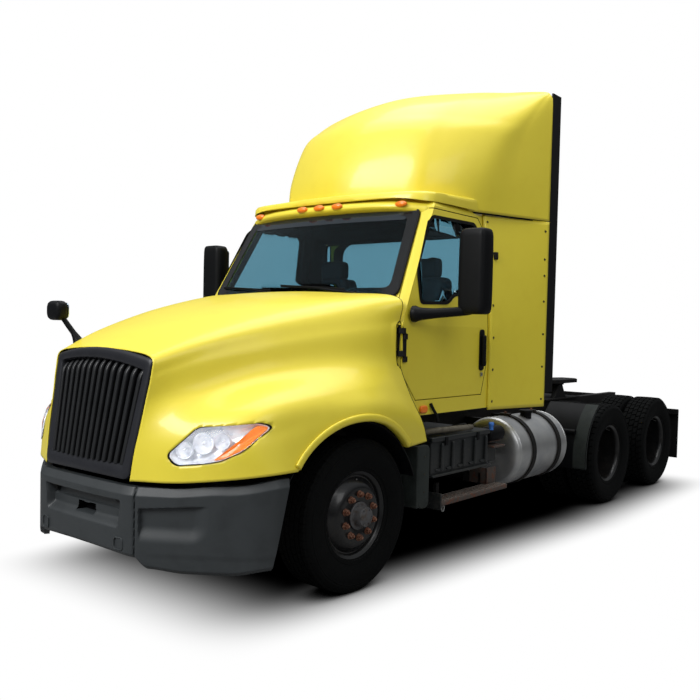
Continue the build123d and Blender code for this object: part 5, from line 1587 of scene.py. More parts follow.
STEER_DISC = Disc(
    section=((.303, .118), (.3015, .1195), (.297, .119), (.289, .111), (.27, .103), (.262, .094),
             (.257, .08), (.25, .08), (.236, .095), (.217, .118), (.2, .129), (.19, .1335),
             (.18, .135), (.095, .135), (.092, .133), (.0, .133), (.0, .12), (.17, .121),
             (.19, .117), (.214, .102), (.24, .07), (.249, .05), (.251, -.06), (.262, -.1),
             (.288, -.11), (.303, -.119), (.303, -.112), (.286, -.102), (.268, -.08),
             (.268, .08), (.286, .102), (.303, .112)),
    centre=.99, face=1.123,
    hub=((.092, 1.122), (.092, 1.13), (.086, 1.134), (.07, 1.135), (.066, 1.141),
         (.066, 1.184), (.062, 1.19), (.046, 1.192), (.04, 1.196), (.03, 1.1985), (.0, 1.199)),
    cap_bolts=6, cap_circle=.054, cap_face=1.19)
DRIVE_DISC = Disc(
    section=((.303, .118), (.3015, .1195), (.297, .119), (.289, .111), (.27, .103), (.262, .094),
             (.258, .06), (.253, -.04), (.249, -.1), (.243, -.118), (.226, -.135),
             (.205, -.149), (.185, -.1555), (.09, -.1565), (.0, -.1565), (.0, -.164),
             (.185, -.164), (.205, -.163), (.246, -.16), (.262, -.112), (.288, -.11),
             (.303, -.119), (.303, -.112), (.286, -.102), (.268, -.08), (.268, .08),
             (.286, .102), (.303, .112)),
    centre=1.088, face=.9303,
    hub=((.118, .93), (.118, .944), (.112, .95), (.096, .952), (.092, .96), (.092, 1.034),
         (.086, 1.042), (.06, 1.046), (.056, 1.052), (.0, 1.052)),
    cap_bolts=8, cap_circle=.07, cap_face=1.045, inner=.752)


@dataclass(frozen=True)
class Wheel:
    """A steel disc wheel, or two back to back, with its nuts and hub, on one side."""

    name: str
    body: str
    node: str
    x: float
    side: float
    disc: Disc
    nuts: int = 10
    nut_circle: float = 0.142875
    nut_radius: float = .019
    stud_radius: float = .0105
    valve: tuple = ((.256, .06), (.246, .074), (.238, .094), (.236, .11))

    def round_axle(self, radius: float, out: float, angle: float) -> tuple:
        """A point at a radius from the axle, out from the centre plane, at an angle."""
        return (self.x + radius * np.cos(angle), self.side * out,
                WHEEL_Z + radius * np.sin(angle))

    def rim(self, shift: float, sign: float) -> Surface:
        """The disc's section turned about the axle, its distances laid out by sign."""
        section = [(r, w + sign * shift) for r, w in self.disc.section]
        return spun(section, (self.x, 0.0, WHEEL_Z), count=72, closed=True, sign=self.side * sign)

    def build(self) -> None:
        """The wheel as one piece on its body."""
        made, disc = Piece(self.name, self.body, "wheel_paint", (self.node,)), self.disc
        made.add(self.rim(disc.centre, 1.0), WHEEL_BLACK)
        if disc.inner:
            made.add(self.rim(disc.inner, -1.0), WHEEL_BLACK)
        made.add(spun(disc.hub, (self.x, 0.0, WHEEL_Z), count=48, sign=self.side), HUB_GREY)
        out = (0, self.side, 0)
        for k in range(self.nuts):
            angle = 2 * np.pi * (k + .5) / self.nuts
            place = self.round_axle(self.nut_circle, disc.face, angle)
            made.add(bolt(place, out, self.nut_radius, .03, .024), RUSTY_NUT)
            place = self.round_axle(self.nut_circle, disc.face + .027, angle)
            made.add(bolt(place, out, self.stud_radius, .012), RUSTY_NUT)
        for angle in turns(disc.cap_bolts):
            place = self.round_axle(disc.cap_circle, disc.cap_face, angle)
            made.add(bolt(place, out, .007, .007), HUB_GREY)
        stem = [self.round_axle(r, disc.centre + w, np.pi / 2) for r, w in self.valve]
        made.add(tube(np.array(stem), .0045, 8), BRIGHT_STEEL)
        made.build(smooth=38)


@dataclass(frozen=True)
class Tread:
    """A tyre's tread: grooves round it, and lugs across it that slant and step by row."""

    grooves: tuple[float, ...]
    lugs: int
    lug_gap: float
    lug_depth: float
    slant: float
    groove_width: float = 0.009
    depth: float = 0.015


STEER_TREAD = Tread((-.08, -.042, 0.0, .042, .08), 60, .1, .004, .0)
DRIVE_TREAD = Tread((-.078, -.028, .028, .078), 46, .2, .016, .35)


@dataclass(frozen=True)
class TyreSet:
    """The tyres of one wheel body: sidewalls spun about the axle, and a lugged tread."""

    name: str
    body: str
    node: str
    x: float
    centres: tuple[float, ...]
    tread: Tread
    radius: float = .505
    shoulder: tuple = ((.117, .5025), (.1235, .4965), (.1275, .488))
    sidewall: tuple = ((.49, .129), (.48, .138), (.468, .146), (.46, .1475), (.456, .1455),
                       (.452, .146), (.43, .1488), (.395, .148), (.362, .142), (.33, .132),
                       (.304, .122), (.29, .116), (.284, .104))
    rings: tuple = ((.318, .1285), (.448, .147))

    def columns(self) -> list:
        """The tread's lines round the tyre: distance across, radius, and 1 raised or 0 sunk.

        Returns:
            One (across, radius, raised) for each line.
        """
        half, wall = self.tread.groove_width / 2, .0008
        stops = [(-w, r, 1.0) for w, r in self.shoulder[::-1]]
        for g in self.tread.grooves:
            stops += [(w, self.radius - .0028 * (w / .117) ** 2, up) for w, up in
                      ((g - half - wall, 1.0), (g - half + wall, 0.0),
                       (g + half - wall, 0.0), (g + half + wall, 1.0))]
        return stops + [(w, r, 1.0) for w, r in self.shoulder]

    def surface(self) -> Surface:
        """One tyre about the origin.

        Each lug spans one pitch; its gap lies between pitch shares 0 and lug_gap, with steep
        walls.  Rows between grooves are turned by half a pitch against each other, and lines
        across the tread are sheared by slant of the distance from the middle.

        Returns:
            The tread, both sidewalls and their moulded rings.
        """
        tread, edge_w = self.tread, self.shoulder[-1][0]
        shares = np.array([.0, .02, tread.lug_gap - .02, tread.lug_gap, .5 + tread.lug_gap / 2])
        pitch = 2 * np.pi / tread.lugs
        turn = (np.arange(tread.lugs)[:, None] + shares[None]).ravel() * pitch
        cut = np.tile([0, 1, 1, 0, 0], tread.lugs)
        lines = []
        for w, top, raised in self.columns():
            row = np.searchsorted(tread.grooves, w)
            depth = cut * min(tread.lug_depth, tread.depth) if raised else tread.depth + 0 * cut
            angle = turn + (row % 2) * pitch * .5 + tread.slant * w / self.radius
            lines.append(np.stack([(top - depth) * np.cos(angle), np.full(len(angle), w),
                                   (top - depth) * np.sin(angle)], -1))
        parts = [lattice(np.stack(lines, 1), close_u=True)]
        r, w = np.array(self.sidewall).T
        lower = (r[0] - .6 * np.where(cut, min(tread.lug_depth, .012), 0)) / r[0]
        for sign in (-1.0, 1.0):
            stepped = (len(tread.grooves) % 2) * pitch * .5 if sign > 0 else 0
            angle = turn[:, None] + tread.slant * sign * edge_w / self.radius + stepped
            grid = np.stack([r * np.cos(angle), sign * w + 0 * angle, r * np.sin(angle)], -1)
            grid[:, 0, ::2] *= lower[:, None]
            side = joined([lattice(grid, close_u=True),
                           *(self.raised_ring(*ring, sign) for ring in self.rings)])
            parts.append(side if sign > 0 else side.flipped())
        return joined(parts).flipped()

    def raised_ring(self, radius: float, across: float, sign: float) -> Surface:
        """A fine ring moulded on a sidewall.

        Args:
            radius: the ring's middle radius.
            across: the sidewall's distance from the tyre's middle.
            sign: which sidewall, +1 or -1.

        Returns:
            The ring.
        """
        profile = [(radius + r, sign * (across + w)) for r, w in
                   ((-.004, 0), (-.0015, .0016), (.0015, .0016), (.004, 0))]
        return spun(profile, (0, 0, 0), count=72)

    def build(self) -> None:
        """One tyre, or the pair of a twin wheel."""
        made = Piece(self.name, self.body, "tyre_rubber", (self.node,))
        for y in self.centres:
            made.add(self.surface().moved((self.x, y, WHEEL_Z)), TYRE)
        made.build(smooth=30)


def wheels_and_tyres() -> list:
    """Two steered wheels and four twin driven ones, with their tyres.

    Returns:
        The wheels and tyre sets, in building order.
    """
    made = []
    for side, sign in SIDES.items():
        body = f"wheel_front_{side}"
        made += [Wheel(f"steer_wheel_{side}", body, f"front_wheel_{side}", 0.0, sign, STEER_DISC),
                 TyreSet(f"steer_tyre_{side}", body, f"front_tyre_{side}", 0.0,
                         (sign * STEER_DISC.centre,), STEER_TREAD)]
        for number in (1, 2):
            end = f"{number}_{side}"
            x = JOINTS[f"drive_wheel_spin_{end}"]["pos_m"][0] - AXLE_X
            body = f"wheel_drive_{end}"
            made += [Wheel(f"twin_wheel_{end}", body, f"drive_wheels_{end}", x, sign, DRIVE_DISC),
                     TyreSet(f"twin_tyres_{end}", body, f"drive_tyres_{end}", x,
                             (sign * DRIVE_DISC.centre, sign * DRIVE_DISC.inner), DRIVE_TREAD)]
    return made


# ------------------------------------------------------------------ cab form
@dataclass(frozen=True)
class CabForm:
    """The cab's outer form, which windows, trim and mirrors follow.

    The sides are a profile of (height, distance out); the front is a nose line whose x falls
    back by a drop at the corners.
    """

    side: tuple = ((1.09, 1.08), (1.76, 1.08), (1.95, 1.068), (2.2, 1.0425),
                   (2.665, .985), (2.687, .982))
    nose: tuple = ((1.76, -.455), (1.95, -.478), (2.665, -.835), (2.76, -.895))
    corner_drop: tuple = ((1.76, -.03), (1.95, -.062), (2.665, -.09), (2.76, -.1))
    corner_y: tuple = ((1.76, 1.058), (1.95, 1.03), (2.665, .925), (2.76, .88))
    lean: Pair = (.895, .446)

    def side_y(self, z: Array) -> Array:
        """The side's distance from the centre plane at a height."""
        return np.interp(z, *np.array(self.side).T)

    def on_front(self, flat: Array, proud: float = 0.0) -> Array:
        """Points on the front from (across, height): x = nose(z) + drop(z) (y / corner(z))^2.

        Args:
            flat: points (n, 2).
            proud: distance moved out along the lean's normal.

        Returns:
            Points (n, 3).
        """
        y, z = flat[:, 0], flat[:, 1]
        nose, drop, corner = (np.interp(z, *np.array(line).T)
                              for line in (self.nose, self.corner_drop, self.corner_y))
        x = nose + drop * (y / corner) ** 2
        return np.stack([x + self.lean[0] * proud, y, z + self.lean[1] * proud], -1)

    def on_side(self, sign: float, proud: float) -> Callable[[Array], Array]:
        """A lift from (x, height) onto the side, proud of it.

        Args:
            sign: +1 for the left, -1 for the right.
            proud: distance out from the wall.

        Returns:
            A function from points (n, 2) to points (n, 3).
        """
        def lift(flat: Array) -> Array:
            """Points on the side above flat ones."""
            return np.stack([flat[:, 0], sign * (self.side_y(flat[:, 1]) + proud), flat[:, 1]], -1)
        return lift


CAB = CabForm()
SCREEN = rounded([(-.985, 1.962), (.985, 1.962), (.905, 2.636), (-.905, 2.636)], .07, 8)
SIDE_WINDOW = rounded([(-.7, 1.925), (-.683, 2.165), (-.88, 2.54), (-.93, 2.58),
                       (-1.495, 2.588), (-1.538, 2.545), (-1.538, 2.015), (-1.26, 2.011),
                       (-1.145, 2.003), (-1.06, 1.938)], .045, 6)
REAR_WINDOW = rounded([(-.8, 2.04), (.8, 2.04), (.8, 2.52), (-.8, 2.52)], .06, 6)


# ------------------------------------------------------------------ roof fairing and extenders
@dataclass(frozen=True)
class RoofFairing:
    """The roof fairing: its skin, the sloping apron round its foot, and the seal at its base."""

    rails: tuple = (
        ((-.9, 0, 2.69), (-.935, 0, 2.99), (-1.08, 0, 3.34), (-1.23, 0, 3.505),
         (-1.48, 0, 3.668), (-1.9, 0, 3.838), (-2.29, 0, 3.9)),
        ((-1.045, .584, 2.69), (-1.08, .584, 2.99), (-1.2, .57, 3.34),
         (-1.365, .562, 3.5), (-1.62, .56, 3.66), (-2.0, .575, 3.815),
         (-2.29, .59, 3.872)),
        ((-1.18, .78, 2.69), (-1.215, .8, 2.99), (-1.37, .8, 3.33),
         (-1.545, .805, 3.49), (-1.78, .82, 3.645), (-2.08, .85, 3.785),
         (-2.29, .88, 3.845)),
        ((-1.48, .975, 2.69), (-1.54, 1.01, 2.99), (-1.715, 1.055, 3.33),
         (-1.86, 1.08, 3.48), (-2.02, 1.11, 3.62), (-2.18, 1.145, 3.745),
         (-2.29, 1.165, 3.805)),
        ((-1.86, 1.11, 2.69), (-1.89, 1.128, 2.99), (-1.985, 1.15, 3.33),
         (-2.06, 1.172, 3.47), (-2.14, 1.195, 3.6), (-2.23, 1.218, 3.715),
         (-2.29, 1.23, 3.772)),
        ((-2.29, 1.256, 2.69), (-2.29, 1.256, 2.99), (-2.29, 1.256, 3.32),
         (-2.29, 1.256, 3.45), (-2.29, 1.256, 3.57), (-2.29, 1.255, 3.675),
         (-2.29, 1.25, 3.735)))
    apron_rim: tuple = ((-.77, 0), (-.78, .3), (-.8, .58), (-.83, .78), (-.872, .89),
                        (-.94, .955), (-1.05, .982), (-1.3, .993), (-1.62, 1.004))
    apron_inner: tuple = ((-.93, 0), (-.96, .3), (-1.06, .56), (-1.11, .68), (-1.15, .74),
                          (-1.2, .79), (-1.3, .865), (-1.45, .945), (-1.64, 1.01))
    apron_section: tuple = ((.03, 2.722), (.0, 2.728), (.015, 2.75), (.06, 2.77),
                            (.3, 2.784), (.65, 2.792), (1.0, 2.8), (1.0, 2.7))
    apron_fall: float = .03

    def half_skin(self) -> Array:
        """The left half of the skin as a grid, from the foot up and from the centre out.

        Returns:
            Points (rows, columns, 3).
        """
        first = 1 / len(self.rails)
        across = first + (1 - first) * np.linspace(0, 1, 90)
        return rail_grid(across_centre(self.rails), np.linspace(0, 1, 80), across)

    def apron(self) -> Surface:
        """The left half of the apron: rows between its rim and the fairing's foot.

        Returns:
            The apron.
        """
        along = np.linspace(0, 1, 90)
        rim, inner = (smooth_curve([(x, y, 0) for x, y in line], along)
                      for line in (self.apron_rim, self.apron_inner))
        rows = []
        for share, height in self.apron_section:
            row = rim + (inner - rim) * share
            fall = self.apron_fall * smoothstep(along, .22, .62)
            row[:, 2] = height - (fall if share < .01 else 0)
            rows.append(row)
        return faced(lattice(np.stack(rows)), (0, 0, 1))

    def build(self) -> None:
        """The fairing as three pieces on the cab roof."""
        fairing = Piece("fairing_skin", "root", "body_paint", ("roof_fairing",))
        half = self.half_skin()
        fairing.add(faced(lattice(both_halves(half)), (.5, 0, 1)), YELLOW)
        fairing.build(smooth=60, wall=0.01)
        apron = Piece("fairing_apron", "root", "body_paint")
        apron.add_pair(self.apron(), YELLOW).build(smooth=50)
        seal = Piece("fairing_base_seal", "root", "black_rubber")
        foot = half[0][half[0][:, 1] > .9]
        strip = np.stack([foot - (.0, .014, -.045), foot - (.0, .014, .012)])
        seal.add_pair(faced(lattice(strip), (0, 1, 0)), RUBBER).build(wall=0.004)


@dataclass(frozen=True)
class SideExtenders:
    """The side extenders: skins flaring out to the fairing's rear edge, bolts and brackets."""

    front_x: float = -1.625
    rear_x: float = -2.29
    heights: Pair = (1.092, 2.684)
    rear_y: float = 1.257
    proud: float = .022
    bolt_columns: tuple = ((.055, (1.16, 1.42, 1.68, 1.94, 2.2, 2.42, 2.62)),
                           (.945, (1.16, 1.44, 1.72, 2.0, 2.22, 2.36, 2.6)))
    brackets_z: Pair = (1.35, 2.35)

    def flare(self, share: Array, z: Array) -> Array:
        """Points at a share of the way back: y runs from the cab's side to rear_y by share^1.15.

        Args:
            share: 0 at the front edge and 1 at the rear.
            z: height.

        Returns:
            Points (..., 3).
        """
        front = CAB.side_y(z) + self.proud
        x = self.front_x + share * (self.rear_x - self.front_x)
        return np.stack([x, front + (self.rear_y - front) * share ** 1.15, z], -1)

    def build(self) -> None:
        """The skins as one piece, and what is screwed to them as another."""
        made = Piece("extender_skins", "root", "body_paint", ("side_extenders",))
        share, z = np.meshgrid(np.linspace(0, 1, 40), np.linspace(*self.heights, 50),
                               indexing="ij")
        grid = self.flare(share, z)
        grid[..., 1] -= .012 * (1 - smoothstep(share, 0, .03))
        made.add_pair(lattice(grid), YELLOW).build(smooth=40, wall=0.016)
        bolts = Piece("extender_bolts", "root", "chassis_paint")
        axis = np.array([.26, 1.0, .02])
        for share, heights in self.bolt_columns:
            for z in heights:
                place = self.flare(np.array(share), np.array(z)) - .001 * axis
                bolts.add_pair(bolt(place, axis, .0075, .006, .0125), SMALL_BOLT)
        for z in self.brackets_z:
            bolts.add_pair(soft_box((-1.735, .95, z - .03), (-1.7, 1.09, z + .03), .004),
                           CHASSIS)
        bolts.build(smooth=30)


# ------------------------------------------------------------------ windows, doors and roof trim
def ring_strip(outline: Array, insets: Profile, lift: Callable[[Array], Array]) -> Surface:
    """A strip between two copies of an outline drawn in by (x, y) distances, lifted into space.

    Args:
        outline: points (n, 2).
        insets: (x, y) inset of each copy.
        lift: puts flat points into space.

    Returns:
        The strip.
    """
    middle = (outline.max(0) + outline.min(0)) / 2
    half = (outline.max(0) - outline.min(0)) / 2
    rows = [lift(middle + (outline - middle) * (1 - np.array(inset) / half)) for inset in insets]
    return lattice(np.stack(rows), close_v=True)


def upright(x: float) -> Callable[[Array], Array]:
    """A lift from (across, height) onto the plane at x."""
    return lambda flat: np.stack([np.full(len(flat), x), flat[:, 0], flat[:, 1]], -1)


@dataclass(frozen=True)
class Windows:
    """Windscreen and rear window, their printed borders and seals, and the wipers."""

    ahead: Triple = (1, 0, .4)
    rear_x: float = -1.702
    border: Pair = (.083, .058)
    shade_band: tuple = ((-.82, 2.545), (.82, 2.545), (.8, 2.625), (-.8, 2.625))
    wiper_rows: tuple = ((.62, -.06, 2.035), (-.16, -.8, 2.03))

    def build(self) -> None:
        """Glass, borders and wipers as three pieces."""
        glass = Piece("cab_windows", "root", "window_glass", ("cab_glass",))
        glass.add(faced(panel(SCREEN, [], lambda p: CAB.on_front(p, .016), .09), self.ahead),
                  GLASS)
        glass.add(faced(panel(REAR_WINDOW, [], upright(self.rear_x), .2), (-1, 0, 0)), GLASS)
        glass.build(smooth=60, wall=0.005)
        trim = Piece("window_borders", "root", "black_rubber")
        border = ring_strip(SCREEN, ((.0, .0), self.border), lambda p: CAB.on_front(p, .0185))
        trim.add(faced(border, self.ahead), FRIT)
        trim.add(tube(CAB.on_front(closed_line(SCREEN), .012), .01, 8, caps=False), RUBBER)
        band = panel(rounded(self.shade_band, .02), [], lambda p: CAB.on_front(p, .018), .08)
        trim.add(faced(band, self.ahead), SHADE_BAND)
        seal = upright(self.rear_x - .001)(closed_line(REAR_WINDOW))
        trim.add(tube(seal, .014, 8, caps=False), RUBBER).build(smooth=50)
        self.build_wipers()

    def build_wipers(self) -> None:
        """Two wipers lying along the foot of the windscreen."""
        wipers = Piece("wipers", "root", "dark_plastic")
        for start, end, height in self.wiper_rows:
            arm = np.array([(start, 1.975), (start - .2, 1.992), ((start + end) / 2, 2.008)])
            blade = np.linspace((start - .1, 2.0), (end - .1, height), 14)
            for line, proud, radius in ((arm, .034, .008), (blade, .027, .006),
                                        (blade + (0, .006), .035, .0045)):
                wipers.add(tube(CAB.on_front(line, proud), radius, 8), BLACK_PLASTIC)
            pivot = CAB.on_front(np.array([(start, 1.97)]), .02)[0]
            wipers.add(bolt(pivot, (.9, 0, .44), .012, .02, .022), BLACK_PLASTIC)
        wipers.build(smooth=40)


@dataclass(frozen=True)
class Doors:
    """Door trim: window glass with its seal and reveal, handle and lock."""

    glass_depth: float = .016
    seal: float = .012
    handle_well: tuple = ((-1.488, 1.415), (-1.56, 1.415), (-1.56, 1.745), (-1.488, 1.745))
    handle_grip: tuple = ((-1.505, 1.45), (-1.543, 1.45), (-1.543, 1.7), (-1.505, 1.7))
    lock: tuple = ((.016, 1.082), (.016, 1.092), (.011, 1.094), (.0, 1.094))

    def build(self) -> None:
        """Glass and trim of both doors, each riding on its own body."""
        for name, sign in SIDES.items():
            body = f"door_{name}"
            glass = Piece(f"door_window_{name}", body, "window_glass", (f"door_glass_{name}",))
            sheet = panel(SIDE_WINDOW, [], CAB.on_side(sign, -self.glass_depth), .12)
            glass.add(faced(sheet, (0, sign, 0)), GLASS).build(smooth=60, wall=0.005)
            trim = Piece(f"door_trim_{name}", body, "black_rubber")
            lift, deep = CAB.on_side(sign, .0025), CAB.on_side(sign, -.018)
            strip = ring_strip(SIDE_WINDOW, ((-self.seal,) * 2, (self.seal,) * 2), lift)
            trim.add(faced(strip, (0, sign, 0)), RUBBER)
            middle = (SIDE_WINDOW.max(0) + SIDE_WINDOW.min(0)) / 2
            half = (SIDE_WINDOW.max(0) - SIDE_WINDOW.min(0)) / 2
            inner = middle + (SIDE_WINDOW - middle) * (1 - self.seal / half)
            trim.add(lattice(np.stack([lift(inner), deep(inner)]), close_v=True), RUBBER)
            for outline, corner, low, high, rim in (
                    (self.handle_well, .034, 1.082, 1.09, .004),
                    (self.handle_grip, .018, 1.088, 1.124, .014)):
                trim.add(pebble(rounded(outline, corner), sign * low, sign * high, Plane.SIDE,
                                rim), BLACK_PLASTIC)
            trim.add(spun(self.lock, (-1.524, 0, 1.385), count=24, sign=sign), BRIGHT_STEEL)
            trim.build(smooth=40)


@dataclass(frozen=True)
class RoofBrow:
    """The moulded brow over the windscreen that carries the marker lamps."""

    profile: tuple = ((2.628, .002), (2.634, .03), (2.646, .058), (2.662, .078), (2.682, .086),
                      (2.7, .078), (2.712, .06), (2.716, .03), (2.716, .002))
    fade_y: float = .96
    half_width: float = .955
    markers_y: tuple = (-.77, -.19, .0, .19, .77)
    marker_half: Pair = (.055, .026)
    marker_dome: tuple = ((1.0, .0), (1.0, .008), (.86, .018), (.5, .025), (.01, .027))
    side_marker: tuple = ((-.695, 1.125), (-.785, 1.125), (-.785, 1.18), (-.695, 1.18))
    strap: tuple = ((-.83, 1.088, 1.19), (-.845, 1.1, 1.15), (-.875, 1.112, 1.1),
                    (-.895, 1.112, 1.05))

    def surface(self, across: Array, up: float) -> Array:
        """Points on the brow: proud of the cab's front by the profile.

        The proudness is scaled by 1 - (|y| / fade_y)^8, so that it fades at the corners, and
        the brow sinks there by 30 mm (|y| / fade_y)^4.

        Args:
            across: distances to the left (n,).
            up: share of the way up the profile.

        Returns:
            Points (n, 3).
        """
        steps = np.linspace(0, 1, len(self.profile))
        z, proud = (np.interp(up, steps, column) for column in np.array(self.profile).T)
        out = np.abs(across) / self.fade_y
        place = CAB.on_front(np.stack([across, np.full(len(across), z)], -1))
        place[:, 0] += proud * 1.1 * (1 - np.minimum(out, 1) ** 8) + .002
        place[:, 2] -= .03 * out ** 4
        return place

    def marker(self, y: float) -> Surface:
        """An oval marker lamp on the brow.

        Args:
            y: its place across the roof.

        Returns:
            The lamp.
        """
        (wide, high), out = self.marker_half, np.array([.8, 0.0, .6])
        axes = (np.array([0, wide, 0]), np.array([-.6, 0.0, .8]) * high, out)
        lamp = turned(self.marker_dome, self.surface(np.array([y]), .5)[0], axes, 24)
        return faced(lamp, out)

    def build(self) -> None:
        """The brow as one piece."""
        brow = Piece("roof_brow", "root", "body_paint")
        across = np.linspace(-self.half_width, self.half_width, 90)
        grid = np.stack([self.surface(across, up) for up in np.linspace(0, 1, 25)])
        brow.add(faced(lattice(grid), (1, 0, .3)), YELLOW).build(smooth=60, wall=0.004)

    def build_lamps(self) -> None:
        """The marker lamps on the brow and on the sills, and the straps beside the sills."""
        lamps = Piece("roof_markers", "root", "lamp_lens")
        for y in self.markers_y:
            lamps.add(self.marker(y), AMBER)
        side = pebble(rounded(self.side_marker, .026), 1.082, 1.1, Plane.SIDE, .01)
        lamps.add_pair(side, AMBER).build(smooth=60)
        straps = Piece("cab_straps", "root", "black_rubber")
        path = smooth_curve(self.strap, np.linspace(0, 1, 14))
        straps.add_pair(tube(path, .012, 8), RUBBER).build(smooth=50)


@dataclass(frozen=True)
class Mirrors:
    """Door mirrors on pod-like arms, and the hood mirror on the right."""

    head: tuple = ((-.8, 1.3), (-.945, 1.305), (-.945, 1.53), (-.872, 1.538),
                   (-.8, 1.52))
    head_rows: tuple = ((1.85, .62), (1.853, .76), (1.862, .88), (1.88, .955), (1.905, .985),
                        (2.0, 1.0), (2.15, 1.0), (2.3, .995), (2.4, .975), (2.428, .945),
                        (2.446, .87), (2.454, .76), (2.457, .62))
    face: tuple = ((1.325, 1.885), (1.512, 1.885), (1.512, 2.42), (1.325, 2.42))
    arm: tuple = ((-.585, 1.086, 1.842), (-.6, 1.125, 1.842), (-.655, 1.175, 1.846),
                  (-.74, 1.25, 1.856), (-.85, 1.36, 1.872), (-.872, 1.4, 1.88))
    arm_radii: tuple = ((0, .058), (.12, .06), (.25, .046), (.5, .036), (1.0, .03))
    hood_head: tuple = ((1.03, -.775, 1.735), (1.112, -.61, 1.868))
    hood_face: tuple = ((-.762, 1.748), (-.622, 1.748), (-.622, 1.856), (-.762, 1.856))
    hood_arm: tuple = ((.985, -.565, 1.585), (1.005, -.585, 1.64), (1.035, -.62, 1.705),
                       (1.06, -.655, 1.765))
    hood_radii: tuple = ((0, .04), (.15, .03), (.4, .019), (1.0, .017))

    def stalk(self, path: tuple, radii: tuple, count: int, sides: int) -> Surface:
        """An arm along a smooth path whose radius follows (share of the way, radius).

        Args:
            path: control points.
            radii: (share of the way, radius) pairs.
            count: rings along the arm.
            sides: points round each ring.

        Returns:
            The arm.
        """
        steps = np.linspace(0, 1, count)
        radius = np.interp(steps, *np.array(radii).T)
        return outward(tube(smooth_curve(path, steps), radius, sides))

    def case(self) -> Surface:
        """The left mirror's housing: copies of one outline, shrunk towards both ends.

        Returns:
            The housing.
        """
        flat = rounded(self.head, .055, 6)
        middle, rows = flat.mean(0), []
        for z, grow in self.head_rows:
            ring = middle + (flat - middle) * grow
            rows.append(np.column_stack([ring, np.full(len(ring), z)]))
        case = lattice(np.stack(rows), close_v=True)
        n, last = len(flat), (len(rows) - 1) * len(flat)
        case.faces += [list(range(n))[::-1], [last + i for i in range(n)]]
        return outward(case)

    def build(self) -> None:
        """Three mirrors, each riding on its own body."""
        face = pebble(rounded(self.face, .03), -.952, -.944, Plane.FRONT, .003)
        for name, sign in SIDES.items():
            mirror = Piece(f"mirror_unit_{name}", f"door_{name}", "dark_plastic",
                           (f"mirror_{name}",))
            mirror.add(self.case().on_side(sign), BLACK_PLASTIC)
            mirror.add(outward(face).on_side(sign), MIRROR_GLASS)
            mirror.add(self.stalk(self.arm, self.arm_radii, 22, 16).on_side(sign), BLACK_PLASTIC)
            mirror.build(smooth=45)
        hood = Piece("hood_mirror_unit", "hood", "dark_plastic", ("hood_mirror",))
        hood.add(soft_box(*self.hood_head, .03, Plane.FRONT, .05), BLACK_PLASTIC)
        hood.add(self.stalk(self.hood_arm, self.hood_radii, 16, 14), BLACK_PLASTIC)
        glass = pebble(rounded(self.hood_face, .035), 1.024, 1.032, Plane.FRONT, .003)
        hood.add(outward(glass), MIRROR_GLASS).build(smooth=45)


# ------------------------------------------------------------------ sides of the chassis
@dataclass(frozen=True)
class FuelTanks:
    """Fuel tanks: brushed barrels with domed ends, filler caps and straps."""

    centre: Pair = (.852, .672)
    radius: float = .302
    ends: Pair = (-3.03, -2.06)
    dome: tuple = ((.0, .0), (.12, .001), (.2, .005), (.262, .014), (.288, .026), (.298, .042),
                   (.3015, .056), (.305, .059), (.305, .066), (.302, .069))
    straps_x: Pair = (-2.335, -2.815)
    cap: tuple = ((.052, -.03), (.052, .02), (.062, .022), (.062, .04), (.056, .046),
                  (.0, .048))
    cap_place: Pair = (-2.55, .09)

    def build(self) -> None:
        """The barrels as one piece, the straps and caps as another."""
        y, z = self.centre
        rear, front = self.ends
        profile = ([(r, rear + d) for r, d in self.dome]
                   + [(r, front - d) for r, d in reversed(self.dome)])
        tanks = Piece("tank_barrels", "root", "tank_aluminium", ("fuel_tanks",))
        tanks.add_pair(outward(spun(profile, (0, y, z), axis=0, count=96)), TANK).build(smooth=40)
        straps, r = Piece("tank_straps", "root", "chassis_paint"), self.radius
        high = z + r
        for x in self.straps_x:
            band = [(r + .001, x - .03), (r + .007, x - .029), (r + .007, x + .029),
                    (r + .001, x + .03)]
            loop = spun(band, (0, y, z), axis=0, count=96, closed=True)
            straps.add_pair(outward(loop), STRAP)
            straps.add_pair(soft_box((x - .022, y - .05, high + .006),
                                     (x + .022, y + .05, high + .024), .005), STRAP)
            straps.add_pair(bolt((x, y, high + .022), (0, 0, 1), .011, .016, .017), RUSTY_NUT)
        cap = [(r, high + up) for r, up in self.cap]
        place = (self.cap_place[0], y + self.cap_place[1], 0)
        straps.add_pair(outward(spun(cap, place, axis=2, count=32)), BLACK_PLASTIC)
        straps.build(smooth=40)


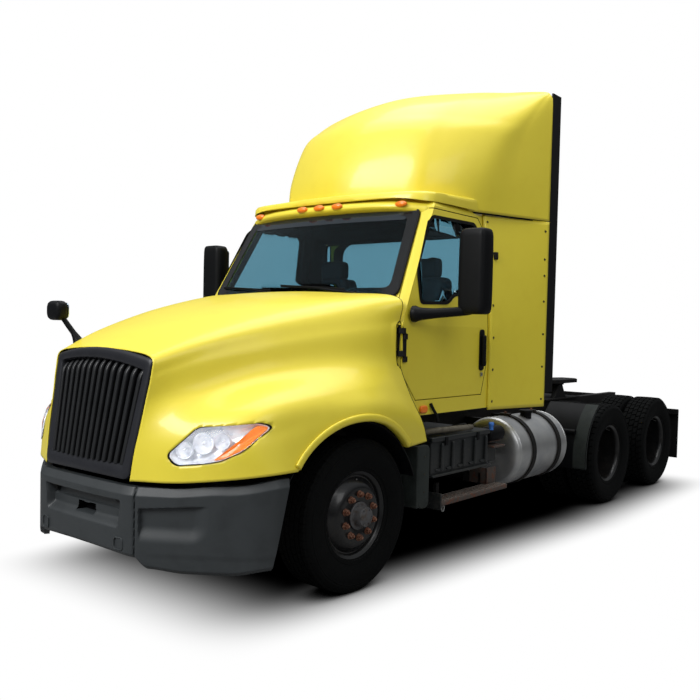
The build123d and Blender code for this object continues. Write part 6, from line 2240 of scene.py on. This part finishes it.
@dataclass(frozen=True)
class SideBoxes:
    """Ribbed battery boxes with lids and latches, hoses on top, and what hangs beside them."""

    low: float = .645
    high: float = .945
    ribs_x: tuple = (-.94, -1.085, -1.24, -1.4, -1.56)
    latches_x: tuple = (-1.42, -.98)
    hose: tuple = ((-.7, 1.06, .975), (-.86, 1.095, .985), (-1.08, 1.105, .982),
                   (-1.28, 1.1, .975), (-1.42, 1.075, .968))
    hose_ribs: int = 62
    pipes: tuple = ((-.058, .011), (-.088, .009))
    cap: tuple = ((.018, .925), (.018, .962), (.023, .964), (.023, .984), (.017, .99),
                  (.0, .99))
    canister: tuple = ((.0, -1.9), (.05, -1.898), (.062, -1.886), (.064, -1.7),
                       (.052, -1.68), (.03, -1.672), (.0, -1.672))
    rusty_plates: tuple = (((-1.88, .9, .77), (-1.7, 1.12, .788)),
                           ((-1.88, .9, .815), (-1.7, 1.08, .833)),
                           ((-1.84, 1.05, .47), (-1.68, 1.062, .6)),
                           ((-1.7, .9, .47), (-1.68, 1.062, .6)))

    def build(self) -> None:
        """The boxes as one piece, the hoses as another."""
        boxes = Piece("battery_boxes", "root", "chassis_paint", ("side_boxes",))
        low, high = self.low, self.high
        for start, end, rim in (
                ((-1.604, .5, low + .008), (-.81, 1.118, high - .03), .012),
                ((-1.614, .495, high - .042), (-.8, 1.136, high - .004), .01),
                ((-1.612, .5, low), (-.802, 1.146, low + .018), .006),
                ((-1.905, .48, .64), (-1.64, 1.02, .9), .012)):
            boxes.add_pair(soft_box(start, end, rim), BOX_BLACK)
        for x in self.ribs_x:
            rib = rounded([(x - .018, .69), (x + .02, .676), (x + .013, high - .055),
                           (x - .013, high - .055)], .012, 5)
            foot = rounded([(x + .01, .676), (x + .074, .684), (x + .074, .7),
                            (x + .01, .704)], .007, 4)
            boxes.add_pair(pebble(rib, 1.11, 1.138, Plane.SIDE, .009), BOX_BLACK)
            boxes.add_pair(pebble(foot, 1.11, 1.13, Plane.SIDE, .006), BOX_BLACK)
        for x in self.latches_x:
            boxes.add_pair(soft_box((x - .018, 1.13, high - .075), (x + .018, 1.144, high - .01),
                                    .004), BLACK_PLASTIC)
        canister = spun(self.canister, (0, 1.05, .88), axis=0, count=32)
        boxes.add_pair(outward(canister), BLACK_PLASTIC)
        for start, end in self.rusty_plates:
            boxes.add_pair(soft_box(start, end, .004), RUSTY_STEEL)
        boxes.build(smooth=40)
        self.build_lines()

    def build_lines(self) -> None:
        """The corrugated hose, two smooth pipes and a blue cap."""
        lines = Piece("air_hoses", "root", "black_rubber")
        t = np.linspace(0, 1, 300)
        radius = .02 + .003 * np.sin(2 * np.pi * self.hose_ribs * t)
        lines.add_pair(outward(tube(smooth_curve(self.hose, t), radius, 12)), HOSE)
        for shift, r in self.pipes:
            path = [(-.74, 1.03 + shift, .962), (-1.05, 1.06 + shift, .958),
                    (-1.4, 1.02 + shift, .965), (-1.66, .86, .95), (-1.9, .7, .9)]
            lines.add_pair(outward(tube(smooth_curve(path, np.linspace(0, 1, 40)), r, 8)), RUBBER)
        cap = spun(self.cap, (-1.665, 1.11, 0), axis=2, count=24)
        lines.add_pair(outward(cap), BLUE_CAP).build(smooth=50)


@dataclass(frozen=True)
class Steps:
    """Step treads with raised lozenges, their ends, hangers and a small tow eye."""

    tread: tuple = ((-1.86, 1.012, .425), (-.9, 1.163, .462))
    end: tuple = ((-.905, 1.004, .395), (-.89, 1.16, .52))
    rows: int = 5
    columns: int = 38
    pitch: Pair = (.0246, .029)
    lozenge: Pair = (.0088, .0075)
    slimness: float = .32
    hangers_x: Pair = (-1.7, -1.06)

    def lozenges(self) -> Surface:
        """All the raised lozenges, turned one way and the other in turn.

        Returns:
            The lozenges.
        """
        made = []
        for row in range(self.rows):
            for k in range(self.columns):
                turn = 1 if (k + row) % 2 else -1
                c = np.array([-1.842 + (k + (row % 2) / 2) * self.pitch[0],
                              1.03 + row * self.pitch[1]])
                d = np.array([self.lozenge[0], turn * self.lozenge[1]])
                n = np.array([-d[1], d[0]]) * self.slimness
                made.append(slab(np.array([c - d, c - n, c + d, c + n]), .461, .466, Plane.PLAN))
        return joined(made)

    def build(self) -> None:
        """Both sides' steps as one piece."""
        steps = Piece("step_treads", "root", "tread_steel", ("steps",))
        steps.add_pair(soft_box(*self.tread, .006), RUSTY_STEEL)
        steps.add_pair(self.lozenges(), WORN_TREAD)
        steps.add_pair(soft_box(*self.end, .005), BOX_BLACK)
        for x in self.hangers_x:
            steps.add_pair(soft_box((x - .02, .985, .44), (x + .02, 1.012, .56), .004),
                           CHASSIS)
        angle = np.linspace(0, 2 * np.pi, 20)
        eye = np.stack([-.935 + .016 * np.cos(angle), np.full(20, 1.15),
                        .405 + .024 * np.sin(angle)], -1)
        steps.add_pair(outward(tube(eye, .0045, 8, caps=False)), BRIGHT_STEEL)
        steps.build(smooth=40)


@dataclass(frozen=True)
class SplashPanels:
    """Splash panels behind the front wheels: a plate across and a rounded flange outside."""

    flange: tuple = ((-.602, .902), (-.756, .902), (-.752, .436), (-.622, .446))
    plate: tuple = ((-.64, .652, .45), (-.606, 1.146, .9))
    bolts_z: tuple = (.56, .69, .82)

    def build(self) -> None:
        """Both sides' panels as one piece."""
        panels = Piece("splash_guards", "root", "dark_plastic", ("splash_panels",))
        flange = pebble(rounded(self.flange, .055, 8), 1.118, 1.149, Plane.SIDE, .01)
        panels.add_pair(flange, SPLASH_GREY)
        panels.add_pair(soft_box(*self.plate, .01), SPLASH_GREY)
        for z in self.bolts_z:
            panels.add_pair(bolt((-.69, 1.148, z), (0, 1, 0), .007, .003, .009), SMALL_BOLT)
        panels.build(smooth=45)


@dataclass(frozen=True)
class FenderCaps:
    """Grey outer caps along the quarter fenders before the first drive axle."""

    section: tuple = ((.612, 1.088), (.629, 1.09), (.6315, 1.1), (.6315, 1.219),
                      (.629, 1.2285), (.606, 1.2295))
    angles: Pair = (-8.5, 55.5)

    def build(self) -> None:
        """Both caps as one piece: arcs about the axle, each at its radius and distance out."""
        caps = Piece("fender_caps", "root", "dark_plastic")
        x, _, z = JOINTS["drive_wheel_spin_1_left"]["pos_m"]
        rows = []
        for radius, y in self.section:
            line = arc((x - AXLE_X, z), radius, *self.angles, 40)
            rows.append(np.stack([line[:, 0], np.full(40, y), line[:, 1]], -1))
        strip = faced(lattice(np.stack(rows)), (.8, 0, .6))
        caps.add_pair(strip, SPLASH_GREY).build(smooth=40, wall=0.002)


# ------------------------------------------------------------------ inside the cab
@dataclass(frozen=True)
class Seats:
    """Two padded seats: cushions, backs and headrests on plain bases."""

    places_y: Pair = (-.52, .52)
    cushion: tuple = ((-1.56, -.245, 1.395), (-1.085, .245, 1.532))
    back: tuple = ((-1.585, -.235, 1.5), (-1.45, .235, 2.17))
    headrest: tuple = ((-1.575, -.135, 2.16), (-1.465, .135, 2.335))
    base: tuple = ((-1.5, -.16, 1.252), (-1.16, .16, 1.4))

    def build(self) -> None:
        """The pads as one padded piece, the bases as another."""
        bases = Piece("seat_bases", "root", "dark_plastic")
        soft = Piece("seat_pads", "root", "seat_cloth", ("seats",))
        for y in self.places_y:
            for box, rim, plane, corner in ((self.cushion, .035, Plane.PLAN, .06),
                                            (self.back, .035, Plane.FRONT, .07),
                                            (self.headrest, .03, Plane.FRONT, .05)):
                soft.add(soft_box(*box, rim, plane, corner).moved((0, y, 0)), SEAT_CLOTH)
            bases.add(soft_box(*self.base, .012).moved((0, y, 0)), BLACK_PLASTIC)
        pads = soft.build(smooth=50)
        bases.build(smooth=40)


@dataclass(frozen=True)
class SteeringWheel:
    """The steering wheel: a rim, four spokes and a hub pad, leaning back."""

    centre: Triple = (-.915, .52, 1.775)
    lean: float = 42.0
    radius: float = .222
    grip: float = .015
    spokes: tuple = (35, 145, 215, 325)
    spoke: tuple = ((.04, -.012), (.09, -.01), (.15, -.004), (.212, .0))
    hub: tuple = ((.0, .008), (.045, .007), (.062, .0), (.066, -.012), (.06, -.016),
                  (.0, -.016))

    def build(self) -> None:
        """The wheel as one piece on its joint."""
        wheel = Piece("steering_wheel_rim", "steering_wheel", "wheel_grip", ("steering_wheel",))
        lean, centre = np.radians(self.lean), np.array(self.centre)
        w, v = np.array([-np.sin(lean), 0, np.cos(lean)]), np.array([0, 1.0, 0])
        u = np.cross(v, w)
        rim = [(self.radius + self.grip * np.cos(a), self.grip * np.sin(a)) for a in turns(14)]
        wheel.add(outward(turned(rim, centre, (u, v, w), 72, closed=True)), WHEEL_GREY)
        for angle in np.radians(self.spokes):
            way = np.cos(angle) * u + np.sin(angle) * v
            path = [centre + way * s + w * h for s, h in self.spoke]
            spoke = tube(smooth_curve(path, np.linspace(0, 1, 10)), .0115, 10)
            wheel.add(outward(spoke), WHEEL_GREY)
        wheel.add(outward(turned(self.hub, centre, (u, v, w), 40)), BLACK_PLASTIC)
        wheel.build(smooth=50)


@dataclass(frozen=True)
class CabLining:
    """Dark trim over the cab's inner faces: rear wall, roof, floor mat and doors."""

    wall: tuple = ((-1.005, 1.24), (1.005, 1.24), (1.005, 1.76), (.93, 2.64),
                   (-.93, 2.64), (-1.005, 1.76))
    wall_x: float = -1.634
    roof: tuple = ((-1.63, -.9), (-.96, -.88), (-.96, .88), (-1.63, .9))
    roof_z: float = 2.692
    mat: tuple = ((-1.62, -.99, 1.222), (-.56, .99, 1.236))
    door: tuple = ((-.56, 1.45), (-.56, 1.95), (-.68, 2.19), (-.9, 2.59),
                   (-1.56, 2.59), (-1.57, 1.5), (-1.5, 1.27), (-.68, 1.27))
    arm_rest: tuple = ((-1.35, .96, 1.56), (-.82, 1.016, 1.61))

    def build(self) -> None:
        """The cab's lining as one piece, and each door's with its arm rest as another."""
        lining = Piece("cab_lining", "root", "dark_plastic")
        back = panel(np.array(self.wall), [REAR_WINDOW], upright(self.wall_x), .25)
        lining.add(faced(back, (1, 0, 0)), LINING)
        roof = panel(rounded(self.roof, .05), [],
                     lambda p: np.column_stack([p, np.full(len(p), self.roof_z)]), .25)
        lining.add(faced(roof, (0, 0, -1)), LINING)
        lining.add(soft_box(*self.mat, .005), LINING).build(smooth=40, wall=0.003)
        for name, sign in SIDES.items():
            door = Piece(f"door_lining_{name}", f"door_{name}", "dark_plastic")
            sheet = panel(np.array(self.door), [SIDE_WINDOW], CAB.on_side(sign, -.0655), .2)
            door.add(faced(sheet, (0, -sign, 0)), LINING)
            door.add(soft_box(*self.arm_rest, .018).on_side(sign), LINING)
            door.build(smooth=40, wall=0.003)


@dataclass(frozen=True)
class RadiatorShroud:
    """Panel and lower plate in near-black painted shade, and condenser fins, seen behind the
    grille.
    """

    panel: tuple = ((.905, -.4, .55), (.925, .4, 1.4))
    fins: int = 24
    fin_pitch: float = .034
    plate: tuple = ((1.03, -.8, .6), (1.05, .8, .79))

    def build(self) -> None:
        """The shroud as one piece."""
        shroud = Piece("radiator_shroud", "root", "radiator_core")
        # The panel and the plate take the near-black finish: painted shade behind the grille.
        for box in (self.panel, self.plate):
            shroud.add(soft_box(*box, .006), PAINTED_SHADE_BLACK)
        for z in .58 + self.fin_pitch * np.arange(self.fins):
            shroud.add(soft_box((.925, -.385, z), (.938, .385, z + .008), .002), SLAT_BLACK)
        shroud.build(smooth=40)


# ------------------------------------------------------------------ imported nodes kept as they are
@dataclass(frozen=True)
class KeptNodes:
    """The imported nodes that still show: each one's finish, with rounded edges.

    The doors and the cab's walls have two finishes more: a black one round the door hinges,
    and the lining on faces that look towards the cab's middle.
    """

    finishes: tuple = (
        (YELLOW, ("cab_floor", "cab_front", "cab_back", "cab_roof", "door_left", "door_right")),
        (CHASSIS, ("cab_mounts", "crossmembers", "frame_rails", "deck", "drive_axles", "engine",
                   "fifth_wheel", "fifth_wheel_base", "front_axle", "front_springs",
                   "rear_suspension", "steering_knuckle_left", "steering_knuckle_right",
                   "tank_brackets", "tie_rod")),
        (RUBBER, ("edge_seals", "mudflaps")),
        (BLACK_PLASTIC, ("quarter_fenders", "radiator")),
        (LINING, ("dashboard",)),
        (RED_LENS, ("tail_lamps",)))
    lined: tuple = ("door_left", "door_right", "cab_front", "cab_back", "cab_roof")
    hinge: Pair = (-.49, 1.091)
    hinge_reach: float = .075
    hinge_heights: Pair = (1.49, 1.78)
    cab_middle: Triple = (-1.05, 0.0, 1.9)
    edge: float = 0.003

    def build(self) -> None:
        """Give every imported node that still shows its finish, and rounded edges."""
        for finish, names in self.finishes:
            for name in names:
                made = bpy.data.objects[name]
                made.data.materials.clear()
                made.data.materials.append(finish.material())
                if name in self.lined:
                    self.line(made)
                round_edges(made, self.edge)

    def line(self, made: bpy.types.Object) -> None:
        """Give the faces round the hinges, and those that look inwards, their own finishes.

        Args:
            made: a door or a wall of the cab.
        """
        made.data.materials.append(CHASSIS.material())
        made.data.materials.append(LINING.material())
        low, high = self.hinge_heights
        cab_middle = Vector(self.cab_middle) + Vector((AXLE_X, 0, 0))
        to_world = made.matrix_world
        for face in made.data.polygons:
            points = np.array([to_world @ made.data.vertices[i].co for i in face.vertices])
            away = np.hypot(points[:, 0] - self.hinge[0] - AXLE_X,
                            np.abs(points[:, 1]) - self.hinge[1]).max()
            inward = (cab_middle - to_world @ face.center) @ (to_world.to_3x3() @ face.normal)
            if (away < self.hinge_reach and low < points[:, 2].min()
                    and points[:, 2].max() < high):
                face.material_index = 1
            elif inward > 0.02:
                face.material_index = 2


# ------------------------------------------------------------------ stage
@dataclass(frozen=True)
class View:
    """Where the camera stands, in the truck's side view, and how it looks."""

    place: Triple = (3.9593, 4.4855, 1.7308)
    azimuth: float = 127.3892
    elevation: float = 2.2876
    roll: float = 1.4024
    focal_px: float = 799.138
    middle_px: Pair = (403.3, 361.22)
    frame_px: float = 700.0
    sensor_mm: float = 36.0

    def build(self) -> None:
        """The camera: back = (sin az cos el, -cos az cos el, sin el), then rolled about it."""
        az, el, roll = np.radians((self.azimuth, self.elevation, self.roll))
        back = np.array([np.sin(az) * np.cos(el), -np.cos(az) * np.cos(el), np.sin(el)])
        right = np.cross((0, 0, 1.0), back)
        right /= np.linalg.norm(right)
        up = np.cross(back, right)
        x = right * np.cos(roll) + up * np.sin(roll)
        y = up * np.cos(roll) - right * np.sin(roll)
        data = bpy.data.cameras.new("camera")
        data.sensor_width = self.sensor_mm
        data.lens = self.focal_px / self.frame_px * self.sensor_mm
        data.shift_x = (self.frame_px / 2 - self.middle_px[0]) / self.frame_px
        data.shift_y = (self.middle_px[1] - self.frame_px / 2) / self.frame_px
        data.clip_start, data.clip_end = 0.05, 200
        camera = bpy.data.objects.new("camera", data)
        rotation = Matrix((x, y, back)).transposed().to_4x4()
        rotation.translation = Vector(self.place) + Vector((AXLE_X, 0, 0))
        camera.matrix_world = rotation
        bpy.context.scene.collection.objects.link(camera)
        bpy.context.scene.camera = camera


@dataclass(frozen=True)
class SoftBox:
    """A square area light aimed at a point."""

    name: str
    place: Triple
    aim: Triple
    size: float
    power: float

    def build(self) -> None:
        """Place the light."""
        data = bpy.data.lights.new(self.name, "AREA")
        data.shape, data.size, data.energy = "SQUARE", self.size, self.power
        light = bpy.data.objects.new(self.name, data)
        light.location = self.place
        toward = Vector(self.aim) - Vector(self.place)
        light.rotation_euler = toward.to_track_quat("-Z", "Y").to_euler()
        bpy.context.scene.collection.objects.link(light)


@dataclass(frozen=True)
class Stage:
    """White surroundings, a pale floor with a painted shadow under the truck, the lights and the
    render settings.
    """

    lights: tuple = (
        SoftBox("key_front", (13.0, -1.5, 10.0), (2.0, 0.0, 1.2), 6.0, 1500),
        SoftBox("overhead", (0.0, 0.0, 10.0), (0.0, 0.0, 1.5), 8.0, 480),
        SoftBox("fill_side", (4.5, 9.5, 7.5), (-1.0, 0.0, 3.2), 5.0, 170))
    sky: Triple = (0.94, 0.97, 1.0)
    sky_rise: float = 0.7
    sky_least: float = 0.03
    floor_half: float = 40.0
    floor_grey: float = 0.22
    shadow_across: Pair = (0.75, 1.65)
    shadow_ahead: Pair = (2.35, 3.7)
    shadow_behind: Pair = (2.3, 3.8)
    shadow_taper: float = 0.09
    shadow_rear: float = -0.6
    contact_reach: float = 0.3
    contact_range: Pair = (0.15, 0.75)

    def seen(self, tree: Tree) -> Socket:
        """1 for rays from the camera, straight or through glass.

        Args:
            tree: the stage's nodes.

        Returns:
            The mask.
        """
        rays = node(tree, "ShaderNodeLightPath")
        return math(tree, "MAXIMUM", rays.outputs["Is Camera Ray"],
                    rays.outputs["Is Transmission Ray"])

    def shown(self, tree: Tree, hidden: Node, shown: Node, output: Node) -> None:
        """Put one shader out where the stage is seen, and the other for every other ray.

        Args:
            tree: the stage's nodes.
            hidden: the shader for every other ray.
            shown: the shader the camera sees.
            output: the output node.
        """
        mix = node(tree, "ShaderNodeMixShader")
        tree.links.new(self.seen(tree), mix.inputs[0])
        tree.links.new(hidden.outputs[0], mix.inputs[1])
        tree.links.new(shown.outputs[0], mix.inputs[2])
        tree.links.new(mix.outputs[0], output.inputs[0])

    def world(self) -> bpy.types.World:
        """A pale sky, brighter overhead: strength = max(rise z + least, least), seen as white.

        Returns:
            The world.
        """
        made = bpy.data.worlds.new("studio")
        made.use_nodes = True
        tree = made.node_tree
        tree.nodes.clear()
        light, white = node(tree, "ShaderNodeBackground"), node(tree, "ShaderNodeBackground")
        light.inputs["Color"].default_value = (*self.sky, 1)
        split = node(tree, "ShaderNodeSeparateXYZ")
        tree.links.new(node(tree, "ShaderNodeTexCoord").outputs["Generated"], split.inputs[0])
        height = math(tree, "MULTIPLY_ADD", split.outputs["Z"], self.sky_rise, self.sky_least)
        tree.links.new(math(tree, "MAXIMUM", height, self.sky_least), light.inputs["Strength"])
        white.inputs["Color"].default_value = (1, 1, 1, 1)
        self.shown(tree, light, white, node(tree, "ShaderNodeOutputWorld"))
        return made

    def floor_with_painted_shadow(self) -> bpy.types.Material:
        """A pale floor with a painted shadow under the truck, fading to plain white away from it.

        Where it is seen it glows white outside a painted soft shadow under the truck:
        brightness = (1 - (1 - a^2)(1 - b^2)(1 - c^2)) k, with a, b and c the smooth steps of
        the distance sideways, ahead and behind, and k a painted contact shadow from the
        occlusion close to the tyres.  To every other ray it is a mid grey, which keeps its
        bounce off the truck's lower sides.

        Returns:
            The floor's material.
        """
        made = bpy.data.materials.new("pale_floor")
        made.use_nodes = True
        tree = made.node_tree
        shader = tree.nodes["Principled BSDF"]
        shader.inputs["Roughness"].default_value = 0.9
        shader.inputs["Specular IOR Level"].default_value = 0.0
        shader.inputs["Base Color"].default_value = (*(self.floor_grey,) * 3, 1)
        split = node(tree, "ShaderNodeSeparateXYZ")
        tree.links.new(node(tree, "ShaderNodeTexCoord").outputs["Object"], split.inputs[0])
        x, y = split.outputs["X"], math(tree, "ABSOLUTE", split.outputs["Y"])
        narrowing = math(tree, "MULTIPLY_ADD", math(tree, "MAXIMUM", x, self.shadow_rear),
                         self.shadow_taper, -self.shadow_taper)
        # The painted shadow under the truck: 1 beneath it, falling away sideways, ahead and behind.
        painted_shadow = None
        for value, limits in ((math(tree, "ADD", y, narrowing), self.shadow_across),
                              (x, self.shadow_ahead),
                              (math(tree, "MULTIPLY", x, -1.0), self.shadow_behind)):
            share = ramp(tree, value, *limits)
            dark = math(tree, "SUBTRACT", 1.0, math(tree, "MULTIPLY", share, share))
            painted_shadow = dark if painted_shadow is None else math(tree, "MULTIPLY", painted_shadow, dark)
        # A painted contact shadow close to the tyres, from the occlusion there.
        contact = node(tree, "ShaderNodeAmbientOcclusion", samples=16)
        contact.inputs["Distance"].default_value = self.contact_reach
        near = ramp(tree, contact.outputs["AO"], *self.contact_range)
        glow = node(tree, "ShaderNodeEmission")
        tree.links.new(math(tree, "MULTIPLY", math(tree, "SUBTRACT", 1.0, painted_shadow), near),
                       glow.inputs["Strength"])
        self.shown(tree, shader, glow, tree.nodes["Material Output"])
        return made

    def build(self) -> None:
        """Set the world, the lights, the floor and the render."""
        scene = bpy.context.scene
        scene.world = self.world()
        for light in self.lights:
            light.build()
        mesh, half = bpy.data.meshes.new("floor"), self.floor_half
        mesh.from_pydata([(-half, -half, 0), (half, -half, 0), (half, half, 0), (-half, half, 0)],
                         [], [(0, 1, 2, 3)])
        mesh.materials.append(self.floor_with_painted_shadow())
        ground = bpy.data.objects.new("floor", mesh)
        scene.collection.objects.link(ground)
        scene.render.engine = "CYCLES"
        scene.cycles.samples = 96
        scene.cycles.use_denoising = True
        scene.cycles.max_bounces = 8
        scene.cycles.transparent_max_bounces = 12
        scene.render.resolution_x = scene.render.resolution_y = 700
        scene.render.resolution_percentage = 100
        scene.view_settings.view_transform = "Standard"
        scene.view_settings.look = "None"


def main() -> None:
    """Build the truck's sub-assemblies in order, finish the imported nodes, and set the stage."""
    brow = RoofBrow()
    for assembly in (Hood(), Grille(), Headlamp(), Bumper(), *wheels_and_tyres(), RoofFairing(),
                     SideExtenders(), Windows(), Doors(), brow):
        assembly.build()
    brow.build_lamps()
    for assembly in (Mirrors(), FuelTanks(), SideBoxes(), Steps(), SplashPanels(), CabLining(),
                     Seats(), SteeringWheel(), RadiatorShroud(), FenderCaps(), KeptNodes(),
                     Stage(), View()):
        assembly.build()


if __name__ == "__main__":
    main()
